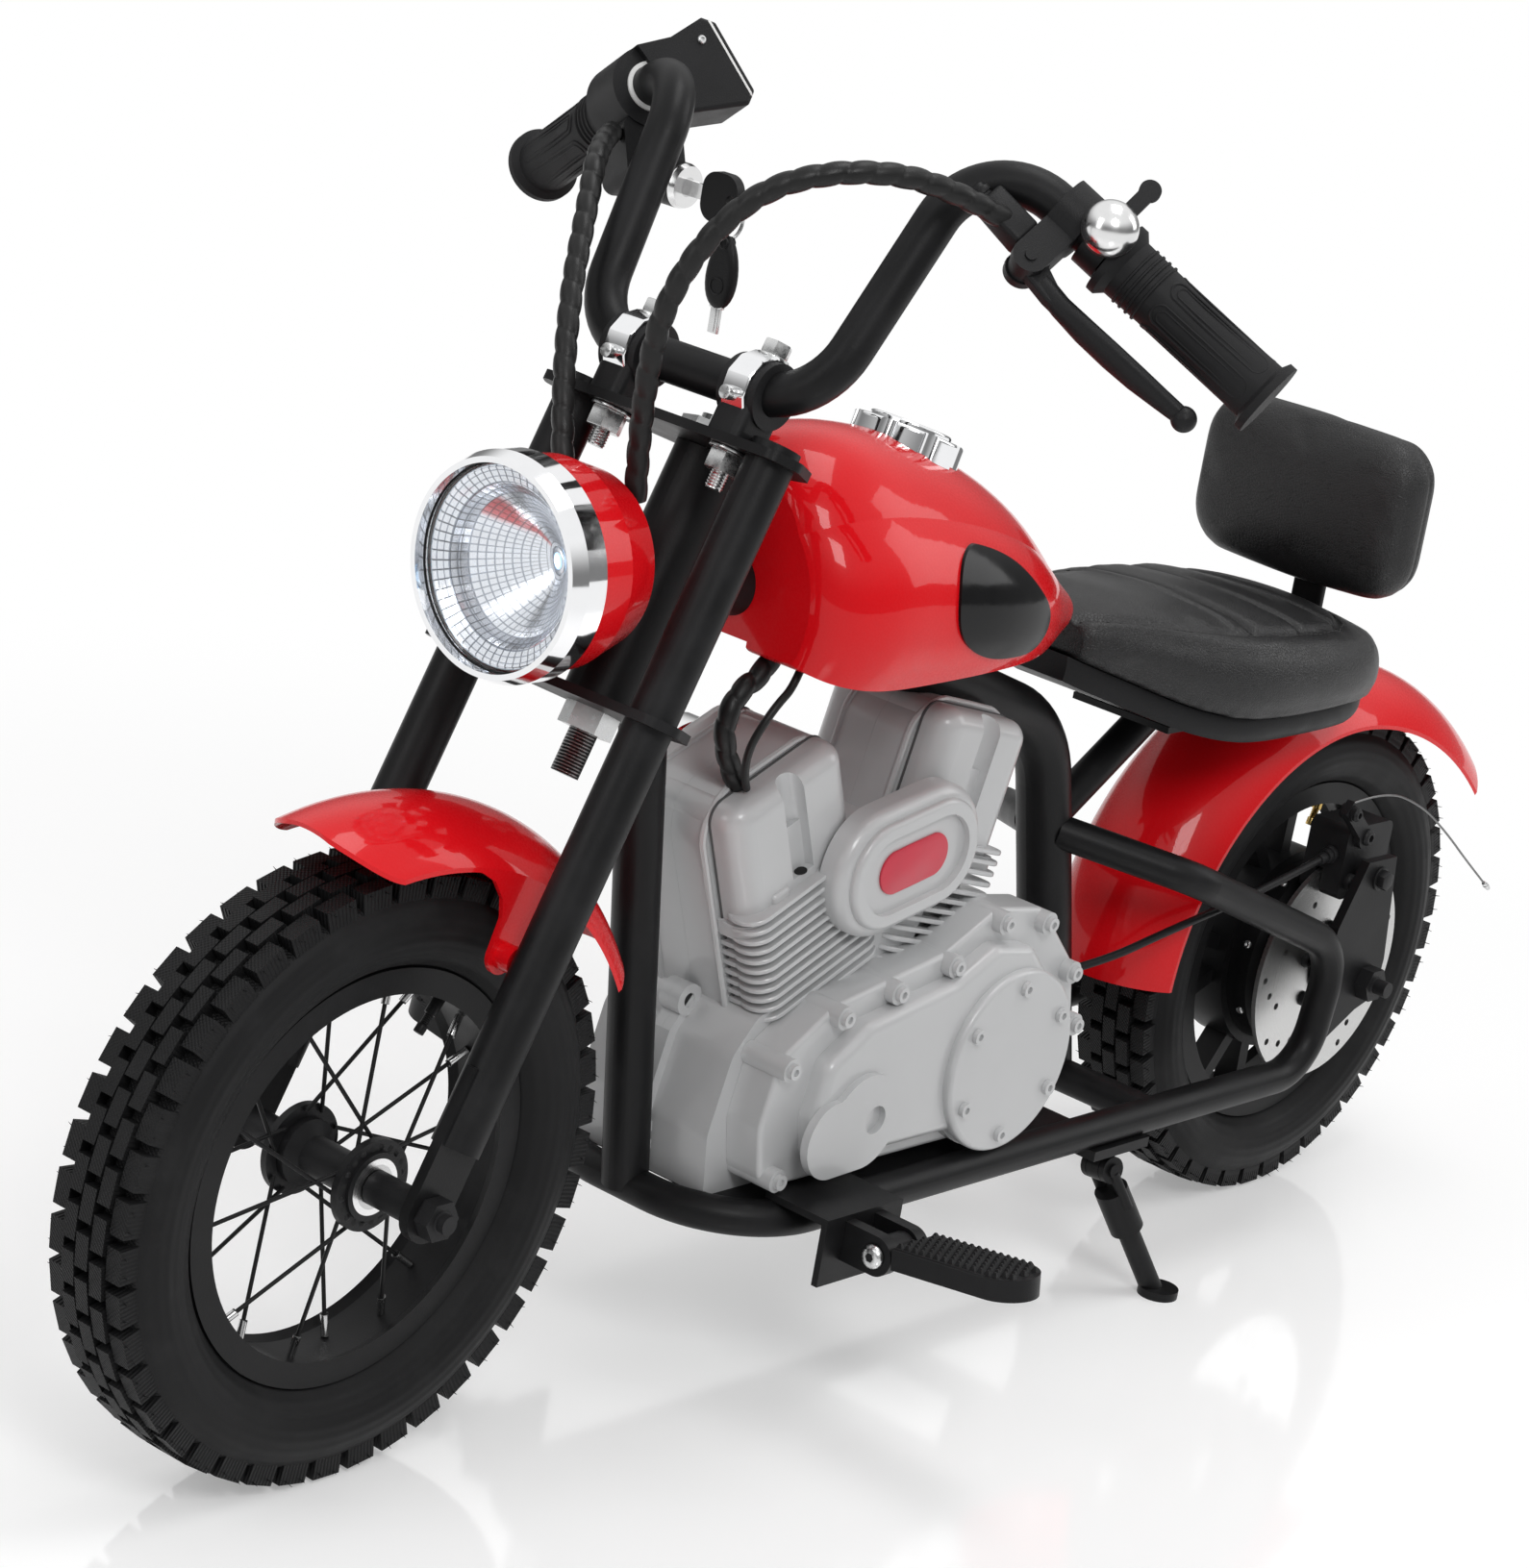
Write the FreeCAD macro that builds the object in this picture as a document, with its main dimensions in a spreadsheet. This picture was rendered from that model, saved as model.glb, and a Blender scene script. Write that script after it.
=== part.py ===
import FreeCAD, Part
import math
import os
import Sketcher
from FreeCAD import Placement, Rotation, Vector

# Kids electric motorbike in the style of a small cruiser. Millimetres, +X forward, +Y left, +Z up.
# The origin lies on the floor, midway between the axles, in the middle plane.

# Driving dimensions: alias, value, what it is
DIMENSIONS = [
    ("wheelbase", 800, "axle to axle"),
    ("front_tyre_radius", 160, "front tyre over its knobs"),
    ("rear_tyre_radius", 156, "rear tyre over its knobs"),
    ("tyre_half_width", 30, "tyre at its widest, from the middle plane"),
    ("tread_depth", 7, "height of the tread blocks"),
    ("tread_blocks", 42, "blocks round the tyre in one row"),
    ("rim_lip_radius", 109.5, "outer edge of the rim lip"),
    ("rim_seat_radius", 102, "where the tyre bead sits"),
    ("rim_bore_radius", 96, "inside of the rim barrel"),
    ("rim_half_width", 19, "outside of the rim lips, from the middle plane"),
    ("rim_wall", 2.6, "thickness of the rim lips"),
    ("rake", 24.25, "steering axis from the vertical, degrees"),
    ("fork_offset", 35, "steering axis to the plane of the fork legs"),
    ("fork_half_track", 64, "fork leg from the middle plane"),
    ("fork_tube_radius", 12.7, "fork leg tube"),
    ("fork_top", 408, "top of the fork legs above the axle"),
    ("fork_tube_foot", 34, "lower end of the fork tubes above the axle"),
    ("dropout_thickness", 6, "flat plates at the wheel axles"),
    ("upper_clamp_height", 401, "middle of the upper clamp plate above the axle, along the fork"),
    ("lower_clamp_height", 260, "middle of the lower clamp plate above the axle, along the fork"),
    ("clamp_thickness", 5, "fork clamp plates"),
    ("stem_radius", 12.5, "steering stem"),
    ("head_tube_radius", 19, "head tube outside"),
    ("axle_radius", 6, "wheel axles"),
    ("front_hub_flange_radius", 24, "spoke flange of the front hub"),
    ("front_hub_flange_half", 25, "middle of a spoke flange, from the middle plane"),
    ("spoke_radius", 1.1, "wire spokes"),
    ("spokes_per_side", 10, "spokes on one hub flange"),
    ("motor_radius", 58, "drum of the rear hub motor"),
    ("motor_half_width", 33, "drum of the rear hub motor, from the middle plane"),
    ("disc_radius", 72.5, "rear brake disc"),
    ("disc_offset", 46, "middle of the brake disc, from the middle plane"),
    ("disc_thickness", 3, "rear brake disc"),
    ("backbone_radius", 16, "backbone and seat tube"),
    ("down_tube_radius", 12.7, "front down tube"),
    ("rail_radius", 10, "lower cradle tube"),
    ("rail_half_track", 78, "cradle rails from the middle plane"),
    ("rail_height", 108, "cradle rails above the floor"),
    ("cradle_front", 178, "front cross run of the cradle"),
    ("cradle_rear", -356, "rear upper bend of the cradle"),
    ("stay_height", 186, "rear upper bend of the cradle above the floor"),
    ("bar_radius", 11, "handlebar tube"),
    ("bar_half_width", 246, "end of a grip, from the middle plane"),
    ("bar_clamp_half", 40, "handlebar clamp, from the middle plane"),
    ("bar_clamp_rise", 430, "handlebar in its clamps above the axle, along the fork"),
    ("grip_length", 102, "hand grips"),
    ("grip_radius", 16, "hand grips"),
    ("headlight_radius", 57, "outside of the headlight bezel"),
    ("headlight_depth", 74, "bowl of the headlight behind its bezel"),
    ("front_fender_radius", 192, "outside of the front fender at its crown"),
    ("rear_fender_radius", 186, "outside of the rear fender at its crown"),
    ("fender_wall", 2.5, "fender thickness"),
    ("tank_half_width", 80, "tank cover at its widest, from the middle plane"),
    ("tank_floor", 397, "lowest part of the tank cover"),
    ("seat_half_width", 88, "seat cushion at its widest, from the middle plane"),
    ("seat_base", 345, "underside of the cushion above the floor"),
    ("seat_pan_depth", 15, "moulded base below the cushion"),
    ("backrest_half_width", 79, "backrest pad from the middle plane"),
    ("backrest_height", 100, "backrest pad from its lower edge"),
    ("backrest_thickness", 35, "backrest pad"),
    ("casing_half_width", 46, "engine casing halves, from the middle plane"),
    ("casing_floor", 115, "underside of the engine casing"),
    ("primary_depth", 36, "left lower cover of the engine casing"),
    ("cylinder_half", 46, "finned cylinders, across their axis"),
    ("fin_pitch", 6.2, "cooling fins, one to the next"),
    ("fin_thickness", 2.8, "cooling fins"),
    ("fins", 9, "cooling fins on one cylinder"),
    ("peg_length", 92, "foot pegs"),
    ("peg_width", 36, "foot pegs"),
    ("peg_pivot_half", 134, "foot peg hinge, from the middle plane"),
    ("wrap_radius", 6, "spiral wrapped cable bundles"),
    ("cable_radius", 2.4, "brake cable"),
    ("running_gap", 0.06, "shaft in its bearing, on the radius"),
    ("seat_gap", 0.2, "between pieces that sit together"),
    ("clear_gap", 0.4, "between pieces that move past each other"),
]

doc = FreeCAD.newDocument("KidsMotorbike")
sheet = doc.addObject("Spreadsheet::Sheet", "Dimensions")
for row, (alias, value, note) in enumerate(DIMENSIONS, start=1):
    sheet.set("A%d" % row, note)
    sheet.set("B%d" % row, str(value))
    sheet.setAlias("B%d" % row, alias)
doc.recompute()

NODES = []
X_AXIS = Vector(1, 0, 0)
Y_AXIS = Vector(0, 1, 0)
Z_AXIS = Vector(0, 0, 1)
ORIGIN = Vector(0, 0, 0)


class Size(float):
    """A number together with the sheet expression that gives it."""

    def __new__(cls, value, text=None):
        made = float.__new__(cls, value)
        made.text = text or "%.6f" % value
        return made

    def join(self, mark, other, value, swapped=False):
        pair = (text_of(self), text_of(other))
        first, second = pair[::-1] if swapped else pair
        return Size(value, "(%s %s %s)" % (first, mark, second))

    def __add__(self, other):
        return self.join("+", other, float(self) + float(other))

    def __radd__(self, other):
        return self.join("+", other, float(other) + float(self), True)

    def __sub__(self, other):
        return self.join("-", other, float(self) - float(other))

    def __rsub__(self, other):
        return self.join("-", other, float(other) - float(self), True)

    def __mul__(self, other):
        return self.join("*", other, float(self) * float(other))

    def __rmul__(self, other):
        return self.join("*", other, float(other) * float(self), True)

    def __truediv__(self, other):
        return self.join("/", other, float(self) / float(other))

    def __neg__(self):
        return Size(-float(self), "(0 - %s)" % self.text)


def text_of(number):
    return number.text if isinstance(number, Size) else "%.6f" % number


def size(alias):
    return Size(sheet.get(alias), "Dimensions." + alias)


def bind(target, name, number):
    """Tie a property of a document object to the sheet."""
    if isinstance(number, Size):
        target.setExpression(name, number.text)
    else:
        setattr(target, name, number)


def node(made, label):
    """Name a finished sub-part; its label names its file."""
    made.Label = label
    NODES.append(made)
    return made


def aligned(base, axis):
    """A placement that turns +Z to the axis and moves the origin to the base."""
    return Placement(base, Rotation(Z_AXIS, axis))


def cylinder(name, radius, height, base, axis):
    made = doc.addObject("Part::Cylinder", name)
    bind(made, "Radius", radius)
    bind(made, "Height", height)
    made.Placement = aligned(base, axis)
    return made


def hex_nut(name, across, height, bore, base, axis):
    """A hexagon nut with a round bore."""
    prism = doc.addObject("Part::Prism", name + "_hexagon")
    prism.Polygon = 6
    bind(prism, "Circumradius", across / math.sqrt(3))
    bind(prism, "Height", height)
    hole = doc.addObject("Part::Cylinder", name + "_bore")
    bind(hole, "Radius", bore)
    bind(hole, "Height", height)
    nut = doc.addObject("Part::Cut", name)
    nut.Base = prism
    nut.Tool = hole
    nut.Placement = aligned(base, axis)
    return nut


def cut(name, base, tool):
    made = doc.addObject("Part::Cut", name)
    made.Base = base
    made.Tool = tool
    return made


def fuse(name, pieces):
    made = doc.addObject("Part::MultiFuse", name)
    made.Shapes = pieces
    return made


def group(name, pieces):
    """Several separate solids kept as one sub-part."""
    made = doc.addObject("Part::Compound", name)
    made.Links = pieces
    return made


def feature(name, shape, place=None):
    made = doc.addObject("Part::Feature", name)
    made.Shape = shape
    if place is not None:
        made.Placement = place
    return made


def plane_of(body, role):
    return [item for item in body.Origin.OriginFeatures if item.Role == role][0]


def outline_sketch(body, name, role, points):
    """A closed outline of straight lines whose corners follow the sheet."""
    sketch = body.newObject("Sketcher::SketchObject", name)
    sketch.AttachmentSupport = [(plane_of(body, role), "")]
    sketch.MapMode = "FlatFace"
    count = len(points)
    for at in range(count):
        start = Vector(float(points[at][0]), float(points[at][1]), 0)
        after = points[(at + 1) % count]
        end = Vector(float(after[0]), float(after[1]), 0)
        sketch.addGeometry(Part.LineSegment(start, end), False)
    for at in range(count):
        sketch.addConstraint(Sketcher.Constraint("Coincident", at, 2, (at + 1) % count, 1))
    for at, corner in enumerate(points):
        for kind, number in zip(("DistanceX", "DistanceY"), corner):
            key = sketch.addConstraint(Sketcher.Constraint(kind, -1, 1, at, 1, float(number)))
            if isinstance(number, Size):
                sketch.setExpression("Constraints[%d]" % key, number.text)
    return sketch


def turned(name, profile, place):
    """A body of revolution; the profile gives (radius, distance along the axis)."""
    body = doc.addObject("PartDesign::Body", name)
    sketch = outline_sketch(body, name + "_profile", "XZ_Plane", profile)
    spin = body.newObject("PartDesign::Revolution", name + "_turn")
    spin.Profile = sketch
    spin.ReferenceAxis = (sketch, ["V_Axis"])
    spin.Angle = 360
    body.Placement = place
    doc.recompute()
    return body


def padded_plate(name, points, thickness, place, corner=None):
    """A flat plate from an outline in its own XY plane, its corners rounded if asked."""
    body = doc.addObject("PartDesign::Body", name)
    sketch = outline_sketch(body, name + "_outline", "XY_Plane", points)
    pad = body.newObject("PartDesign::Pad", name + "_pad")
    pad.Profile = sketch
    bind(pad, "Length", thickness)
    doc.recompute()
    if corner is not None:
        upright = []
        for at, edge in enumerate(pad.Shape.Edges, start=1):
            ends = [vertex.Point for vertex in edge.Vertexes]
            if len(ends) == 2 and abs(ends[0].z - ends[1].z) > float(thickness) / 2:
                upright.append("Edge%d" % at)
        fillet = body.newObject("PartDesign::Fillet", name + "_corners")
        fillet.Base = (pad, upright)
        bind(fillet, "Radius", corner)
        doc.recompute()
    body.Placement = place
    return body


def bored(name, plate, holes):
    """Drill round holes: each is (radius, base, axis, length)."""
    drills = []
    for at, (radius, base, axis, length) in enumerate(holes):
        drills.append(cylinder("%s_drill_%d" % (name, at), radius, length, base, axis))
    tool = drills[0] if len(drills) == 1 else fuse(name + "_drills", drills)
    return cut(name, plate, tool)


def bend_wire(corners, bends):
    """A path of straight runs joined by tangent arcs; bends are the arc radii at inner corners."""
    edges = []
    start = corners[0]
    for at in range(1, len(corners) - 1):
        here = corners[at]
        back = (corners[at - 1] - here).normalize()
        ahead = (corners[at + 1] - here).normalize()
        half = back.getAngle(ahead) / 2
        reach = bends[at - 1] / math.tan(half)
        first = here + back * reach
        last = here + ahead * reach
        middle = (back + ahead).normalize()
        centre = here + middle * (bends[at - 1] / math.sin(half))
        crest = centre - middle * bends[at - 1]
        if (first - start).Length > 1e-6:
            edges.append(Part.LineSegment(start, first).toShape())
        edges.append(Part.Arc(first, crest, last).toShape())
        start = last
    edges.append(Part.LineSegment(start, corners[-1]).toShape())
    return Part.Wire(edges)


def swept_tube(corners, bends, radius):
    """A round bar along a bent path."""
    path = bend_wire(corners, bends)
    direction = corners[1] - corners[0]
    ring = Part.Wire([Part.Circle(corners[0], direction, radius).toShape()])
    return path.makePipeShell([ring], True, False)


def cord_bends(corners):
    """Arc radii for a cord: as large as the shorter run beside each corner allows."""
    bends = []
    for at in range(1, len(corners) - 1):
        before = corners[at] - corners[at - 1]
        after = corners[at + 1] - corners[at]
        turn = before.getAngle(after)
        bends.append(0.45 * min(before.Length, after.Length) / math.tan(turn / 2))
    return bends


def cord(name, corners, radius):
    bends = cord_bends(corners)
    shape = swept_tube(corners, bends, radius)
    length = bend_wire(corners, bends).Length
    print(name, "cord length", round(length, 1), "radii", [round(bend) for bend in bends],
          "volume ratio", round(shape.Volume / (math.pi * radius ** 2 * length), 4))
    return feature(name, shape)


def mirrored(shape):
    """The same shape on the other side of the middle plane."""
    return shape.mirror(ORIGIN, Y_AXIS)


def rounded_slab(length, width, height, corner):
    """A slab centred on Z with its four upright corners rounded, standing on XY."""
    box = Part.makeBox(length, width, height, Vector(-length / 2, -width / 2, 0))
    upright = [edge for edge in box.Edges if abs(edge.tangentAt(edge.FirstParameter).z) > 0.9]
    return box.makeFillet(corner, upright)


def prism_xz(points, low, high):
    """An outline in the XZ plane carried from y = low to y = high."""
    corners = [Vector(px, low, pz) for px, pz in points]
    face = Part.Face(Part.makePolygon(corners + corners[:1]))
    return face.extrude(Vector(0, high - low, 0))


def fused(shapes):
    return shapes[0].multiFuse(shapes[1:]).removeSplitter()


# Main places worked out from the sheet
wheelbase = size("wheelbase")
front_tyre_radius = size("front_tyre_radius")
rear_tyre_radius = size("rear_tyre_radius")
seat_gap = size("seat_gap")
clear_gap = size("clear_gap")
running_gap = size("running_gap")
axle_radius = size("axle_radius")
dropout_thickness = size("dropout_thickness")
front_axle_at = Vector(wheelbase / 2, 0, front_tyre_radius)
rear_axle_at = Vector(-wheelbase / 2, 0, rear_tyre_radius)
rake = math.radians(size("rake"))
fork_up = Vector(-math.sin(rake), 0, math.cos(rake))
fork_ahead = Vector(math.cos(rake), 0, math.sin(rake))
# In the fork's own frame X points ahead, Y left and Z up along the legs, from the front axle.
fork_place = Placement(front_axle_at, Rotation(Y_AXIS, -math.degrees(rake)))
stem_ahead = -size("fork_offset")


def fork_point(ahead, left, up):
    return fork_place.multVec(Vector(ahead, left, up))


# Wheels

tyre_half_width = size("tyre_half_width")
rim_lip_radius = size("rim_lip_radius")
rim_seat_radius = size("rim_seat_radius")
rim_bore_radius = size("rim_bore_radius")
rim_half_width = size("rim_half_width")
rim_wall = size("rim_wall")
tread_depth = size("tread_depth")
tread_blocks = int(size("tread_blocks"))
wheel_turn = Rotation(Z_AXIS, Y_AXIS)


def tyre_shape(outer_radius):
    """Round carcass with staggered rows of square blocks, about Z."""
    crown = outer_radius - tread_depth
    bead = rim_half_width - rim_wall - seat_gap
    foot = rim_seat_radius + seat_gap
    lip = rim_lip_radius + seat_gap
    belly = (lip + crown) / 2
    shoulder = tyre_half_width * 0.78
    shoulder_radius = crown - tread_depth * 0.6

    def at(radius, along):
        return Vector(radius, 0, along)

    edges = [
        Part.LineSegment(at(foot, -bead), at(foot, bead)).toShape(),
        Part.LineSegment(at(foot, bead), at(lip, bead)).toShape(),
        Part.Arc(at(lip, bead), at(belly - 5, tyre_half_width), at(shoulder_radius, shoulder)).toShape(),
        Part.Arc(at(shoulder_radius, shoulder), at(crown, 0), at(shoulder_radius, -shoulder)).toShape(),
        Part.Arc(at(shoulder_radius, -shoulder), at(belly - 5, -tyre_half_width), at(lip, -bead)).toShape(),
        Part.LineSegment(at(lip, -bead), at(foot, -bead)).toShape(),
    ]
    carcass = Part.Face(Part.Wire(edges)).revolve(ORIGIN, Z_AXIS, 360)
    pitch = 360.0 / tread_blocks
    length = 0.74 * 2 * math.pi * outer_radius / tread_blocks
    sink = tread_depth * 0.7
    rows = [
        (0.0, 0.29 * tyre_half_width, 0.5, 0.0),
        (0.33 * tyre_half_width, 0.29 * tyre_half_width, 0.0, 0.04 * tread_depth),
        (-0.33 * tyre_half_width, 0.29 * tyre_half_width, 0.0, 0.04 * tread_depth),
        (0.67 * tyre_half_width, 0.33 * tyre_half_width, 0.5, 0.3 * tread_depth),
        (-0.67 * tyre_half_width, 0.33 * tyre_half_width, 0.5, 0.3 * tread_depth),
    ]
    blocks = []
    for along, width, stagger, drop in rows:
        low = crown - sink - drop
        high = outer_radius - drop
        block = Part.makeBox(high - low, length, width, Vector(low, -length / 2, along - width / 2))
        for step in range(tread_blocks):
            copy = block.copy()
            copy.rotate(ORIGIN, Z_AXIS, (step + stagger) * pitch)
            blocks.append(copy)
    return carcass.multiFuse(blocks)


def rim_profile():
    """Section of a drop-lip rim; half width along the axis."""
    lip = rim_half_width
    inner = rim_half_width - rim_wall
    return [
        (rim_bore_radius, -lip), (rim_lip_radius, -lip), (rim_lip_radius, -inner),
        (rim_seat_radius, -inner), (rim_seat_radius, inner), (rim_lip_radius, inner),
        (rim_lip_radius, lip), (rim_bore_radius, lip), (rim_bore_radius + rim_wall, lip - rim_wall * 2),
        (rim_bore_radius + rim_wall, rim_wall * 2 - lip),
    ]


front_wheel_place = Placement(front_axle_at, wheel_turn)
rear_wheel_place = Placement(rear_axle_at, wheel_turn)

node(feature("front_tyre", tyre_shape(front_tyre_radius), front_wheel_place), "front_tyre")
node(feature("rear_tyre", tyre_shape(rear_tyre_radius), rear_wheel_place), "rear_tyre")
node(turned("front_rim", rim_profile(), front_wheel_place), "front_rim")

# Front hub with two drilled flanges; ball bearings sit in recesses at its ends
flange_radius = size("front_hub_flange_radius")
flange_half = size("front_hub_flange_half")
flange_thickness = Size(4.0)
hub_barrel = flange_radius * 0.43
bearing_outer = flange_radius * 0.62
bearing_width = Size(8.0)
hub_end = flange_half + flange_thickness / 2 + 2
hub_bore = axle_radius + 2
cup_radius = bearing_outer + 2.5
cup_end = hub_end - bearing_width - 2.5
hub_profile = [
    (hub_bore, bearing_width - hub_end), (bearing_outer, bearing_width - hub_end), (bearing_outer, -hub_end),
    (bearing_outer + 3, -hub_end), (bearing_outer + 3, -flange_half - flange_thickness / 2),
    (flange_radius, -flange_half - flange_thickness / 2), (flange_radius, flange_thickness / 2 - flange_half),
    (cup_radius, flange_thickness / 2 - flange_half), (cup_radius, -cup_end), (hub_barrel, 4 - cup_end),
    (hub_barrel, cup_end - 4), (cup_radius, cup_end), (cup_radius, flange_half - flange_thickness / 2),
    (flange_radius, flange_half - flange_thickness / 2), (flange_radius, flange_half + flange_thickness / 2),
    (bearing_outer + 3, flange_half + flange_thickness / 2), (bearing_outer + 3, hub_end),
    (bearing_outer, hub_end), (bearing_outer, hub_end - bearing_width), (hub_bore, hub_end - bearing_width),
]
node(turned("front_hub", hub_profile, front_wheel_place), "front_hub")


def bearing(name, start):
    profile = [
        (axle_radius + running_gap, start), (bearing_outer - seat_gap / 4, start),
        (bearing_outer - seat_gap / 4, start + bearing_width), (axle_radius + running_gap, start + bearing_width),
    ]
    return turned(name, profile, front_wheel_place)


node(group("front_bearings", [bearing("bearing_left", hub_end - bearing_width + seat_gap / 4),
                              bearing("bearing_right", -hub_end - seat_gap / 4)]), "front_bearings")


def spoke_shapes():
    """Crossed wire spokes with nipples, about Z."""
    radius = size("spoke_radius")
    per_side = int(size("spokes_per_side"))
    hole_circle = flange_radius - 4
    # the nipples end just inside the rim barrel
    rim_reach = rim_bore_radius + rim_wall - seat_gap * 3
    # one step of the pattern, so that the nipples stand evenly round the rim
    lead = 360.0 / per_side
    shapes = []
    for side in (1, -1):
        start_along = side * (flange_half - flange_thickness / 2 - radius * 0.82)
        for index in range(per_side):
            base = (index + (0.25 if side > 0 else -0.25)) * 360.0 / per_side
            swing = lead if index % 2 else -lead
            from_angle = math.radians(base)
            to_angle = math.radians(base + swing)
            inner = Vector(hole_circle * math.cos(from_angle), hole_circle * math.sin(from_angle), start_along)
            outer = Vector(rim_reach * math.cos(to_angle), rim_reach * math.sin(to_angle), side * 4)
            run = outer - inner
            ahead = Vector(run).normalize()
            # the wire leaves the flange far enough from its face to stay clear of it
            wire = Part.makeCylinder(radius, run.Length - 4 * radius, inner + ahead * (1.2 * radius), ahead)
            nipple = Part.makeCylinder(radius * 1.9, 12, outer - ahead * 12, ahead)
            shapes.append(wire.fuse(nipple).removeSplitter())
    return Part.makeCompound(shapes)


node(feature("front_spokes", spoke_shapes(), front_wheel_place), "front_spokes")

# Front axle: a stepped shaft with spacer collars, flange nuts outside the dropout plates
fork_half_track = size("fork_half_track")
dropout_inner = fork_half_track - dropout_thickness / 2
dropout_outer = fork_half_track + dropout_thickness / 2
collar_radius = axle_radius + 3
nut_height = Size(9.0)
axle_end = dropout_outer + nut_height + 5


def shaft_profile(collar_start, collar_end, nut_face, end):
    """Half section with thinner stubs that stand out of the nuts."""
    stub = nut_face + 0.5
    return [
        (Size(0.0), -end), (axle_radius - 1, -end), (axle_radius - 1, -stub), (axle_radius, -nut_face),
        (axle_radius, -collar_end), (collar_radius, -collar_end),
        (collar_radius, -collar_start), (axle_radius, -collar_start), (axle_radius, collar_start),
        (collar_radius, collar_start), (collar_radius, collar_end), (axle_radius, collar_end),
        (axle_radius, nut_face), (axle_radius - 1, stub), (axle_radius - 1, end), (Size(0.0), end),
    ]


def axle_nuts(name, centre, face):
    """A flange nut outside each dropout plate."""
    pieces = []
    for word, side in (("left", 1), ("right", -1)):
        base = centre + Y_AXIS * (side * (face + seat_gap / 2))
        pieces.append(hex_nut("%s_nut_%s" % (name, word), axle_radius * 3.2, nut_height,
                              axle_radius + seat_gap / 2, base, Y_AXIS * side))
    return pieces


front_shaft = turned("front_shaft", shaft_profile(hub_end + seat_gap + clear_gap, dropout_inner - seat_gap / 2,
                                                  dropout_outer + seat_gap / 2 + nut_height, axle_end), front_wheel_place)
node(group("front_axle", [front_shaft] + axle_nuts("front", front_axle_at, dropout_outer)), "front_axle")

# Rear wheel: cast rim on the drum of the hub motor
motor_radius = size("motor_radius")
motor_half_width = size("motor_half_width")
disc_offset = size("disc_offset")
disc_thickness = size("disc_thickness")
motor_bore = axle_radius + running_gap
boss_radius = Size(24.0)
disc_seat = disc_offset - disc_thickness / 2
motor_profile = [
    (motor_bore, -motor_half_width - 6), (boss_radius, -motor_half_width - 6), (boss_radius + 6, -motor_half_width),
    (motor_radius - 4, -motor_half_width), (motor_radius, 4 - motor_half_width), (motor_radius, motor_half_width - 4),
    (motor_radius - 4, motor_half_width), (boss_radius + 12, motor_half_width), (boss_radius + 12, disc_seat - seat_gap),
    (boss_radius - 6, disc_seat - seat_gap), (boss_radius - 6, disc_offset + disc_thickness / 2 + 2),
    (motor_bore, disc_offset + disc_thickness / 2 + 2),
]
node(turned("hub_motor", motor_profile, rear_wheel_place), "hub_motor")


def cast_rim_shape():
    """Rim barrel and five forked arms that stop at the motor drum, about Z."""
    section = [Vector(radius, 0, along) for radius, along in rim_profile()]
    barrel = Part.Face(Part.makePolygon(section + section[:1])).revolve(ORIGIN, Z_AXIS, 360)
    ring = Part.makeCylinder(motor_radius + 6, 30, Vector(0, 0, -15))
    ring = ring.cut(Part.makeCylinder(motor_radius + seat_gap, 32, Vector(0, 0, -16)))
    arms = []
    for index in range(5):
        for lean in (-11, 11):
            start = motor_radius + 3
            arm = Part.makeBox(rim_bore_radius + 1.5 - start, 9, 16, Vector(start, -4.5, -8))
            arm.rotate(Vector(start, 0, 0), Z_AXIS, lean)
            arm.rotate(ORIGIN, Z_AXIS, index * 72 + lean * 0.8)
            arms.append(arm)
    return fused([barrel, ring] + arms)


node(feature("rear_rim", cast_rim_shape(), rear_wheel_place), "rear_rim")


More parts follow.
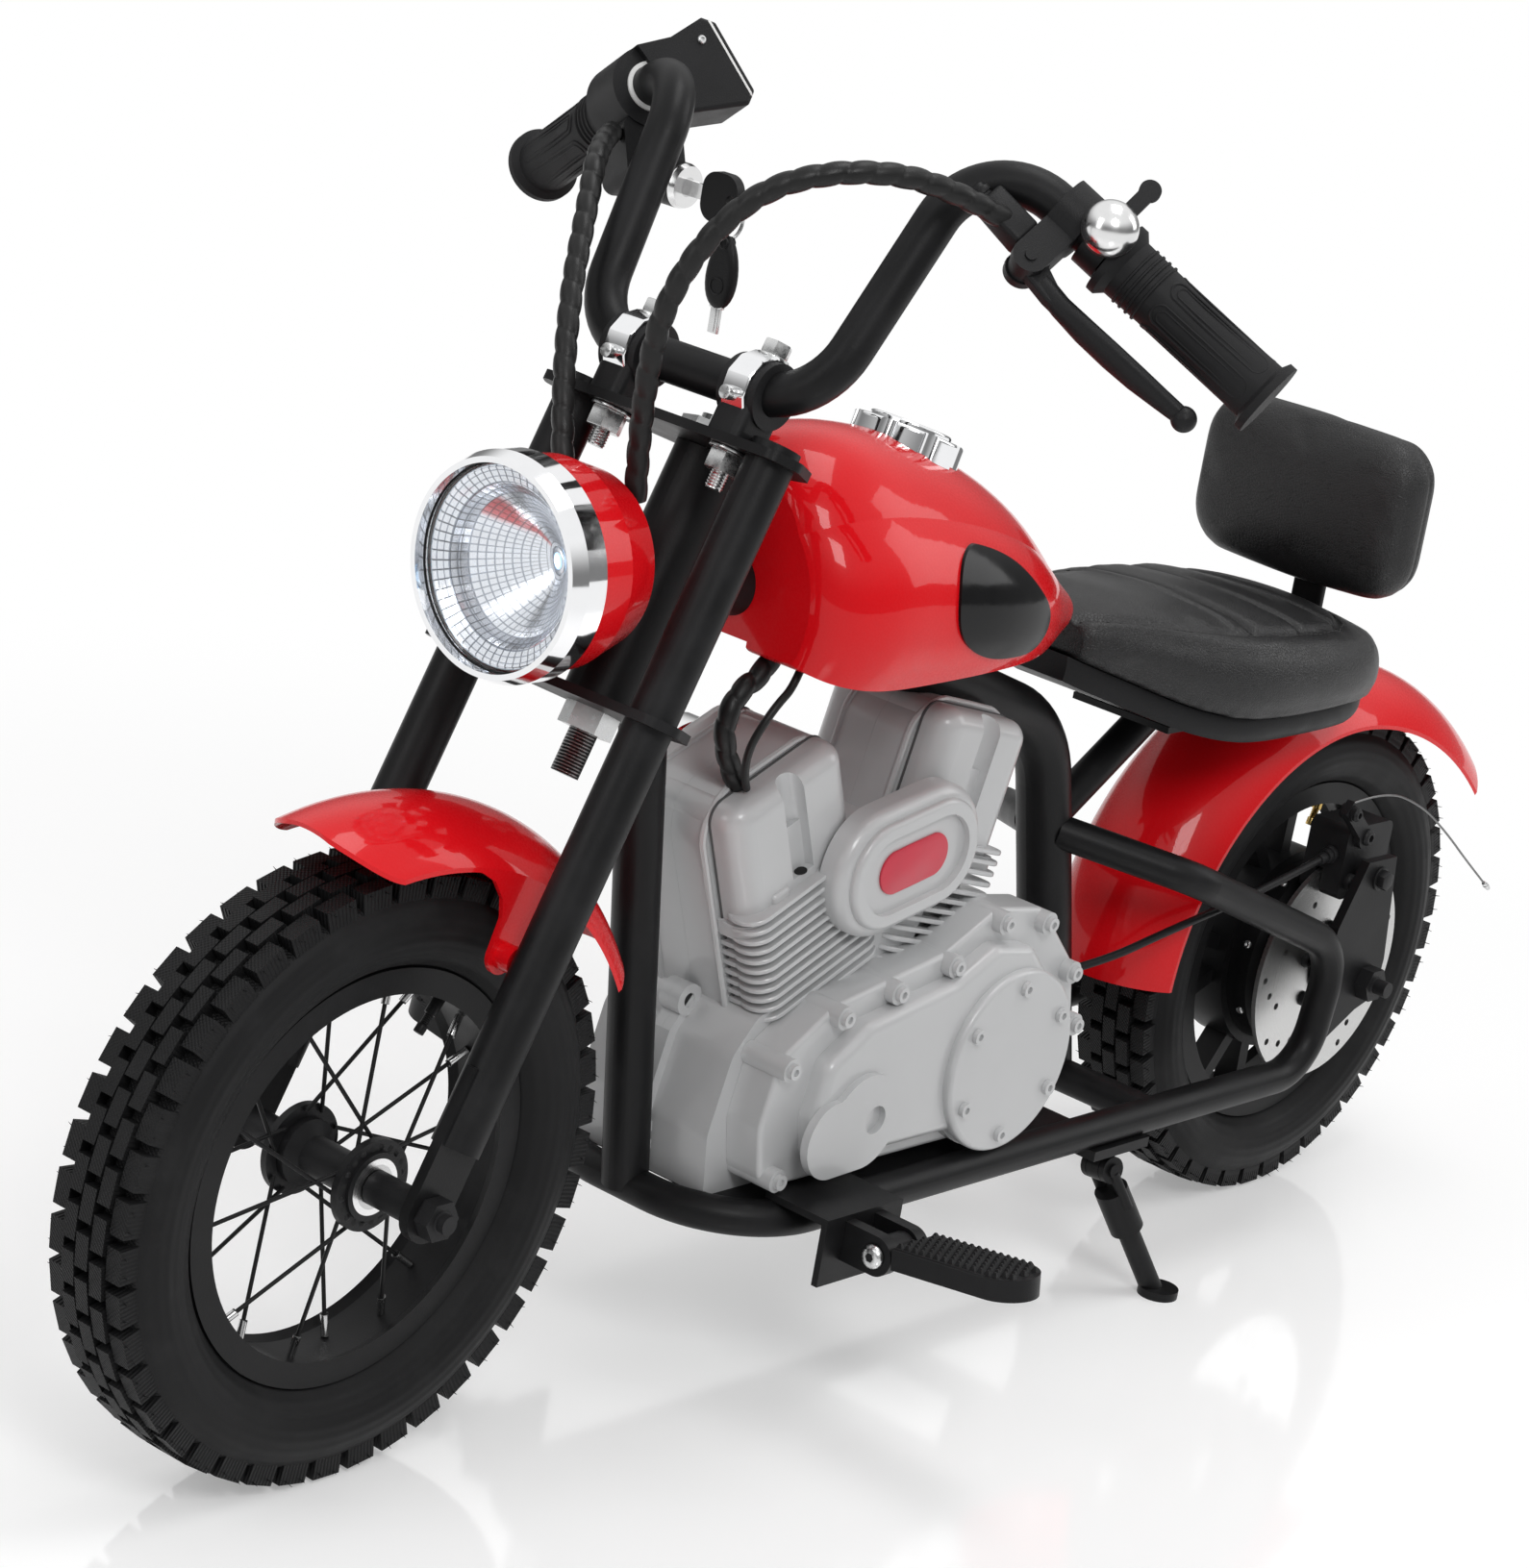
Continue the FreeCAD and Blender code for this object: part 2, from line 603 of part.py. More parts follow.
def brake_disc():
    """Flat drilled disc: pad, centre hole and rows of vent holes in a circular pattern."""
    body = doc.addObject("PartDesign::Body", "brake_disc")
    sketch = body.newObject("Sketcher::SketchObject", "disc_outline")
    sketch.AttachmentSupport = [(plane_of(body, "XY_Plane"), "")]
    sketch.MapMode = "FlatFace"
    for radius in (size("disc_radius"), boss_radius - 6 + seat_gap):
        ring = sketch.addGeometry(Part.Circle(ORIGIN, Z_AXIS, radius), False)
        sketch.addConstraint(Sketcher.Constraint("Coincident", ring, 3, -1, 1))
        key = sketch.addConstraint(Sketcher.Constraint("Radius", ring, float(radius)))
        sketch.setExpression("Constraints[%d]" % key, radius.text)
    pad = body.newObject("PartDesign::Pad", "disc_pad")
    pad.Profile = sketch
    bind(pad, "Length", disc_thickness)
    doc.recompute()
    vents = body.newObject("Sketcher::SketchObject", "disc_vents")
    vents.AttachmentSupport = [(plane_of(body, "XY_Plane"), "")]
    vents.MapMode = "FlatFace"
    for inset, turn in ((7, 0), (14, 11), (21, 22)):
        reach = size("disc_radius") - inset
        at = Vector(reach * math.cos(math.radians(turn)), reach * math.sin(math.radians(turn)), 0)
        hole = vents.addGeometry(Part.Circle(at, Z_AXIS, 2.2), False)
        vents.addConstraint(Sketcher.Constraint("Radius", hole, 2.2))
        for kind, number in (("DistanceX", reach * math.cos(math.radians(turn))),
                             ("DistanceY", reach * math.sin(math.radians(turn)))):
            key = vents.addConstraint(Sketcher.Constraint(kind, -1, 1, hole, 3, float(number)))
            vents.setExpression("Constraints[%d]" % key, number.text)
    pocket = body.newObject("PartDesign::Pocket", "disc_vent_cut")
    pocket.Profile = vents
    pocket.Type = 1
    pocket.Midplane = True
    doc.recompute()
    pattern = body.newObject("PartDesign::PolarPattern", "disc_vent_pattern")
    pattern.Originals = [pocket]
    pattern.Axis = (sketch, ["N_Axis"])
    pattern.Angle = 360
    pattern.Occurrences = 9
    body.Tip = pattern
    body.Placement = Placement(rear_axle_at + Y_AXIS * (disc_offset - disc_thickness / 2), wheel_turn)
    doc.recompute()
    return body


node(brake_disc(), "brake_disc")

# Frame

backbone_radius = size("backbone_radius")
down_tube_radius = size("down_tube_radius")
rail_radius = size("rail_radius")
rail_half_track = size("rail_half_track")
rail_height = size("rail_height")
cradle_front = size("cradle_front")
cradle_rear = size("cradle_rear")
stay_height = size("stay_height")
upper_clamp_height = size("upper_clamp_height")
lower_clamp_height = size("lower_clamp_height")
clamp_thickness = size("clamp_thickness")
head_tube_radius = size("head_tube_radius")
stem_radius = size("stem_radius")
head_low = lower_clamp_height + clamp_thickness / 2 + clear_gap
head_high = upper_clamp_height - clamp_thickness / 2 - clear_gap
seat_tube_foot = Vector(-189, 0, rail_height)
seat_corner = Vector(-122, 0, 330)
backbone_head = fork_point(stem_ahead, 0, head_low + (head_high - head_low) * 0.6)
down_tube_head = fork_point(stem_ahead - 6, 0, head_low + (head_high - head_low) * 0.38)
down_tube_foot = Vector(cradle_front, 0, rail_height)
strut_seat = Vector(-226, 0, size("seat_base") - size("seat_pan_depth") - 4)
strut_foot = seat_tube_foot + (seat_corner - seat_tube_foot) * 0.72


def spine_shape():
    head = Part.makeCylinder(head_tube_radius, head_high - head_low, fork_point(stem_ahead, 0, head_low), fork_up)
    backbone = swept_tube([backbone_head, seat_corner, seat_tube_foot], [70], backbone_radius)
    down = Part.makeCylinder(down_tube_radius, (down_tube_head - down_tube_foot).Length, down_tube_foot,
                             down_tube_head - down_tube_foot)
    strut = Part.makeCylinder(rail_radius, (strut_seat - strut_foot).Length, strut_foot, strut_seat - strut_foot)
    rest = Part.makeBox(60, 70, 4, strut_seat + Vector(-30, -35, 0))
    spine = fused([head, backbone, down, strut, rest])
    above_rest = Part.makeBox(120, 120, 30, strut_seat + Vector(-60, -60, 4))
    bore = Part.makeCylinder(stem_radius + clear_gap, head_high - head_low + 2,
                             fork_point(stem_ahead, 0, head_low - 1), fork_up)
    # the tubes are trimmed where they land on the cradle tube and its rear cross tube
    front_run = Part.makeCylinder(rail_radius + seat_gap / 2, rail_half_track * 2,
                                  down_tube_foot - Y_AXIS * rail_half_track, Y_AXIS)
    rear_run = Part.makeCylinder(rail_radius + seat_gap / 2, rail_half_track * 2,
                                 seat_tube_foot - Y_AXIS * rail_half_track, Y_AXIS)
    spine = spine.cut(bore).cut(above_rest).cut(front_run).cut(rear_run)
    return max(spine.Solids, key=lambda solid: solid.Volume)


node(feature("frame_spine", spine_shape()), "frame_spine")

stay_head = Vector(-142, backbone_radius * 0.6, 266)
stay_knee = Vector(-196, rail_half_track - 6, 250)
stay_bend = Vector(cradle_rear, rail_half_track, stay_height)
rail_bend = Vector(cradle_rear + 12, rail_half_track, rail_height)
front_bend = Vector(cradle_front, rail_half_track, rail_height)
plate_low = rail_half_track - 8
casing_floor = size("casing_floor")
stand_pivot = Vector(-151, rail_half_track, rail_height - rail_radius - 16)
stand_foot = Vector(-200, rail_half_track + 20, 0)
stand_folded = Vector(-0.985, 0.17, 0)
stand_axis = (stand_foot - stand_pivot).normalize().cross(stand_folded).normalize()
stand_lug_half = 5


def cradle_shape():
    """One bent tube on each side, cross tube, dropout plates, tray and kickstand lug, all welded."""
    corners = [stay_head, stay_knee, stay_bend, rail_bend, front_bend]
    half = swept_tube(corners + [Vector(cradle_front, 0, rail_height)], [34, 34, 34, 60], rail_radius)
    # the stay stops at the side of the seat tube
    seat_run = Part.makeCylinder(backbone_radius + seat_gap / 2, (seat_corner - seat_tube_foot).Length + 30,
                                 seat_tube_foot, seat_corner - seat_tube_foot)
    strut_run = Part.makeCylinder(rail_radius + seat_gap / 2, (strut_seat - strut_foot).Length, strut_foot,
                                  strut_seat - strut_foot)
    half = max(half.cut(seat_run).cut(strut_run).Solids, key=lambda solid: solid.Volume)
    cross = Part.makeCylinder(rail_radius, rail_half_track * 2, seat_tube_foot - Y_AXIS * rail_half_track, Y_AXIS)
    tray = Part.makeBox(cradle_front + 105, rail_half_track * 2, 3,
                        Vector(-120, -rail_half_track, casing_floor - 3))
    reach = rear_axle_at.x
    left_plate = prism_xz([(cradle_rear - 2, stay_height + 10), (cradle_rear + 8, rail_height + 4),
                           (reach + 4, rear_axle_at.z - 18), (reach - 16, rear_axle_at.z - 12),
                           (reach - 18, rear_axle_at.z + 12), (reach - 8, rear_axle_at.z + 80),
                           (reach + 22, rear_axle_at.z + 80)], plate_low, plate_low + dropout_thickness)
    right_plate = mirrored(prism_xz([(cradle_rear - 2, stay_height + 4), (cradle_rear + 8, rail_height + 4),
                                     (reach + 4, rear_axle_at.z - 18), (reach - 16, rear_axle_at.z - 12),
                                     (reach - 18, rear_axle_at.z + 12), (reach + 4, rear_axle_at.z + 20)],
                                    plate_low, plate_low + dropout_thickness))
    stand_plate = Part.makeBox(52, 22, 6, Vector(-177, rail_half_track - 11, rail_height - rail_radius - 4))
    lug = Part.makeCylinder(8, 2 * stand_lug_half, stand_pivot - stand_axis * stand_lug_half, stand_axis)
    neck = Part.makeBox(12, 8, 16, Vector(-6, -4, 0))
    neck.Placement = Placement(stand_pivot, Rotation(Y_AXIS, stand_axis))
    whole = fused([half, mirrored(half), cross, tray, left_plate, right_plate, stand_plate, lug, neck])
    axle_hole = Part.makeCylinder(axle_radius + seat_gap / 2, 400, rear_axle_at - Y_AXIS * 200, Y_AXIS)
    pin_hole = Part.makeCylinder(4 + running_gap, 60, stand_pivot - stand_axis * 30, stand_axis)
    return whole.cut(axle_hole).cut(pin_hole)


node(feature("frame_cradle", cradle_shape()), "frame_cradle")

# Rear axle: the fixed shaft of the hub motor
rear_shaft_end = rail_half_track + 16
rear_collar = plate_low - seat_gap / 2
rear_nut_face = plate_low + dropout_thickness + seat_gap / 2 + nut_height
rear_shaft = turned("rear_shaft", shaft_profile(disc_offset + disc_thickness / 2 + 2 + clear_gap, rear_collar,
                                                rear_nut_face, rear_shaft_end), rear_wheel_place)
node(group("rear_axle", [rear_shaft] + axle_nuts("rear", rear_axle_at, plate_low + dropout_thickness)), "rear_axle")

# Kickstand: cheeks round the lug, sleeve, leg and a flat foot


def stand_shape():
    down = (stand_foot - stand_pivot).normalize()
    cheeks = []
    for side in (1, -1):
        start = stand_pivot + stand_axis * (side * (stand_lug_half + clear_gap))
        cheek = Part.makeCylinder(8, 4, start, stand_axis * side)
        arm = Part.makeCylinder(3.2, 26, start + stand_axis * (side * 3.4) + down * 2, down)
        cheeks += [cheek, arm]
    pin = Part.makeCylinder(4, 2 * (stand_lug_half + clear_gap + 6), stand_pivot
                            - stand_axis * (stand_lug_half + clear_gap + 6), stand_axis)
    sleeve = Part.makeCylinder(10, 30, stand_pivot + down * 17, down)
    leg = Part.makeCylinder(6.5, (stand_foot - stand_pivot).Length - 20, stand_pivot + down * 17, down)
    foot = Part.makeCylinder(12, 5, stand_foot + Vector(0, 3, 0), Z_AXIS)
    whole = fused(cheeks + [pin, sleeve, leg, foot])
    below = Part.makeBox(100, 100, 30, stand_foot + Vector(-50, -50, -30))
    return whole.cut(below)


node(feature("kickstand_leg", stand_shape()), "kickstand_leg")

# Foot peg brackets and pegs
peg_pivot_half = size("peg_pivot_half")
peg_length = size("peg_length")
peg_width = size("peg_width")
peg_x = 113
peg_pivot_height = rail_height
peg_pin_radius = 4
clevis_gap = 16


def peg_mount_shape():
    """Bent plate from the top of the rail, with two clevis ears."""
    top = rail_height + rail_radius + seat_gap
    width = peg_width + 26
    inner = rail_half_track - 10
    outer = peg_pivot_half - 22
    shelf = Part.makeBox(width, outer - inner, 4, Vector(peg_x - width / 2, inner, top))
    skirt = Part.makeBox(width, 4, 38, Vector(peg_x - width / 2, outer - 4, top - 34))
    ears = []
    for side in (1, -1):
        start = side * clevis_gap / 2 if side > 0 else -clevis_gap / 2 - 8
        ear = Part.makeBox(8, 22, 22, Vector(peg_x + start, outer, peg_pivot_height - 11))
        tip = Part.makeCylinder(11, 8, Vector(peg_x + start, peg_pivot_half, peg_pivot_height), X_AXIS)
        ears += [ear, tip]
    whole = fused([shelf, skirt] + ears)
    hole = Part.makeCylinder(peg_pin_radius + running_gap, 80,
                             Vector(peg_x - 40, peg_pivot_half, peg_pivot_height), X_AXIS)
    return whole.cut(hole)


def peg_shape():
    """Tread plate with a knuckle and hinge pin; small pyramids on top."""
    knuckle_width = clevis_gap - 2 * clear_gap
    knuckle = Part.makeCylinder(9, knuckle_width, Vector(peg_x - knuckle_width / 2, peg_pivot_half,
                                                         peg_pivot_height), X_AXIS)
    pin = Part.makeCylinder(peg_pin_radius, clevis_gap + 24, Vector(peg_x - clevis_gap / 2 - 12, peg_pivot_half,
                                                                    peg_pivot_height), X_AXIS)
    start = peg_pivot_half + 13
    neck = Part.makeBox(knuckle_width, 14, 12, Vector(peg_x - knuckle_width / 2, peg_pivot_half,
                                                      peg_pivot_height - 6))
    end = peg_pivot_half + peg_length - peg_width / 2
    slab = Part.makeBox(peg_width, end - start, 12, Vector(peg_x - peg_width / 2, start, peg_pivot_height - 4))
    nose = Part.makeCylinder(peg_width / 2, 12, Vector(peg_x, end, peg_pivot_height - 4), Z_AXIS)
    tread = fused([neck, slab, nose])
    tread.rotate(Vector(peg_x, peg_pivot_half, peg_pivot_height), X_AXIS, 8)
    return fused([knuckle, pin, tread])


peg_mount = peg_mount_shape()
node(feature("peg_mounts", Part.makeCompound([peg_mount, mirrored(peg_mount)])), "peg_mounts")
peg = peg_shape()
node(feature("left_peg", peg), "left_peg")
node(feature("right_peg", mirrored(peg)), "right_peg")

# Steering

fork_tube_radius = size("fork_tube_radius")
fork_top = size("fork_top")


def clamp_plate(name, height):
    """Plate that joins the fork legs to the stem, in the fork's frame."""
    reach = fork_half_track + fork_tube_radius
    stem_back = stem_ahead - head_tube_radius - 4
    points = [(Size(18.0), -reach), (Size(18.0), reach), (Size(4.0), reach + 9), (Size(-18.0), reach),
              (stem_back, Size(8.0)), (stem_back, Size(-8.0)), (Size(-18.0), -reach), (Size(4.0), -reach - 9)]
    place = fork_place.multiply(Placement(Vector(0, 0, height - clamp_thickness / 2), Rotation()))
    plate = padded_plate(name + "_plate", points, clamp_thickness, place, Size(7.0))
    holes = [(fork_tube_radius + seat_gap / 2, fork_point(0, side * fork_half_track, height - clamp_thickness),
              fork_up, clamp_thickness * 2) for side in (1, -1)]
    holes.append((stem_radius + seat_gap / 2, fork_point(stem_ahead, 0, height - clamp_thickness), fork_up,
                  clamp_thickness * 2))
    return bored(name, plate, holes)


node(group("fork_clamp_plates", [clamp_plate("upper_clamp", upper_clamp_height),
                                 clamp_plate("lower_clamp", lower_clamp_height)]), "fork_clamp_plates")

stem_low = lower_clamp_height - 38
stem_high = upper_clamp_height + clamp_thickness / 2 + 12
stem_shoulder = lower_clamp_height - clamp_thickness / 2
stud_radius = stem_radius * 0.6
stem = fuse("stem_bar", [
    cylinder("stem_tube", stem_radius, stem_high - stem_shoulder, fork_point(stem_ahead, 0, stem_shoulder), fork_up),
    cylinder("stem_stud", stud_radius, stem_shoulder + 4 - stem_low, fork_point(stem_ahead, 0, stem_low), fork_up),
])
stem_nut_low = hex_nut("stem_nut_low", stud_radius * 3.4, Size(12.0), stud_radius + seat_gap / 2,
                       fork_point(stem_ahead, 0, stem_shoulder - 12 - seat_gap / 2), fork_up)
stem_nut_high = hex_nut("stem_nut_high", stem_radius * 3, Size(8.0), stem_radius + seat_gap / 2,
                        fork_point(stem_ahead, 0, upper_clamp_height + clamp_thickness / 2 + seat_gap / 2), fork_up)
node(group("steering_stem", [stem, stem_nut_low, stem_nut_high]), "steering_stem")


def fork_leg_shape():
    """Tube with a flat rounded dropout plate welded into its lower end, in the fork's frame."""
    tube = Part.makeCylinder(fork_tube_radius, fork_top - size("fork_tube_foot"),
                             Vector(0, fork_half_track, size("fork_tube_foot")))
    blade = Part.makeBox(2 * fork_tube_radius + 4, dropout_thickness, size("fork_tube_foot") + 40,
                         Vector(-fork_tube_radius - 2, dropout_inner, 0))
    tip = Part.makeCylinder(fork_tube_radius + 2, dropout_thickness, Vector(0, dropout_inner, 0), Y_AXIS)
    hole = Part.makeCylinder(axle_radius + seat_gap / 2, 60, Vector(0, fork_half_track - 30, 0), Y_AXIS)
    return fused([tube, blade, tip]).cut(hole)


leg = fork_leg_shape()
node(feature("fork_legs", Part.makeCompound([leg, mirrored(leg)]), fork_place), "fork_legs")


def fender_shape(radius, wall, half_width, drop, start, end):
    """Crowned strip about Y from angle start to end, measured from straight ahead, upwards."""
    def at(reach, left):
        return Vector(reach, left, 0)

    inner = radius - wall
    edges = [
        Part.Arc(at(radius - drop, -half_width), at(radius, 0), at(radius - drop, half_width)).toShape(),
        Part.LineSegment(at(radius - drop, half_width), at(inner - drop, half_width)).toShape(),
        Part.Arc(at(inner - drop, half_width), at(inner, 0), at(inner - drop, -half_width)).toShape(),
        Part.LineSegment(at(inner - drop, -half_width), at(radius - drop, -half_width)).toShape(),
    ]
    face = Part.Face(Part.Wire(edges))
    face.rotate(ORIGIN, Y_AXIS, -start)
    return face.revolve(ORIGIN, Y_AXIS, start - end)


def rounded_ends(strip, front, back, half_width, corner):
    """Keep what lies inside a rounded rectangle, as seen from above."""
    plan = rounded_slab(front - back, 2 * half_width + 1, 800, corner)
    plan.translate(Vector((front + back) / 2, 0, -400))
    return strip.common(plan)


fender_wall = size("fender_wall")
front_fender_radius = size("front_fender_radius")
front_fender_half = tyre_half_width + 11
front_fender_drop = 24
front_fender_start = 74
fender_ear_height = 128


def front_fender_piece():
    """Strip with a flared ear on each side that is bolted to the fork legs."""
    strip = fender_shape(front_fender_radius, fender_wall, front_fender_half, front_fender_drop,
                         front_fender_start, 150)
    tip = front_fender_radius * math.cos(math.radians(front_fender_start))
    strip = rounded_ends(strip, tip, -front_fender_radius - 60, front_fender_half, 36)
    # the ear flares from its bolt up to the edge of the strip
    edge = front_fender_radius - front_fender_drop - fender_wall / 2
    flare = [(10, fender_ear_height), (12, fender_ear_height + 16), (18, fender_ear_height + 25),
             (28, fender_ear_height + 31)]
    brim = [(along, math.sqrt(edge ** 2 - along ** 2)) for along in (44, 30, 15, 0, -15, -30, -44)]
    outline = flare + brim + [(-along, height) for along, height in reversed(flare)]
    ears = []
    for side in (1, -1):
        low = side * front_fender_half - (fender_wall if side > 0 else 0)
        ear = prism_xz(outline, low, low + fender_wall)
        foot = Part.makeCylinder(10, fender_wall, Vector(0, low, fender_ear_height), Y_AXIS)
        start = Vector(0, side * (front_fender_half - fender_wall), fender_ear_height)
        boss = Part.makeCylinder(7, fork_half_track - fork_tube_radius - clear_gap - front_fender_half + fender_wall,
                                 start, Y_AXIS * side)
        for piece in (ear, foot, boss):
            piece.rotate(ORIGIN, Y_AXIS, -math.degrees(rake))
            ears.append(piece)
    return fused([strip] + ears)


node(feature("front_fender", front_fender_piece(), Placement(front_axle_at, Rotation())), "front_fender")

rear_fender_radius = size("rear_fender_radius")
rear_fender_at = rear_axle_at + Vector(10, 0, 0)
rear_fender_half = tyre_half_width + 16
rear_fender_drop = 30
rear_fender_turn = 95
tail_radius = rear_fender_radius * 1.4


def rear_fender_piece():
    """Strip round the wheel that runs out into a flatter tail, ending as far back as the front tyre is ahead."""
    front = fender_shape(rear_fender_radius, fender_wall, rear_fender_half, rear_fender_drop, 3, rear_fender_turn)
    lean = math.radians(rear_fender_turn)
    shift = Vector(math.cos(lean), 0, math.sin(lean)) * (rear_fender_radius - tail_radius)
    reach = front_tyre_radius + 10 + shift.x
    tail_end = 180 - math.degrees(math.acos(reach / tail_radius))
    tail = fender_shape(tail_radius, fender_wall, rear_fender_half, rear_fender_drop, rear_fender_turn, tail_end)
    tail.translate(shift)
    tail = rounded_ends(tail, 200, tail.BoundBox.XMin, rear_fender_half, 24)
    return fused([front, tail])


node(feature("rear_fender", rear_fender_piece(), Placement(rear_fender_at, Rotation())), "rear_fender")

# Headlight, facing straight ahead
headlight_radius = size("headlight_radius")
headlight_depth = size("headlight_depth")
bezel_depth = Size(21.0)
headlight_at = fork_point(70, 0, 299) + X_AXIS * 12
headlight_place = aligned(headlight_at, X_AXIS)
bowl_wall = Size(2.5)
rim_inner = headlight_radius - 6


def bowl_profile():
    """Section of the round bowl behind the bezel: outside, then back along the inside."""
    outer = [(headlight_radius - 3, -bezel_depth - seat_gap), (headlight_radius - 4, -bezel_depth - headlight_depth * 0.3),
             (headlight_radius * 0.8, -bezel_depth - headlight_depth * 0.62),
             (headlight_radius * 0.5, -bezel_depth - headlight_depth * 0.86),
             (headlight_radius * 0.2, -bezel_depth - headlight_depth * 0.98), (Size(0.0), -bezel_depth - headlight_depth)]
    inner = [(Size(0.0), bowl_wall - bezel_depth - headlight_depth),
             (headlight_radius * 0.5 - bowl_wall, bowl_wall - bezel_depth - headlight_depth * 0.86),
             (headlight_radius * 0.8 - bowl_wall, -bezel_depth - headlight_depth * 0.6),
             (headlight_radius - 4 - bowl_wall, -bezel_depth - headlight_depth * 0.3),
             (headlight_radius - 3 - bowl_wall, -bezel_depth - seat_gap)]
    return outer + inner


def headlight_bucket():
    bowl = turned("headlight_bowl", bowl_profile(), headlight_place)
    foot_low = lower_clamp_height + clamp_thickness / 2 + seat_gap / 2
    post = cylinder("headlight_post", Size(8.0), 26 + seat_gap, fork_point(14, 0, foot_low), fork_up)
    return fuse("headlight_bucket", [bowl, post])


node(headlight_bucket(), "headlight_bucket")
bezel_profile = [
    (rim_inner, Size(0.0)), (headlight_radius - 3, Size(0.0)), (headlight_radius, -bezel_depth * 0.4),
    (headlight_radius, -bezel_depth), (headlight_radius - 5, -bezel_depth), (headlight_radius - 5, -bezel_depth * 0.5),
    (rim_inner, -bezel_depth * 0.35),
]
node(turned("headlight_bezel", bezel_profile, headlight_place), "headlight_bezel")
lens_profile = [
    (Size(0.0), -bezel_depth * 0.35 - seat_gap), (headlight_radius - 6, -bezel_depth * 0.35 - seat_gap),
    (headlight_radius - 6, -bezel_depth * 0.35 - 3), (Size(0.0), -bezel_depth * 0.35 - 3),
]
node(turned("headlight_lens", lens_profile, headlight_place), "headlight_lens")
reflector_profile = [
    (Size(8.0), -bezel_depth - headlight_depth * 0.5), (headlight_radius - 7, -bezel_depth * 0.35 - 3 - seat_gap),
    (headlight_radius - 7, -bezel_depth * 0.35 - 5), (Size(8.0), -bezel_depth - headlight_depth * 0.5 - 2),
    (Size(0.0), -bezel_depth - headlight_depth * 0.5 - 2), (Size(0.0), -bezel_depth - headlight_depth * 0.5),
]
node(turned("headlight_reflector", reflector_profile, headlight_place), "headlight_reflector")

# Handlebar: high rise, pulled back grips
bar_radius = size("bar_radius")
bar_half_width = size("bar_half_width")
bar_clamp_half = size("bar_clamp_half")
bar_clamp_rise = size("bar_clamp_rise")
grip_length = size("grip_length")
grip_radius = size("grip_radius")
grip_end_wall = 4
bar_ahead = 2
rise_foot = Vector(bar_ahead, bar_clamp_half + 36, bar_clamp_rise)
rise_top = Vector(bar_ahead - 10, bar_clamp_half + 57, bar_clamp_rise + 155)
grip_end = Vector(bar_ahead - 103, bar_half_width, bar_clamp_rise + 94)
grip_way = (grip_end - rise_top).normalize()


def handlebar_shape():
    end = grip_end - grip_way * grip_end_wall
    left = swept_tube([Vector(bar_ahead, 0, bar_clamp_rise), rise_foot, rise_top, end], [40, 38], bar_radius)
    return left.fuse(mirrored(left)).removeSplitter()


node(feature("handlebar", handlebar_shape(), fork_place), "handlebar")


def side_way(side):
    """Unit vector along a grip, outwards, in the fork's frame; side is 1 on the left."""
    return Vector(grip_way.x, side * grip_way.y, grip_way.z)


def side_end(side):
    return Vector(grip_end.x, side * grip_end.y, grip_end.z)


def grip_body(name, side, length):
    """Closed rubber sleeve with an end flange; measured inwards from its closed end."""
    bore = bar_radius + running_gap
    flange = grip_radius + 4
    profile = [
        (Size(0.0), Size(0.0)), (flange, Size(0.0)), (flange, Size(4.0)), (grip_radius, Size(6.0)),
        (grip_radius - 1, length * 0.5), (grip_radius, length - 8), (flange, length - 4), (flange, length),
        (bore, length), (bore, Size(grip_end_wall) - seat_gap), (Size(0.0), Size(grip_end_wall) - seat_gap),
    ]
    place = fork_place.multiply(aligned(side_end(side), side_way(side) * -1))
    return turned(name, profile, place)


node(grip_body("left_grip", 1, grip_length), "left_grip")
node(grip_body("throttle_grip", -1, grip_length), "throttle_grip")


def across_grip(side, wish):
    """The part of a wished direction that is square to the grip, as a unit vector."""
    way = side_way(side)
    return (wish - way * way.dot(wish)).normalize()


# Directions are given in the fork's frame, where up leans back by the rake.
world_up = fork_place.Rotation.inverted().multVec(Z_AXIS)
world_ahead = fork_place.Rotation.inverted().multVec(X_AXIS)


def framed(origin, along, up):
    """A placement with Z along the bar and X towards up."""
    side = along.cross(up)
    turn = Rotation(up, side, along, "ZXY")
    return Placement(origin, turn)


def throttle_housing_shape():
    """Clamshell round the bar, with a display wedge above and a lock block below."""
    way = side_way(-1) * -1
    up = across_grip(-1, world_up)
    start = side_end(-1) + way * (grip_length + clear_gap)
    frame = framed(start, way, up)
    shell = Part.makeCylinder(22, 32)
    block = Part.makeBox(34, 34, 30, Vector(-50, -17, 1))
    block = block.makeFillet(6, [edge for edge in block.Edges if abs(edge.tangentAt(edge.FirstParameter).z) > 0.9])
    corners = [Vector(21, 8, 2), Vector(27, -12, 2), Vector(40, -32, 2), Vector(38, -40, 2), Vector(2, -60, 2),
               Vector(-6, -56, 2), Vector(-14, -18, 2)]
    wedge = Part.Face(Part.makePolygon(corners + corners[:1])).extrude(Z_AXIS * 34)
    wedge = wedge.makeFillet(2.5, [edge for edge in wedge.Edges if edge.CenterOfMass.y < -25])
    whole = fused([shell, block, wedge])
    whole = whole.cut(Part.makeCylinder(bar_radius + seat_gap / 2, 80, Vector(0, 0, -10)))
    whole.Placement = fork_place.multiply(frame)
    return whole


housing = throttle_housing_shape()
node(feature("throttle_housing", housing), "throttle_housing")

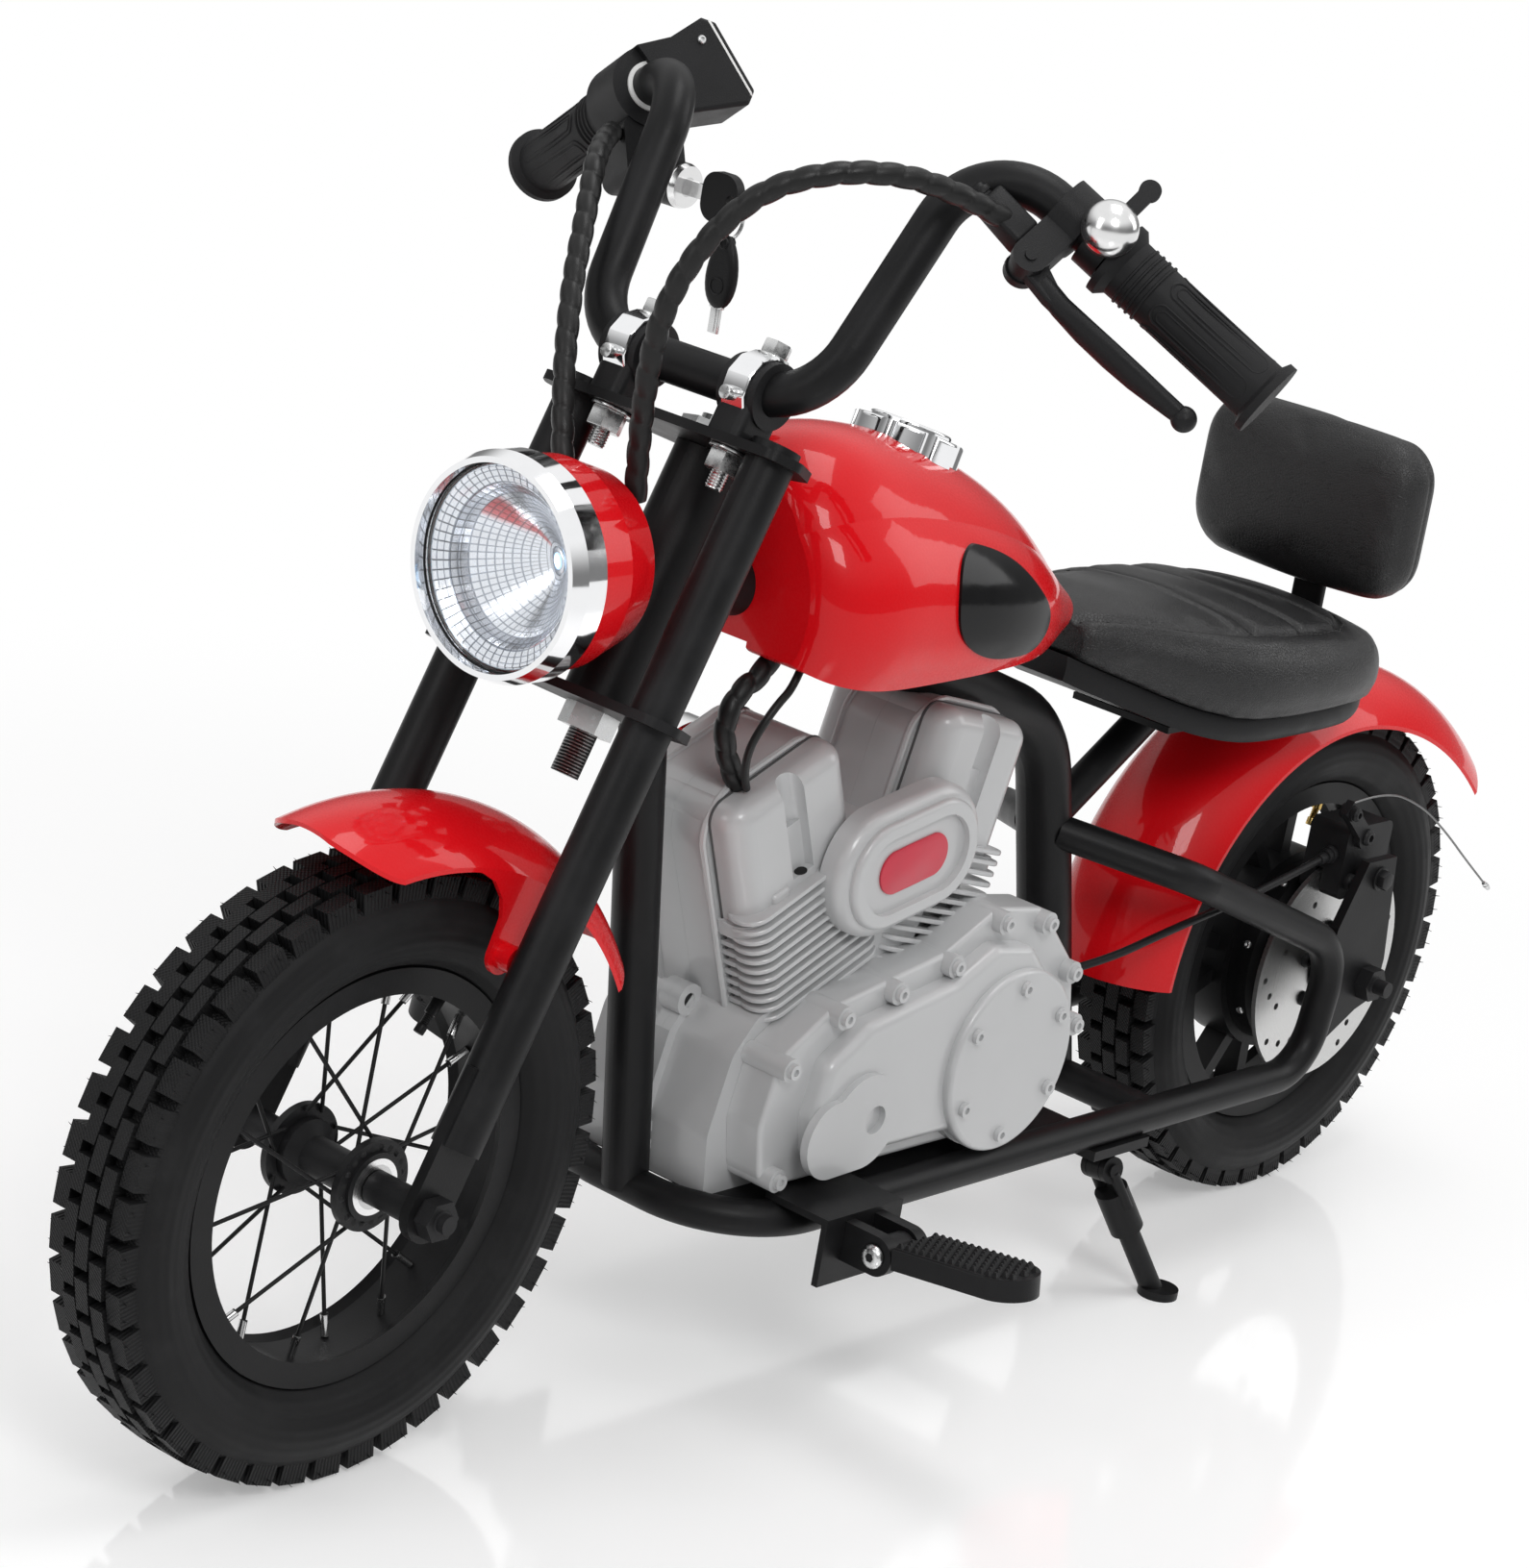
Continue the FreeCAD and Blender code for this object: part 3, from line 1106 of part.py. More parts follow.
# Ignition lock: a barrel in the lower block of the throttle housing, facing the middle plane
lock_ahead = 143
lock_height = 621
lock_face = -96
lock_radius = Size(12.0)
lock_length = Size(24.0)
key_gap = clear_gap
lock_rear = lock_face - lock_length - 13
lock_hole = Part.makeCylinder(lock_radius + seat_gap / 2, 60, Vector(lock_ahead, lock_rear - seat_gap / 2, lock_height),
                              Y_AXIS)
NODES[-1].Shape = housing.cut(lock_hole)

lock_profile = [
    (Size(0.0), Size(0.0)), (lock_radius, Size(0.0)), (lock_radius, lock_length + 10), (lock_radius - 1, lock_length + 13),
    (Size(5.0) + running_gap, lock_length + 13), (Size(5.0) + running_gap, Size(20.0)), (Size(0.0), Size(20.0)),
]
node(turned("ignition_lock", lock_profile, aligned(Vector(lock_ahead, lock_rear, lock_height), Y_AXIS)), "ignition_lock")


def key_shape():
    """Turning plug, blade and oval head with a hole for the ring."""
    plug = Part.makeCylinder(5, 16, Vector(lock_ahead, lock_face - 16, lock_height), Y_AXIS)
    blade = Part.makeBox(2.4, 16, 8, Vector(lock_ahead - 1.2, lock_face - 2, lock_height - 4))
    head = rounded_slab(26, 24, 6, 9)
    head.rotate(ORIGIN, Y_AXIS, 90)
    head.translate(Vector(lock_ahead - 3, lock_face + 24, lock_height))
    hole = Part.makeCylinder(3, 20, Vector(lock_ahead - 10, lock_face + 32, lock_height), X_AXIS)
    return fused([plug, blade, head]).cut(hole)


def spare_key_shape():
    """Split ring through the first key, with the second key hanging from it."""
    hang = Vector(lock_ahead, lock_face + 32, lock_height - 1.03)
    reach = 9.5
    ring = Part.makeTorus(reach, 1.2, hang - Z_AXIS * reach, Y_AXIS)
    head = Part.makeCylinder(11, 3, hang + Vector(-1.5, 0, -2 * reach - 8.5), X_AXIS)
    blade = Part.makeBox(2.2, 7, 34, hang + Vector(-1.1, -3.5, -2 * reach - 50))
    return fused([ring, head, blade])


node(feature("ignition_key", key_shape()), "ignition_key")
node(feature("spare_key", spare_key_shape()), "spare_key")

# Left hand: bell next to the grip, then the brake lever bracket
inwards = side_way(1) * -1
lever_side = across_grip(1, world_ahead * 0.8 - world_up * 0.6)
bell_side = across_grip(1, world_up * 0.7 + world_ahead * 0.7)
bell_start = grip_length + 1.6
bracket_start = grip_length + 18
bell_frame = fork_place.multiply(framed(side_end(1) + inwards * bell_start, inwards, bell_side))
bracket_frame = fork_place.multiply(framed(side_end(1) + inwards * bracket_start, inwards, lever_side))
lever_pivot = Vector(37, 0, 9)
lever_half = 4
lever_pin = 3
bar_hole = Part.makeCylinder(bar_radius + seat_gap / 2, 120, Vector(0, 0, -40))


def lever_bracket_shape():
    """Clamp ring with a forked arm, its own frame: Z along the bar, X towards the lever."""
    ring = Part.makeCylinder(17, 18)
    block = Part.makeBox(22, 18, 18, Vector(8, -9, 0))
    cheeks = []
    for side in (1, -1):
        low = lever_half + clear_gap if side > 0 else -9
        cheek = Part.makeBox(18, 9 - lever_half - clear_gap, 18, Vector(21, low, 0))
        tip = Part.makeCylinder(9, 9 - lever_half - clear_gap, Vector(lever_pivot.x, low, lever_pivot.z), Y_AXIS)
        cheeks += [cheek, tip]
    boot = Part.makeCylinder(6, 12, Vector(26, 0, 17))
    whole = fused([ring, block, boot] + cheeks)
    pin_hole = Part.makeCylinder(lever_pin + running_gap, 40, lever_pivot - Y_AXIS * 20, Y_AXIS)
    sweep = Part.makeCylinder(10, 2 * (lever_half + clear_gap), lever_pivot - Y_AXIS * (lever_half + clear_gap), Y_AXIS)
    return whole.cut(bar_hole).cut(pin_hole).cut(sweep)


def brake_lever_shape():
    """Curved blade with a ball end, in the bracket's frame."""
    blade = prism_xz([(32, 14), (42, 14), (46, -10), (47, -40), (46, -70), (43, -97), (37, -97), (38, -70),
                      (38, -40), (37, -12), (31, 2)], -lever_half, lever_half)
    blade = blade.makeFillet(2, [edge for edge in blade.Edges if abs(edge.CenterOfMass.y) > 3 and edge.Length > 20])
    knuckle = Part.makeCylinder(8, 2 * lever_half, lever_pivot - Y_AXIS * lever_half, Y_AXIS)
    pin = Part.makeCylinder(lever_pin, 20, lever_pivot - Y_AXIS * 10, Y_AXIS)
    ball = Part.makeSphere(6.5, Vector(40.5, 0, -98))
    return fused([blade, knuckle, pin, ball])


def bell_shape():
    """Clamp ring, stalk and domed bell; its own frame: X towards the dome."""
    ring = Part.makeCylinder(15, 13).cut(bar_hole)
    stalk = Part.makeCylinder(5, 11, Vector(12, 0, 6.5), X_AXIS)
    base = Part.makeCylinder(14, 3, Vector(21, 0, 6.5), X_AXIS)
    dome = Part.makeSphere(14, Vector(24, 0, 6.5), X_AXIS, 0, 90, 360)
    return fused([ring, stalk, base, dome])


def bell_lever_shape():
    """Thumb lever that turns on the stalk under the dome."""
    ring = Part.makeCylinder(7.6, 3, Vector(16.8, 0, 6.5), X_AXIS)
    arm = Part.makeBox(3, 26, 8, Vector(16.8, 4, 2.5))
    pad = Part.makeCylinder(5.5, 3, Vector(16.8, 30, 6.5), X_AXIS)
    return fused([ring, arm, pad]).cut(Part.makeCylinder(5 + running_gap, 20, Vector(8, 0, 6.5), X_AXIS))


node(feature("lever_bracket", lever_bracket_shape(), bracket_frame), "lever_bracket")
node(feature("brake_lever", brake_lever_shape(), bracket_frame), "brake_lever")
node(feature("bell", bell_shape(), bell_frame), "bell")
node(feature("bell_lever", bell_lever_shape(), bell_frame), "bell_lever")


def bar_clamp_pieces():
    """Cast risers with a strap over the bar and a nut under the upper clamp plate, fork frame."""
    plate_top = upper_clamp_height + clamp_thickness / 2 + seat_gap / 2
    plate_under = upper_clamp_height - clamp_thickness / 2 - seat_gap / 2
    pieces = []
    for side in (1, -1):
        middle = side * bar_clamp_half
        ring = Part.makeCylinder(bar_radius + 6, 24, Vector(bar_ahead, middle - 12, bar_clamp_rise), Y_AXIS)
        foot = rounded_slab(28, 21, bar_clamp_rise - plate_top, 5)
        foot.translate(Vector(bar_ahead, middle, plate_top))
        head = Part.makeCylinder(5, 5, Vector(bar_ahead, middle, bar_clamp_rise + bar_radius + 4))
        riser = fused([ring, foot, head])
        bar = swept_tube([Vector(bar_ahead, 0, bar_clamp_rise), rise_foot, rise_top], [40], bar_radius + seat_gap / 2)
        pieces.append(riser.cut(bar if side > 0 else mirrored(bar)))
        stud = Part.makeCylinder(8, 12, Vector(bar_ahead, middle, plate_under - 12))
        pieces.append(stud)
    return Part.makeCompound(pieces)


node(feature("bar_clamps", bar_clamp_pieces(), fork_place), "bar_clamps")

# Cable bundles at the handlebar
bowl_outline = [Vector(radius, 0, along) for radius, along in bowl_profile()[:6]]
bowl_outline.append(Vector(0, 0, bowl_outline[0].z))
bowl_mass = Part.Face(Part.makePolygon(bowl_outline + bowl_outline[:1])).revolve(ORIGIN, Z_AXIS, 360)
bowl_mass.Placement = headlight_place
wrap_radius = size("wrap_radius")
left_boot = bracket_frame.multVec(Vector(26, 0, 29 + seat_gap))
harness_left_route = [left_boot, Vector(202, 113, 674), Vector(248, 90, 676), Vector(279, 60, 658),
                      Vector(295, 35, 610), Vector(288, 20, 554), Vector(276, 17, 495)]
harness_right_route = [Vector(157, -141, 640), Vector(192, -118, 640), Vector(222, -92, 612), Vector(249, -70, 574),
                       Vector(270, -46, 530), Vector(278, -30, 492)]


def harness(name, route, solids):
    """A bundle that ends on the headlight bowl."""
    made = cord(name, route, wrap_radius)
    shape = made.Shape
    for solid in solids:
        shape = shape.cut(solid)
    made.Shape = max(shape.Solids, key=lambda solid: solid.Volume)
    return made


node(harness("harness_left", harness_left_route, [bowl_mass, NODES[[item.Label for item in NODES].index(
    "lever_bracket")].Shape]), "harness_left")
node(harness("harness_right", harness_right_route, [bowl_mass, NODES[[item.Label for item in NODES].index(
    "throttle_housing")].Shape]), "harness_right")

# Seat and backrest

# edge of the flat top: share of the half width, and share of the height
seat_brow = 0.88
seat_brow_rise = 0.86


def soft_section(along, half_width, low, high):
    """Cross section of the cushion: flat base, drawn-in bulging sides, crowned top."""
    rise = high - low
    waist = half_width * 0.95
    brow = half_width * seat_brow
    brow_height = low + rise * seat_brow_rise

    def at(left, height):
        return Vector(along, left, height)

    edges = [
        Part.LineSegment(at(-waist, low), at(waist, low)).toShape(),
        Part.Arc(at(waist, low), at(half_width, low + rise * 0.42), at(brow, brow_height)).toShape(),
        Part.Arc(at(brow, brow_height), at(0, high), at(-brow, brow_height)).toShape(),
        Part.Arc(at(-brow, brow_height), at(-half_width, low + rise * 0.42), at(-waist, low)).toShape(),
    ]
    return Part.Wire(edges)


seat_half_width = size("seat_half_width")
seat_base = size("seat_base")
seat_pan_depth = size("seat_pan_depth")
SEAT_STATIONS = [
    (-104, 0.34, 33, 56), (-130, 0.54, 23, 62), (-170, 0.78, 9, 60), (-210, 0.95, 1, 56), (-260, 1.0, 0, 52.5),
    (-310, 0.97, 0, 47), (-346, 0.84, 0, 41), (-366, 0.6, 2, 31),
]


def cushion_shape():
    sections = [soft_section(along, seat_half_width * share, seat_base + low, seat_base + high)
                for along, share, low, high in SEAT_STATIONS]
    shape = Part.makeLoft(sections, True, False)
    # three stitched channels across the top
    for along, share, high in ((-220, 0.97, 55.3), (-265, 1.0, 52), (-310, 0.97, 47)):
        brow = seat_half_width * share * 0.76
        top = seat_base + high
        low = seat_base + high * (1 - (1 - seat_brow_rise) * (0.76 / seat_brow) ** 2)
        arc = Part.Arc(Vector(along, brow, low), Vector(along, 0, top), Vector(along, -brow, low)).toShape()
        start = arc.tangentAt(arc.FirstParameter)
        ring = Part.Wire([Part.Circle(arc.valueAt(arc.FirstParameter), start, 3).toShape()])
        groove = Part.Wire([arc]).makePipeShell([ring], True, False)
        shape = shape.cut(groove)
    return max(shape.Solids, key=lambda solid: solid.Volume)


cushion = cushion_shape()
node(feature("seat_cushion", cushion), "seat_cushion")


def seat_pan_shape():
    sections = [soft_section(along, seat_half_width * share - 9, seat_base + low - seat_pan_depth + seat_gap / 2,
                             seat_base + low + 10) for along, share, low, high in SEAT_STATIONS]
    shape = Part.makeLoft(sections, True, False)
    lowered = cushion.copy()
    lowered.translate(Vector(0, 0, -seat_gap / 2))
    shape = shape.cut(lowered)
    fender = Part.makeCylinder(rear_fender_radius + seat_gap / 2, 300, rear_fender_at - Y_AXIS * 150, Y_AXIS)
    tube = swept_tube([backbone_head, seat_corner, seat_tube_foot], [70], backbone_radius + seat_gap)
    rest = Part.makeBox(61, 71, 40, strut_seat + Vector(-30.5, -35.5, 4 + seat_gap / 2 - 40))
    shape = shape.cut(fender).cut(tube).cut(rest)
    return max(shape.Solids, key=lambda solid: solid.Volume)


node(feature("seat_pan", seat_pan_shape()), "seat_pan")

pad_back = -366
backrest_half_width = size("backrest_half_width")
backrest_height = size("backrest_height")
backrest_thickness = size("backrest_thickness")
pad_low = 398
post = rounded_slab(6, 22, 118, 2.5)
post.translate(Vector(pad_back - 3 - seat_gap / 2, 0, 343))
node(feature("backrest_post", post), "backrest_post")


def rounded_outline(along, half_width, half_height, corner, middle):
    """Rounded rectangle in a plane square to X."""
    points = [(half_width, half_height), (-half_width, half_height), (-half_width, -half_height),
              (half_width, -half_height)]
    corners = [Vector(along, left, middle + up) for left, up in points]
    edges = []
    start = (corners[-1] + corners[0]) * 0.5
    begin = start
    for at, here in enumerate(corners):
        after = corners[(at + 1) % 4]
        before = corners[at - 1]
        first = here + (before - here).normalize() * corner
        last = here + (after - here).normalize() * corner
        inward = ((before - here).normalize() + (after - here).normalize()) * corner
        crest = here + inward * (1 - math.sqrt(0.5))
        edges.append(Part.LineSegment(begin, first).toShape())
        edges.append(Part.Arc(first, crest, last).toShape())
        begin = last
    edges.append(Part.LineSegment(begin, start).toShape())
    return Part.Wire(edges)


def backrest_shape():
    half = backrest_height / 2
    middle = pad_low + half
    stations = [(0, -6, 24), (0.2, -1, 27), (0.45, 0, 28), (0.75, -4, 27), (1.0, -22, 20)]
    sections = [rounded_outline(pad_back + share * backrest_thickness, backrest_half_width + inset,
                                half + inset, corner, middle) for share, inset, corner in stations]
    return Part.makeLoft(sections, True, False)


node(feature("backrest_pad", backrest_shape()), "backrest_pad")
# Rear fender carries the pan and is carried by it; see the seat pan's saddle.

# Tank cover

tank_half_width = size("tank_half_width")
tank_floor = size("tank_floor")
TANK_STATIONS = [
    (172, 0.66, 12, 103), (163, 0.85, 7, 114), (146, 0.96, 3, 121), (100, 1.0, 0, 121), (40, 0.99, 0, 106),
    (-20, 0.83, 0, 77),
    (-70, 0.5, 2, 40), (-98, 0.26, 4, 18),
]


def tank_section(along, half_width, low, high):
    rise = high - low
    foot = half_width * 0.9
    brow = half_width * 0.72
    brow_height = low + rise * 0.72

    def at(left, height):
        return Vector(along, left, height)

    edges = [
        Part.LineSegment(at(-foot, low), at(foot, low)).toShape(),
        Part.Arc(at(foot, low), at(half_width, low + rise * 0.36), at(brow, brow_height)).toShape(),
        Part.Arc(at(brow, brow_height), at(0, high), at(-brow, brow_height)).toShape(),
        Part.Arc(at(-brow, brow_height), at(-half_width, low + rise * 0.36), at(-foot, low)).toShape(),
    ]
    return Part.Wire(edges)


def tank_loft(grow, sink=0.0):
    return Part.makeLoft([tank_section(along, tank_half_width * share + grow, tank_floor + low - sink,
                                       tank_floor + high + grow) for along, share, low, high in TANK_STATIONS], True, False)


tank_solid = tank_loft(0)


def tank_shape():
    """Thin moulded cover, open below, with two saddles that sit on the backbone."""
    hollow = tank_loft(-3, 6).common(Part.makeBox(252, 400, 400, Vector(-85, -200, 300)))
    shell = tank_solid.cut(hollow)
    saddles = []
    for along in (-10, 110):
        wall = Part.makeBox(8, 300, 300, Vector(along, -150, tank_floor + 2)).common(tank_solid)
        saddles.append(wall)
    whole = fused([shell] + saddles)
    tube = swept_tube([backbone_head, seat_corner, seat_tube_foot], [70], backbone_radius + seat_gap / 2)
    slot_low = Part.makeBox(400, 2 * (backbone_radius + seat_gap / 2), 60, Vector(-150, -backbone_radius - seat_gap / 2,
                                                                                 tank_floor - 45))
    return max(whole.cut(tube).cut(slot_low).Solids, key=lambda solid: solid.Volume)


node(feature("fuel_tank", tank_shape()), "fuel_tank")


def tank_badge_shape():
    """Bare rounded-triangle plates that follow the sides of the tank."""
    outer = tank_loft(1.6)
    corners = [Vector(along, 20, up) for along, up in [
        (62, 470), (30, 459), (6, 442), (-7, 424), (0, 411), (20, 407), (66, 416), (82, 430), (84, 450), (77, 465)]]
    outline = Part.BSplineCurve()
    outline.interpolate(corners, PeriodicFlag=True)
    plate = Part.Face(Part.Wire([outline.toShape()])).extrude(Y_AXIS * 100)
    left = plate.common(outer).cut(tank_loft(seat_gap / 4))
    left = max(left.Solids, key=lambda solid: solid.Volume)
    return Part.makeCompound([left, mirrored(left)])


node(feature("tank_badges", tank_badge_shape()), "tank_badges")
cap_at = Vector(50, 0, tank_floor + 108)
cap_axis = Vector(-0.31, 0, 0.95)


def tank_cap_shape():
    """Notched filler cap that sits on the crown of the tank."""
    body = Part.makeCylinder(31, 20, ORIGIN, Z_AXIS)
    body = body.makeFillet(2, [edge for edge in body.Edges if edge.CenterOfMass.z > 19])
    top = Part.makeCylinder(23, 4, Vector(0, 0, 19), Z_AXIS)
    top = top.makeFillet(1.5, [edge for edge in top.Edges if edge.CenterOfMass.z > 22])
    notches = [Part.makeCylinder(6, 30, Vector(34 * math.cos(math.radians(turn)), 34 * math.sin(math.radians(turn)), 0))
               for turn in range(15, 375, 45)]
    cap = fused([body, top]).cut(Part.makeCompound(notches))
    cap.Placement = aligned(cap_at - cap_axis * 12, cap_axis)
    return max(cap.cut(tank_loft(seat_gap / 4)).Solids, key=lambda solid: solid.Volume)


node(feature("tank_cap", tank_cap_shape()), "tank_cap")

# Engine casing: moulded in two halves in the shape of a finned V-twin

casing_half_width = size("casing_half_width")
cylinder_half = size("cylinder_half")
fin_pitch = size("fin_pitch")
fin_thickness = size("fin_thickness")
fins = int(size("fins"))
CRANKCASE = [(168, 0), (173, 35), (163, 78), (147, 98), (100, 106), (-10, 120), (-58, 120), (-96, 86), (-106, 50),
             (-97, 20), (-80, 0)]
# base of each cylinder ahead and up, lean forward in degrees, height of the rocker cover, share of the width
CYLINDERS = [(90, 200, 23, 156, 1.0), (23, 200, -14, 163, 0.92)]
PRIMARY = [(152, 124), (160, 160), (152, 198), (114, 222), (25, 238), (-16, 258), (-58, 252), (-95, 214), (-105, 176),
           (-92, 138), (-62, 123)]
PRIMARY_SCREWS = [(146, 131), (150, 194), (112, 217), (69, 224), (23, 232), (-16, 251), (-56, 245), (-88, 211), (-99, 178)]
battery_box = (180, 76, 70)
battery_at = Vector(-75, -38, casing_floor + 6)
controller_box = (80, 60, 20)
controller_at = Vector(-30, -30, casing_floor + 76 + seat_gap)


def cylinder_shapes(ahead, up, lean, height, share):
    """Finned barrel, head and rocker cover standing on Z, half on each side of the middle plane."""
    across = 2 * cylinder_half * share
    wide = 2 * casing_half_width
    shapes = [rounded_slab(across - 16, wide - 14, height - 30, 14)]
    flange = rounded_slab(across + 2, wide, 7, 9)
    flange.translate(Vector(0, 0, 8))
    shapes.append(flange)
    for index in range(fins):
        fin = rounded_slab(across - (3 if index == 0 else 0), wide - (3 if index == 0 else 0), fin_thickness, 18)
        fin.translate(Vector(0, 0, 22 + index * fin_pitch))
        shapes.append(fin)
    for side in (1, -1):
        for end in (1, -1):
            foot = Vector(end * (across / 2 - 8), side * (wide / 2 - 6.5), 8)
            shapes.append(Part.makeCylinder(6, 24, foot))
            shapes.append(Part.makeSphere(6, foot + Z_AXIS * 24))
    head_low = 22 + fins * fin_pitch + 1
    head = rounded_slab(across + 1, wide, 9, 12)
    head.translate(Vector(0, 0, head_low))
    shapes.append(head)
    rise = height - head_low - 7
    cover = Part.makeBox(across - 4, wide - 4, rise, Vector(2 - across / 2, 2 - wide / 2, head_low + 7))
    cover = cover.makeFillet(14, [edge for edge in cover.Edges if abs(edge.tangentAt(edge.FirstParameter).z) > 0.9])
    upper = [edge for edge in cover.Edges if edge.BoundBox.ZMin > head_low + 6 + rise]
    cover = cover.makeFillet(11, upper)
    # a screw well between two rocker ends on each side, with a small tab below
    for side in (1, -1):
        well = Part.makeCylinder(8, rise, Vector(0, side * (wide / 2 - 3), head_low + 19))
        mouth = Part.makeBox(16, 12, rise, Vector(-8, side * (wide / 2 + 3) - 6, head_low + 19))
        cover = cover.cut(well).cut(mouth)
        tab = Part.makeBox(13, 8, 13, Vector(across * 0.2 - 6, side * (wide / 2 - 4) - 4, head_low + 6))
        shapes.append(tab.makeFillet(2.5, [edge for edge in tab.Edges if edge.CenterOfMass.z > head_low + 12]))
    shapes.append(cover)
    band = Part.makeBox(across + 5, 46, height + 2, Vector(-across / 2 - 2.5, -23, 0))
    ridge = [edge for edge in band.Edges if abs(edge.tangentAt(edge.FirstParameter).y) > 0.9
             and edge.CenterOfMass.z > height - 10]
    band = band.makeFillet(26, ridge)
    rims = [edge for edge in band.Edges if abs(edge.CenterOfMass.y) > 22 and edge.CenterOfMass.z > 12]
    shapes.append(band.makeFillet(1.5, rims))
    for shape in shapes:
        shape.rotate(ORIGIN, Y_AXIS, lean)
        shape.translate(Vector(ahead, 0, up))
    return shapes


def grown(points, middle, factor):
    return [(middle[0] + (along - middle[0]) * factor, middle[1] + (up - middle[1]) * factor) for along, up in points]


def casing_whole():
    """Crankcase with its middle flange and bolt tubes, two cylinders, and the bridge behind the intake cover."""
    floor = casing_floor + seat_gap / 2
    outline = [(along, casing_floor + up) for along, up in CRANKCASE]
    case = prism_xz(outline, -casing_half_width, casing_half_width)
    case = case.makeFillet(14, [edge for edge in case.Edges if abs(edge.tangentAt(edge.FirstParameter).y) > 0.9
                                and edge.CenterOfMass.z > casing_floor + 30])
    shapes = [case, prism_xz(grown(outline, (30, 165), 1.045), -6, 6)]
    for along, up in ((158, 210), (168, 136)):
        lug = Part.makeCylinder(9, 14, Vector(along, -7, up), Y_AXIS)
        shapes.append(lug.cut(Part.makeCylinder(4, 20, Vector(along, -10, up), Y_AXIS)))
    for along, up in PRIMARY_SCREWS:
        shapes.append(Part.makeCylinder(6.4, casing_half_width - 8, Vector(along, 8, up), Y_AXIS))
    for row in CYLINDERS:
        shapes += cylinder_shapes(*row)
    shapes.append(prism_xz([(30, 225), (92, 225), (112, 300), (4, 305)], -casing_half_width + 8, casing_half_width))
    whole = fused(shapes)
    below = Part.makeBox(800, 400, 200, Vector(-400, -200, floor - 200))
    front_rail = swept_tube([front_bend - X_AXIS * 200, front_bend, Vector(cradle_front, 0, rail_height)], [60],
                            rail_radius + seat_gap)
    tubes = [swept_tube([backbone_head, seat_corner, seat_tube_foot], [70], backbone_radius + seat_gap),
             Part.makeCylinder(down_tube_radius + seat_gap, (down_tube_head - down_tube_foot).Length, down_tube_foot,
                               down_tube_head - down_tube_foot),
             front_rail, mirrored(front_rail)]
    whole = whole.cut(below)
    for tube in tubes:
        whole = whole.cut(tube)
    return max(whole.Solids, key=lambda solid: solid.Volume)


casing = casing_whole()
room = Part.makeBox(battery_box[0] + seat_gap, battery_box[1] + seat_gap, 92,
                    battery_at - Vector(seat_gap / 2, seat_gap / 2, seat_gap / 2))


def casing_half(side):
    low = seat_gap / 4 if side > 0 else -300
    half = casing.common(Part.makeBox(800, 300 - seat_gap / 4, 800, Vector(-400, low, 0)))
    return max(half.cut(room).Solids, key=lambda solid: solid.Volume)


node(feature("engine_casing_left", casing_half(1)), "engine_casing_left")
node(feature("engine_casing_right", casing_half(-1)), "engine_casing_right")
battery = doc.addObject("Part::Box", "battery_pack")
battery.Length, battery.Width, battery.Height = battery_box
battery.Placement = Placement(battery_at, Rotation())
node(battery, "battery_pack")
controller = doc.addObject("Part::Box", "motor_controller")
controller.Length, controller.Width, controller.Height = controller_box
controller.Placement = Placement(controller_at, Rotation())
node(controller, "motor_controller")

# Covers on the casing
primary_depth = size("primary_depth")
cover_low = casing_half_width + seat_gap / 2
cover_high = casing_half_width + primary_depth
derby_at = (-29, 172)
derby_radius = 53
INTAKE = (60, 292)


def rounded_prism(points, low, high, corner, edge):
    """Outline in the XZ plane with rounded corners and a rounded outer edge."""
    shape = prism_xz(points, low, high)
    shape = shape.makeFillet(corner, [item for item in shape.Edges if abs(item.tangentAt(item.FirstParameter).y) > 0.9])
    return shape.makeFillet(edge, [item for item in shape.Edges if item.BoundBox.YMin > high - 0.01])


def primary_shape():
    """Lower left cover with a raised round lid and screw bosses."""
    base = rounded_prism(PRIMARY, cover_low, cover_high - 12, 14, 3)
    step = rounded_prism(grown(PRIMARY, (26, 178), 0.78), cover_high - 13, cover_high, 12, 6)
    lid = Part.makeCylinder(derby_radius, 6, Vector(derby_at[0], cover_high - 1, derby_at[1]), Y_AXIS)
    lid = lid.makeFillet(3, [edge for edge in lid.Edges if edge.BoundBox.YMin > cover_high + 4])
    swell = Part.makeCylinder(derby_radius, cover_high - cover_low - 6, Vector(derby_at[0], cover_low, derby_at[1]), Y_AXIS)
    boss = fused([Part.makeCylinder(27, 5, Vector(92, cover_high - 1, 158), Y_AXIS),
                  Part.makeCylinder(22, 5, Vector(116, cover_high - 1, 152), Y_AXIS),
                  prism_xz([(92, 185), (116, 174), (116, 130), (92, 131)], cover_high - 1, cover_high + 4)])
    boss = boss.cut(Part.makeCylinder(8, 8, Vector(84, cover_high - 2, 158), Y_AXIS))
    bosses = [Part.makeCylinder(6.5, primary_depth - 6, Vector(along, cover_low, up), Y_AXIS)
              for along, up in PRIMARY_SCREWS]
    return fused([base, step, lid, swell, boss] + bosses)


node(feature("primary_cover", primary_shape()), "primary_cover")


def pill(half_length, radius, low, high):
    """Stadium outline in the XZ plane about the origin, carried from y = low to y = high."""
    ends = [Part.makeCylinder(radius, high - low, Vector(side * half_length, low, 0), Y_AXIS) for side in (1, -1)]
    middle = Part.makeBox(2 * half_length, high - low, 2 * radius, Vector(-half_length, low, -radius))
    return fused(ends + [middle])


def soft_pill(half_length, radius, low, high, edge):
    """Pill with a rounded outer edge."""
    shape = pill(half_length, radius, low, high).removeSplitter()
    return shape.makeFillet(edge, [item for item in shape.Edges if item.BoundBox.YMin > high - 0.01])


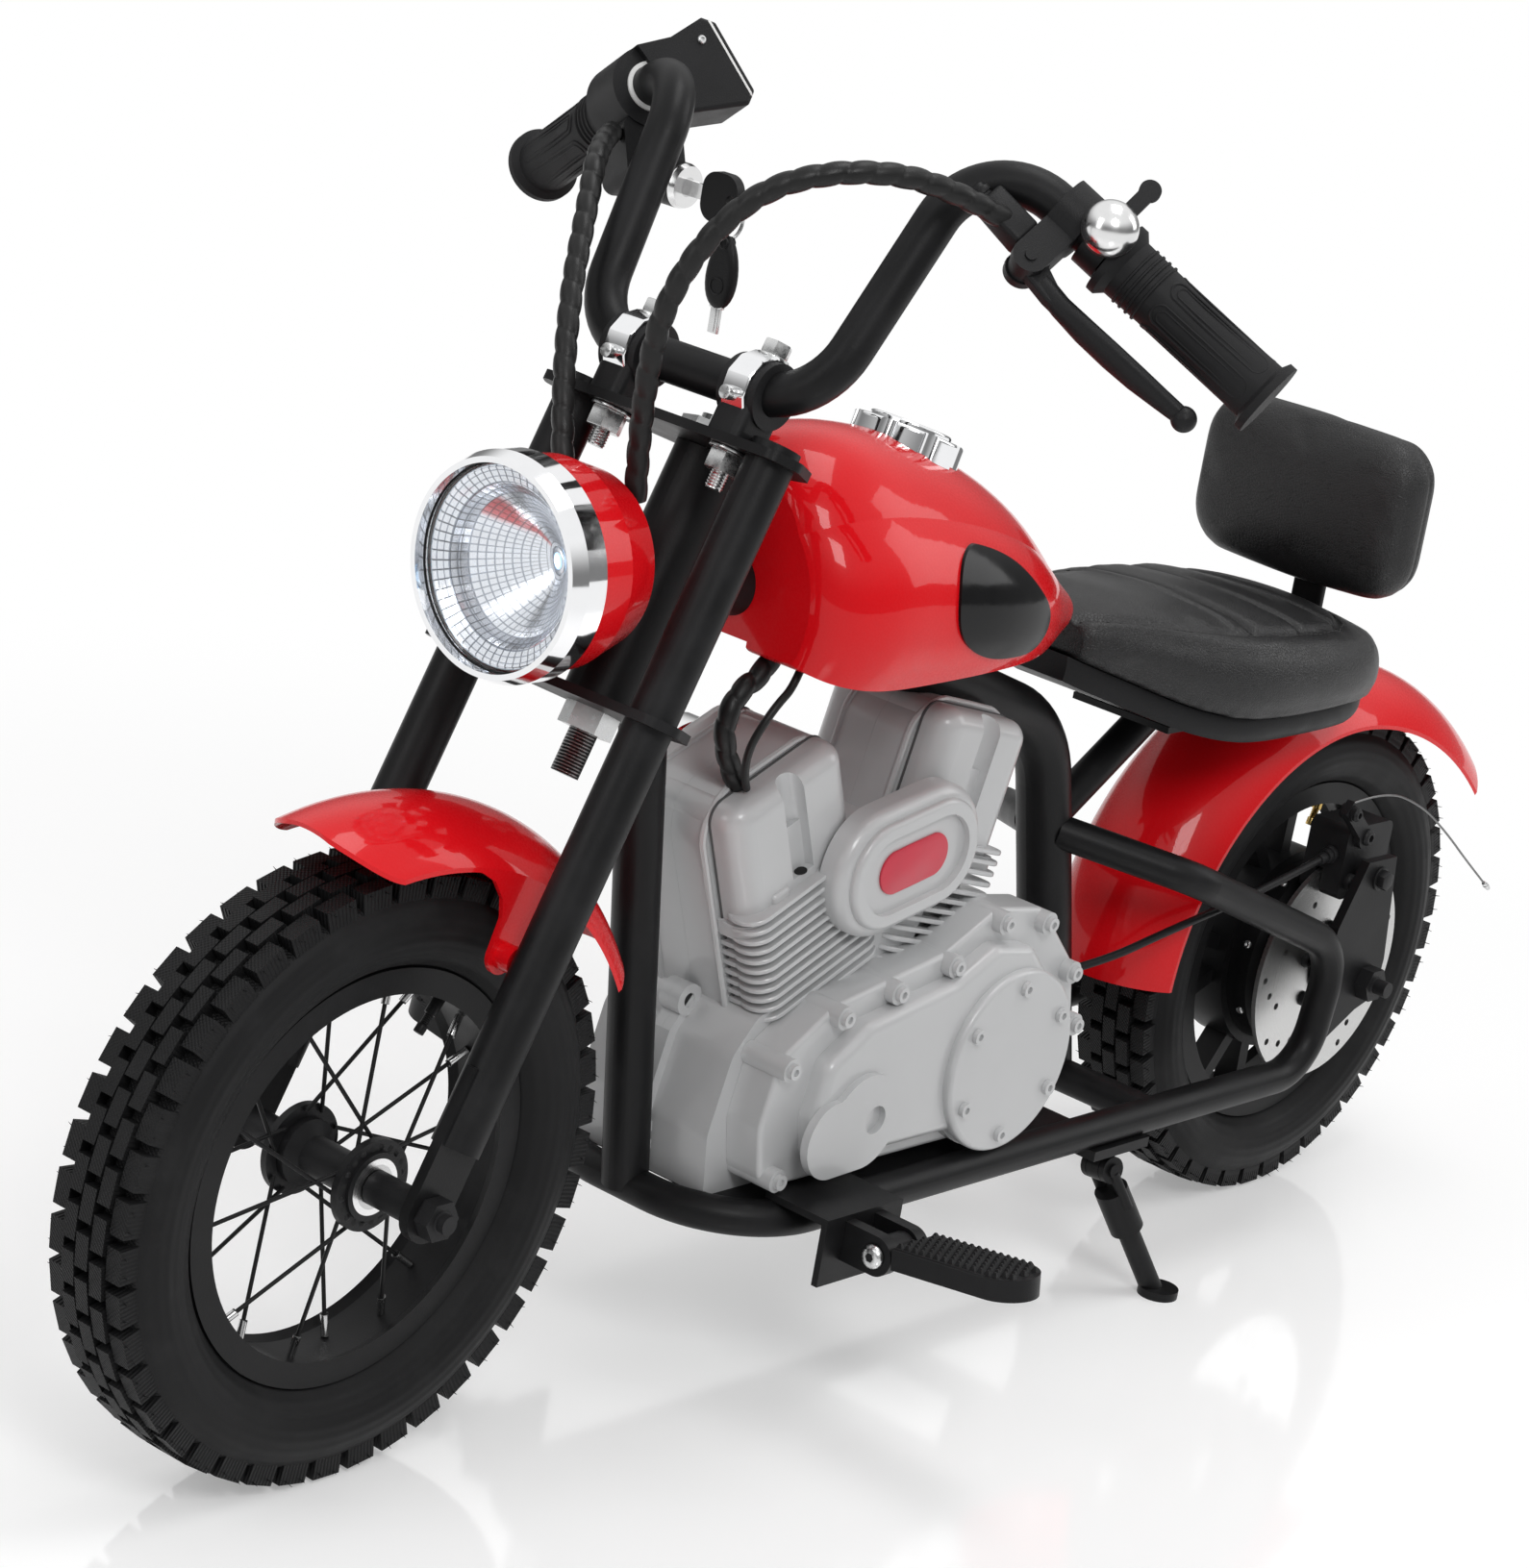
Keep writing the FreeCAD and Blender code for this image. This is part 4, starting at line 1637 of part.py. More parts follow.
def intake_shape():
    """Pill shaped cover with a raised frame, low at the front."""
    base = soft_pill(22, 36, cover_low, cover_low + 16, 7)
    frame = soft_pill(21, 30, cover_low + 13, cover_low + 20, 3).cut(pill(20, 22, cover_low + 16, cover_low + 30))
    whole = fused([base, frame])
    whole.rotate(ORIGIN, Y_AXIS, 11)
    whole.translate(Vector(INTAKE[0], 0, INTAKE[1]))
    return whole


node(feature("intake_cover", intake_shape()), "intake_cover")
air_at = Vector(118, -cover_low, 300)
air_profile = [
    (Size(0.0), Size(0.0)), (Size(40.0), Size(0.0)), (Size(42.0), Size(6.0)), (Size(42.0), Size(20.0)),
    (Size(38.0), Size(24.0)), (Size(34.0), Size(22.0)), (Size(0.0), Size(22.0)),
]
node(turned("air_cleaner", air_profile, aligned(air_at, Y_AXIS * -1)), "air_cleaner")


def screw_shapes():
    """Socket screws of the covers, all of one kind."""
    heads = []
    for along, up in PRIMARY_SCREWS:
        heads.append(Vector(along, cover_low + primary_depth - 6 + seat_gap / 2, up))
    for turn in range(30, 390, 60):
        heads.append(Vector(derby_at[0] + (derby_radius - 10) * math.cos(math.radians(turn)),
                            cover_high + 5 + seat_gap / 2,
                            derby_at[1] + (derby_radius - 10) * math.sin(math.radians(turn))))
    shapes = []
    for at in heads:
        head = Part.makeCylinder(4.2, 3, at, Y_AXIS)
        shapes.append(head.cut(Part.makeCylinder(2, 4, at + Y_AXIS * 1.2, Y_AXIS)))
    return Part.makeCompound(shapes)


node(feature("casing_screws", screw_shapes()), "casing_screws")

# Lower harness: from inside the tank cover, under its front edge, to the front rocker cover
lower_route = [Vector(146, 24, 430), Vector(160, 24, 398), Vector(184, 24, 388), Vector(190, 24, 362),
               Vector(170, 24, 337)]
lower = cord("lower_harness", lower_route, wrap_radius)
lower.Shape = max(lower.Shape.cut(casing).Solids, key=lambda solid: solid.Volume)
node(lower, "lower_harness")

# Rear brake
caliper_at = Vector(-395, 0, 230)
arm_pivot = Vector(-383, 0, 249)


def caliper_shape():
    """Body that straddles the disc, bolted to the left dropout plate through a spacer."""
    body = Part.makeBox(48, 28, 46, caliper_at + Vector(-24, 34, -22))
    body = body.makeFillet(5, [edge for edge in body.Edges if abs(edge.tangentAt(edge.FirstParameter).y) > 0.9])
    disc_gap = 1.0
    slot = Part.makeCylinder(size("disc_radius") + 2, disc_thickness + 2 * disc_gap,
                             rear_axle_at + Y_AXIS * (disc_offset - disc_thickness / 2 - disc_gap), Y_AXIS)
    spacer = Part.makeCylinder(8, plate_low - 61 - seat_gap / 2, Vector(-393, 61, 224), Y_AXIS)
    pin = Part.makeCylinder(4 + running_gap, 40, arm_pivot + Y_AXIS * 54, Y_AXIS)
    return fused([body, spacer]).cut(slot).cut(pin)


def caliper_arm_shape():
    """Cam lever with a pinch bolt at its end."""
    hub = Part.makeCylinder(8, 5, arm_pivot + Y_AXIS * (62 + clear_gap), Y_AXIS)
    arm = Part.makeBox(34, 5, 10, arm_pivot + Vector(0, 62 + clear_gap, -5))
    arm.rotate(arm_pivot, Y_AXIS, -40)
    pin = Part.makeCylinder(4, 10, arm_pivot + Y_AXIS * 55, Y_AXIS)
    bolt = Part.makeCylinder(5, 9, arm_pivot + Vector(28, 60 + clear_gap, 0), Y_AXIS)
    bolt.rotate(arm_pivot, Y_AXIS, -40)
    return fused([hub, arm, pin, bolt])


node(feature("brake_caliper", caliper_shape()), "brake_caliper")
node(feature("caliper_arm", caliper_arm_shape()), "caliper_arm")
brake_route = [Vector(-101.2, 30, 186), Vector(-150, 48, 196), Vector(-205, 57, 212), Vector(-262, 58, 220),
               Vector(-320, 56, 228), Vector(-370.8, 53, 236)]
node(cord("brake_cable", brake_route, size("cable_radius")), "brake_cable")

doc.recompute()
faults = [item.Name for item in doc.Objects if "Invalid" in item.State or "Error" in item.State]
for made in NODES:
    if made.Shape.isNull() or not made.Shape.isValid() or made.Shape.Volume < 1:
        faults.append(made.Label)
if faults:
    raise RuntimeError("faulty objects: " + ", ".join(faults))
os.makedirs("parts", exist_ok=True)
for made in NODES:
    made.Shape.exportStep("parts/%s.step" % made.Label)
print("exported", len(NODES), "sub-parts")
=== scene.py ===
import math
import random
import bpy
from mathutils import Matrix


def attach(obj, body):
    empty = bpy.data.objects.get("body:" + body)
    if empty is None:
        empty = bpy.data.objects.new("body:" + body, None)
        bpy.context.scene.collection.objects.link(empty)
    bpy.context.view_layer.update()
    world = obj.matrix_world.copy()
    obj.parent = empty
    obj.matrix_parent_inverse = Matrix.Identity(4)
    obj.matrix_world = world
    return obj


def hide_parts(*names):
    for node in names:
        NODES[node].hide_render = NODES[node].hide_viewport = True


bl_info = {
    "name": "Kids Motorbike Looks",
    "version": (1, 0, 0),
    "blender": (4, 5, 0),
    "location": "View3D > Sidebar > Motorbike",
    "description": "Dresses the frame of a child's electric motorbike with finishes, padding and trim",
    "category": "Object",
}

import bmesh
import bpy
from mathutils import Matrix, Vector
from mathutils.bvhtree import BVHTree

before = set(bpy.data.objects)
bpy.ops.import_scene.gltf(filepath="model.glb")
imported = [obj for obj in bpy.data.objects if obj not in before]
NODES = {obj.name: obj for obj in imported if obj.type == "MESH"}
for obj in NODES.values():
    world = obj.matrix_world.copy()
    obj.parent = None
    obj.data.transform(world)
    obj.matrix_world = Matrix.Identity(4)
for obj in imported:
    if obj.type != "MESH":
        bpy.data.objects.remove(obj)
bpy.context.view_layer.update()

FULL_TURN = 2 * math.pi
MM = Matrix.Scale(0.001, 4)
STILL = Matrix()
UP = Vector((0, 0, 1))
DOWN = -UP
LEFT = Vector((0, 1, 0))

# Main places of the bike: axles in metres, the middle of the headlight's rim in millimetres
RAKE = math.radians(24.25)
FRONT_AXLE = Vector((0.4, 0.0, 0.16))
REAR_AXLE = Vector((-0.4, 0.0, 0.156))
LAMP = Vector((353.0, 0.0, 461.4))
FORK = Matrix.Translation(FRONT_AXLE) @ Matrix.Rotation(-RAKE, 4, "Y")
FORK_MM = MM @ Matrix.Translation(FRONT_AXLE * 1000) @ Matrix.Rotation(-RAKE, 4, "Y")


def mm(*numbers):
    """Lengths in millimetres as a point in metres."""
    return Vector(numbers) / 1000.0


def shift(x=0.0, y=0.0, z=0.0):
    return Matrix.Translation((x, y, z))


def turned(degrees, axis):
    return Matrix.Rotation(math.radians(degrees), 4, axis)


def axes(x, y, z):
    """Turn whose columns are three directions."""
    return Matrix((x, y, z)).transposed().to_4x4()


def facing(way, origin=(0.0, 0.0, 0.0)):
    """Turns +Z to a direction and moves to an origin."""
    return Matrix.Translation(origin) @ Vector(way).to_track_quat("Z", "Y").to_matrix().to_4x4()


def bar_frame(side, inwards, wish):
    """Frame on a grip in millimetres: Z along the bar to the middle, X as near to a wished way as can be."""
    way = FORK.to_3x3() @ Vector((-93, 149 * side, -61)).normalized() * -1
    start = FORK @ mm(-101, 246 * side, 524) * 1000 + way * inwards
    up = (Vector(wish) - way * way.dot(Vector(wish))).normalized()
    return Matrix.Translation(start) @ axes(up, way.cross(up), way)


LEVER_FRAME = bar_frame(1, 120, (0.8, 0, -0.6))
BELL_FRAME = bar_frame(1, 103.6, (0.7, 0, 0.7))
THROTTLE_FRAME = bar_frame(-1, 102.4, (0, 0, 1))

# Rows of cells in the headlight's dish: radius of the first, rise of each, and how many; cells in a row
DISH_BOTTOM = 8.0
DISH_STEP = 2.6
DISH_ROWS = 13
DISH_CELLS = 60


class Value:
    """One output of a shader node; arithmetic on it adds Math nodes."""

    def __init__(self, finish, socket):
        self.finish = finish
        self.socket = socket

    def math(self, operation, *others):
        return self.finish.add("ShaderNodeMath", {"operation": operation}, [self, *others])

    def __add__(self, other):
        return self.math("ADD", other)

    __radd__ = __add__

    def __sub__(self, other):
        return self.math("SUBTRACT", other)

    def __rsub__(self, other):
        return self.finish.add("ShaderNodeMath", {"operation": "SUBTRACT"}, [other, self])

    def __mul__(self, other):
        return self.math("MULTIPLY", other)

    __rmul__ = __mul__

    def __truediv__(self, other):
        return self.math("DIVIDE", other)

    def __rtruediv__(self, other):
        return self.finish.add("ShaderNodeMath", {"operation": "DIVIDE"}, [other, self])


class Finish:
    """A node tree being made: any node comes from add, surfaces from surface."""

    def __init__(self, tree, end="ShaderNodeOutputMaterial"):
        tree.nodes.clear()
        self.tree = tree
        self.end = tree.nodes.new(end)

    def put(self, socket, given):
        if isinstance(given, Value):
            self.tree.links.new(given.socket, socket)
        else:
            socket.default_value = given

    def add(self, kind, settings=None, inputs=None, output=0):
        node = self.tree.nodes.new(kind)
        for name, setting in (settings or {}).items():
            setattr(node, name, setting)
        pairs = enumerate(inputs) if isinstance(inputs, list) else (inputs or {}).items()
        for key, given in pairs:
            self.put(node.inputs[key], given)
        return Value(self, node.outputs[output])

    def coords(self, centre=None):
        """Object coordinates, from a centre if there is one."""
        here = self.add("ShaderNodeTexCoord", output="Object")
        if centre is None:
            return here
        return self.add("ShaderNodeMapping", {"vector_type": "POINT"},
                        {"Vector": here, "Location": tuple(-part for part in centre)})

    def noise(self, vector, scale, detail=3.0, roughness=0.55):
        return self.add("ShaderNodeTexNoise", None,
                        {"Vector": vector, "Scale": scale, "Detail": detail, "Roughness": roughness})

    def cells(self, vector, scale, feature="F1"):
        return self.add("ShaderNodeTexVoronoi", {"feature": feature}, {"Vector": vector, "Scale": scale})

    def ramp(self, value, low, high, first=0.0, last=1.0):
        return self.add("ShaderNodeMapRange", {"interpolation_type": "SMOOTHSTEP"},
                        {"Value": value, "From Min": low, "From Max": high, "To Min": first, "To Max": last})

    def tint(self, mask, first, second):
        """Colour that goes from first to second as the mask goes from 0 to 1."""
        ends = {0: mask, 6: rgba(first), 7: rgba(second)}
        return self.add("ShaderNodeMix", {"data_type": "RGBA"}, ends, 2)

    def bump(self, height, distance, strength):
        return self.add("ShaderNodeBump", None,
                        {"Height": height, "Distance": distance, "Strength": strength})

    def outputs(self, value, *names):
        """Named or numbered outputs of the node that a value comes from."""
        return [Value(self, value.socket.node.outputs[name]) for name in names]

    def parts(self, vector):
        """The three numbers of a vector."""
        return self.outputs(self.add("ShaderNodeSeparateXYZ", None, {0: vector}), 0, 1, 2)

    def surface(self, **sockets):
        """Principled surface; underscores in names stand for spaces."""
        inputs = {name.replace("_", " "): given for name, given in sockets.items()}
        inputs["Base Color"] = rgba(inputs["Base Color"])
        self.put(self.end.inputs["Surface"], self.add("ShaderNodeBsdfPrincipled", None, inputs))


def rgba(colour):
    if isinstance(colour, Value):
        return colour
    return (colour[0], colour[1], colour[2], 1.0)


def paint(name, description, default):
    return bpy.props.FloatVectorProperty(name=name, description=description, default=default,
                                         subtype="COLOR", size=3, min=0, max=1)


def span(name, description, default, low, high):
    return bpy.props.FloatProperty(name=name, description=description, default=default, min=low, max=high,
                                   unit="LENGTH")


class MotorbikeColours(bpy.types.PropertyGroup):
    """Colours of the paints and mouldings."""

    red: paint("Red paint", "Tank, fenders and headlight bowl", (0.78, 0.006, 0.011))
    black: paint("Black coat", "Frame, fork and handlebar", (0.0085, 0.0085, 0.009))
    grey: paint("Grey moulding", "Engine shaped casing", (0.55, 0.555, 0.56))
    leather: paint("Seat cover", "Seat and backrest", (0.012, 0.012, 0.0125))
    badge: paint("Casing badge", "Bare plate on the intake cover", (0.62, 0.03, 0.06))


class MotorbikeSizes(bpy.types.PropertyGroup):
    """Sizes of the pieces that are modelled here."""

    wrap_pitch: span("Wrap pitch", "One turn of the spiral wrap", 0.0135, 0.004, 0.05)
    channel_depth: span("Channel depth", "Stitched channels of the seat", 0.004, 0.0, 0.02)
    stitch_length: span("Stitch length", "Thread stitches on the padding", 0.0036, 0.001, 0.01)


def sizes():
    return bpy.context.scene.motorbike_sizes


def tone(given):
    """A colour from its three numbers, one number for a grey, or a paint's name with a factor."""
    if isinstance(given, float):
        return (given, given, given)
    if isinstance(given[0], str):
        colour = getattr(bpy.context.scene.motorbike_colours, given[0])
        return tuple(min(1.0, channel * given[1]) for channel in colour)
    return given


def even(cloud, first, second, rough, reach=(0.3, 0.8), mask=None, grain=None, **sockets):
    """Maker of a finish that drifts between two tones; its roughness follows, and it may have a fine grain.

    cloud: scale, detail and roughness of the drift; rough: both ends of the roughness, over a reach of it;
    grain: scale, detail or None for cells, depth in metres and strength.
    """

    def make(made):
        here = made.coords()
        drift = made.noise(here, *cloud)
        extra = dict(sockets)
        if grain:
            scale, detail, depth, strength = grain
            fine = made.noise(here, scale, detail) if detail else made.cells(here, scale)
            extra["Normal"] = made.bump(fine, depth, strength)
        blend = made.ramp(drift, *mask) if mask else drift
        made.surface(Base_Color=made.tint(blend, tone(first), tone(second)),
                     Roughness=made.ramp(drift, *reach, *rough), **extra)

    return make


# Where a finish changes on its piece, in metres: both ends of the change
TYRE_SIDEWALL = (0.149, 0.1465)
BEARING_SEAL = (0.0115, 0.0118)
SPOKE_NIPPLES = (0.0866, 0.0872)
STEM_THREAD = (0.2454, 0.2448)
CLEANER_RIM = (0.0338, 0.0342)
DIODE_SPOT = (0.0045, 0.001)
CLEANER_MIDDLE = (0.118, 0.0, 0.3)
LAMP_MIDDLE = (0.0, 0.0, LAMP.z / 1000)
STEM_PITCH = 0.0017


def make_red_paint(made):
    """Glossy coated paint with the faint ripple of a moulded panel."""
    here = made.coords()
    cloud = made.noise(here, 9.0, 2.0)
    ripple = made.noise(here, 60.0, 1.0)
    speck = made.noise(here, 700.0, 2.0)
    made.surface(Base_Color=made.tint(cloud, tone(("red", 0.94)), tone(("red", 1.05))),
                 Roughness=made.ramp(speck, 0.3, 0.75, 0.24, 0.32), Specular_IOR_Level=0.06,
                 Normal=made.bump(ripple, 0.0004, 0.25), Coat_Weight=0.6, Coat_Roughness=0.04, Coat_IOR=1.4)


def off_axis(made, centre, axis):
    """Place from a centre, the two numbers across an axis, and the distance from that axis."""
    here = made.coords(centre)
    first, second = [part for index, part in enumerate(made.parts(here)) if index != axis]
    return here, first, second, (first * first + second * second).math("SQRT")


def lathe_lines(made, reach, density):
    """Fine rings that follow the distance from an axle."""
    return made.add("ShaderNodeTexNoise", {"noise_dimensions": "1D"}, {"W": reach * density, "Detail": 4.0})


def make_disc_steel(made):
    """Ground brake disc: circular scratches."""
    lines = lathe_lines(made, off_axis(made, REAR_AXLE, 1)[3], 2600.0)
    made.surface(Base_Color=made.tint(lines, (0.42, 0.42, 0.42), (0.72, 0.72, 0.71)), Metallic=1.0,
                 Roughness=made.ramp(lines, 0.3, 0.7, 0.25, 0.42), Normal=made.bump(lines, 0.00005, 0.6))


def make_bearing_steel(made):
    """Darker seal inside a bright outer ring."""
    reach = off_axis(made, FRONT_AXLE, 1)[3]
    lines = lathe_lines(made, reach, 3000.0)
    made.surface(Base_Color=made.tint(made.ramp(reach, *BEARING_SEAL), tone(0.55), tone(0.8)), Metallic=1.0,
                 Roughness=made.ramp(lines, 0.3, 0.7, 0.18, 0.34))


def tyre_rubber(centre):
    """Maker of rubber with moulded rings on the sidewall and a fine diamond knurl on the tread blocks."""

    def make(made):
        here, across, up, reach = off_axis(made, centre, 1)
        along = made.parts(here)[1] * 2600.0
        turn = up.math("ARCTAN2", across) * 420.0
        side = made.ramp(reach, *TYRE_SIDEWALL)
        ring = (reach * 1100.0).math("SINE")
        knurl = (turn + along).math("SINE") + (turn - along).math("SINE")
        grit = made.noise(here, 1600.0, 3.0)
        dust = made.noise(here, 24.0, 5.0, 0.65)
        colour = made.tint(made.ramp(dust, 0.45, 0.85), (0.0085, 0.0085, 0.009), (0.02, 0.02, 0.0205))
        height = ring * side * 0.35 + knurl * (1.0 - side) * 0.5 + grit * 0.35
        made.surface(Base_Color=colour, Roughness=made.ramp(dust, 0.3, 0.8, 0.48, 0.66),
                     Specular_IOR_Level=0.17, Normal=made.bump(height, 0.0006, 0.55))

    return make


def make_leather(made):
    """Grained vinyl leather: pebbles with fine wrinkles, painted shade darkening the creases between them,
    and a soft sheen.
    """
    here = made.coords()
    warp = made.noise(here, 90.0, 2.0)
    crease = made.ramp(made.cells(here, 560.0, "DISTANCE_TO_EDGE"), 0.0, 0.16)
    patch = made.noise(here, 16.0, 4.0)
    # The creases between the pebbles are painted darker: painted shade.
    made.surface(Base_Color=made.tint(crease, tone(("leather", 0.75)), tone(("leather", 1.25))),
                 Roughness=made.ramp(patch, 0.3, 0.8, 0.36, 0.46), Specular_IOR_Level=0.38,
                 Normal=made.bump(crease + warp * 0.6, 0.0003, 0.45))


def make_thread(made):
    twist = made.add("ShaderNodeTexWave", {"bands_direction": "DIAGONAL"},
                     {"Vector": made.coords(), "Scale": 900.0})
    made.surface(Base_Color=made.tint(twist, tone(0.01), tone(0.03)), Roughness=0.7,
                 Normal=made.bump(twist, 0.0001, 0.6))


def make_reflector(made):
    """Bright plated cells with darker creases between them as painted shade, round the axis of the lamp."""
    here, left, up, reach = off_axis(made, LAMP_MIDDLE, 0)
    turn = up.math("ARCTAN2", left) * (DISH_CELLS / FULL_TURN)
    row = (reach * 1000.0 - DISH_BOTTOM) / DISH_STEP
    lines = [made.ramp((count.math("FRACT") - 0.5).math("ABSOLUTE"), 0.34, 0.5) for count in (turn, row)]
    cloud = made.noise(here, 120.0, 2.0)
    plated = made.tint(cloud, (0.78, 0.8, 0.84), (0.9, 0.91, 0.94))
    # The dark tone on the borders of the cells is painted shade in the creases.
    made.surface(Base_Color=made.tint(lines[0].math("MAXIMUM", lines[1]), plated, (0.3, 0.33, 0.38)),
                 Metallic=1.0, Roughness=made.ramp(cloud, 0.3, 0.8, 0.12, 0.22))


def two_metals(made, mask, bright=0.62):
    """Bright plated metal where the mask is 1, black coat where it is 0."""
    cloud = made.noise(made.coords(), 120.0, 3.0, 0.5)
    plated = made.tint(cloud, tone(bright * 0.94), tone(bright * 1.06))
    made.surface(Base_Color=made.tint(mask, (0.011, 0.011, 0.0115), plated), Metallic=mask,
                 Specular_IOR_Level=0.18,
                 Roughness=made.ramp(cloud, 0.3, 0.75, 0.16, 0.24) * mask + (1.0 - mask) * 0.44)


def reach_along(made, origin, way):
    """How far a point lies from an origin along a direction, in metres."""
    return made.add("ShaderNodeVectorMath", {"operation": "DOT_PRODUCT"}, [made.coords(origin), tuple(way)],
                    "Value")


def plated_past(origin, way, low, high, bright=0.62):
    """Maker of a finish that is plated past a place along a direction and black before it."""

    def make(made):
        two_metals(made, made.ramp(reach_along(made, origin, way), low, high), bright)

    return make


def make_spoke_wire(made):
    """Black wires with bright nipples near the rim."""
    two_metals(made, made.ramp(off_axis(made, FRONT_AXLE, 1)[3], *SPOKE_NIPPLES))


def make_stem_steel(made):
    """Zinc plated nuts, and the thread of the stem below them with painted shade darkening its grooves."""
    up = reach_along(made, FRONT_AXLE, FORK.to_3x3().col[2])
    thread = (up * (FULL_TURN / STEM_PITCH)).math("SINE")
    below = made.ramp(up, *STEM_THREAD)
    cloud = made.noise(made.coords(), 260.0, 4.0, 0.6)
    nuts = made.tint(cloud, (0.48, 0.49, 0.5), (0.76, 0.76, 0.75))
    # The thread's colour goes from near black in its grooves to mid grey on its crests: painted shade.
    shade_lines = made.tint(made.ramp(thread, -0.6, 0.8), tone(0.03), tone(0.3))
    made.surface(Base_Color=made.tint(below, nuts, shade_lines), Metallic=1.0,
                 Roughness=made.ramp(cloud, 0.3, 0.7, 0.24, 0.4),
                 Normal=made.bump(thread * below, 0.0005, 0.8))


def make_air_cleaner(made):
    """Chrome rim round a satin grey face."""
    here, _, _, reach = off_axis(made, CLEANER_MIDDLE, 1)
    rim = made.ramp(reach, *CLEANER_RIM)
    cloud = made.noise(here, 60.0, 3.0)
    chrome = made.tint(cloud, (0.8, 0.8, 0.81), (0.92, 0.92, 0.92))
    made.surface(Base_Color=made.tint(rim, tone(("grey", 0.95)), chrome), Metallic=rim,
                 Roughness=(1.0 - rim) * 0.34 + made.ramp(cloud, 0.3, 0.8, 0.06, 0.14))


def make_diode_glow(made):
    """Cold white lamp, brightest in its middle."""
    spot = made.ramp(off_axis(made, LAMP_MIDDLE, 0)[3], *DIODE_SPOT)
    made.surface(Base_Color=(0.8, 0.9, 1.0), Roughness=0.3, Emission_Strength=2.5,
                 Emission_Color=made.tint(spot, (0.18, 0.45, 0.75), (0.85, 0.95, 1.0)))


MAKERS = {
    # Paint, powder coat with fine orange peel, rough castings, and spark-eroded plastic
    "red_paint": make_red_paint,
    "black_coat": even((22.0, 4.0, 0.6), ("black", 1.0), ("black", 1.9), (0.36, 0.5), (0.25, 0.8),
                       mask=(0.45, 0.8), grain=(900.0, 2.0, 0.00012, 0.55), Specular_IOR_Level=0.17),
    "black_cast": even((30.0, 4.0), ("black", 1.1), ("black", 2.4), (0.38, 0.55),
                       grain=(1400.0, 3.0, 0.0002, 0.7), Specular_IOR_Level=0.18),
    "black_plastic": even((40.0,), (0.009, 0.009, 0.0095), (0.016, 0.016, 0.017), (0.4, 0.54),
                          grain=(1500.0, None, 0.00015, 0.5), Specular_IOR_Level=0.17),
    # Satin mouldings of the casing, dark grey lines of painted shade beside its hoops, and near black painted
    # shade in holes and recesses
    "grey_moulding": even((14.0,), ("grey", 0.93), ("grey", 1.06), (0.3, 0.4), (0.3, 0.75),
                          grain=(1100.0, 2.0, 0.00006, 0.4), Coat_Weight=0.4, Coat_Roughness=0.1),
    "groove_grey": even((90.0,), ("grey", 0.12), ("grey", 0.2), (0.6, 0.75), Specular_IOR_Level=0.2),
    "dark_recess": even((300.0,), 0.012, 0.04, (0.7, 0.9), Specular_IOR_Level=0.15),
    # Metals
    "chrome": even((45.0, 4.0, 0.65), (0.82, 0.83, 0.84), (0.93, 0.93, 0.94), (0.05, 0.16), (0.35, 0.8),
                   Metallic=1.0),
    "zinc": even((300.0, 4.0, 0.65), (0.5, 0.51, 0.52), (0.78, 0.78, 0.77), (0.22, 0.38), (0.3, 0.7),
                 Metallic=1.0),
    "brass": even((300.0, 4.0), (0.5, 0.33, 0.1), (0.72, 0.52, 0.2), (0.22, 0.4), Metallic=1.0),
    "wire_steel": even((900.0,), 0.1, 0.24, (0.3, 0.45), Metallic=1.0),
    "disc_steel": make_disc_steel,
    "bearing_steel": make_bearing_steel,
    "stem_steel": make_stem_steel,
    "spoke_wire": make_spoke_wire,
    "air_cleaner": make_air_cleaner,
    # Plated dome on a black base, bright blade past a black head, black barrel with a bright face
    "bell_plate": plated_past(BELL_FRAME.translation / 1000, BELL_FRAME.col[0].to_3d(), 0.0232, 0.0238, 0.76),
    "key_metal": plated_past((0.0, -0.0845, 0.0), (0.0, -1.0, 0.0), -0.0003, 0.0003),
    "lock_ring": plated_past((0.0, -0.0998, 0.0), (0.0, 1.0, 0.0), -0.0002, 0.0002, 0.78),
    # Rubber, wrapped sleeves and the seat's cover
    "front_rubber": tyre_rubber(FRONT_AXLE),
    "rear_rubber": tyre_rubber(REAR_AXLE),
    "grip_rubber": even((35.0, 4.0), (0.009, 0.009, 0.0095), (0.019, 0.019, 0.02), (0.5, 0.66),
                        grain=(1500.0, 3.0, 0.0002, 0.6), Specular_IOR_Level=0.16),
    "spiral_wrap": even((60.0,), (0.009, 0.009, 0.0092), (0.018, 0.018, 0.018), (0.34, 0.48),
                        grain=(800.0, 3.0, 0.0002, 0.5), Specular_IOR_Level=0.24),
    "leather": make_leather,
    "thread": make_thread,
    # Badges, printed line, and the headlight
    "badge_black": even((30.0,), (0.006, 0.006, 0.0065), (0.012, 0.012, 0.0125), (0.1, 0.18),
                        Specular_IOR_Level=0.14),
    "badge_red": even((60.0,), ("badge", 0.9), ("badge", 1.08), (0.3, 0.42)),
    "white_line": even((220.0,), (0.72, 0.72, 0.71), (0.85, 0.85, 0.84), (0.35, 0.5)),
    "clear_lens": even((80.0,), (0.94, 0.96, 0.98), (1.0, 1.0, 1.0), (0.02, 0.06), Transmission_Weight=1.0,
                       IOR=1.49),
    "reflector": make_reflector,
    "diode_glow": make_diode_glow,
}

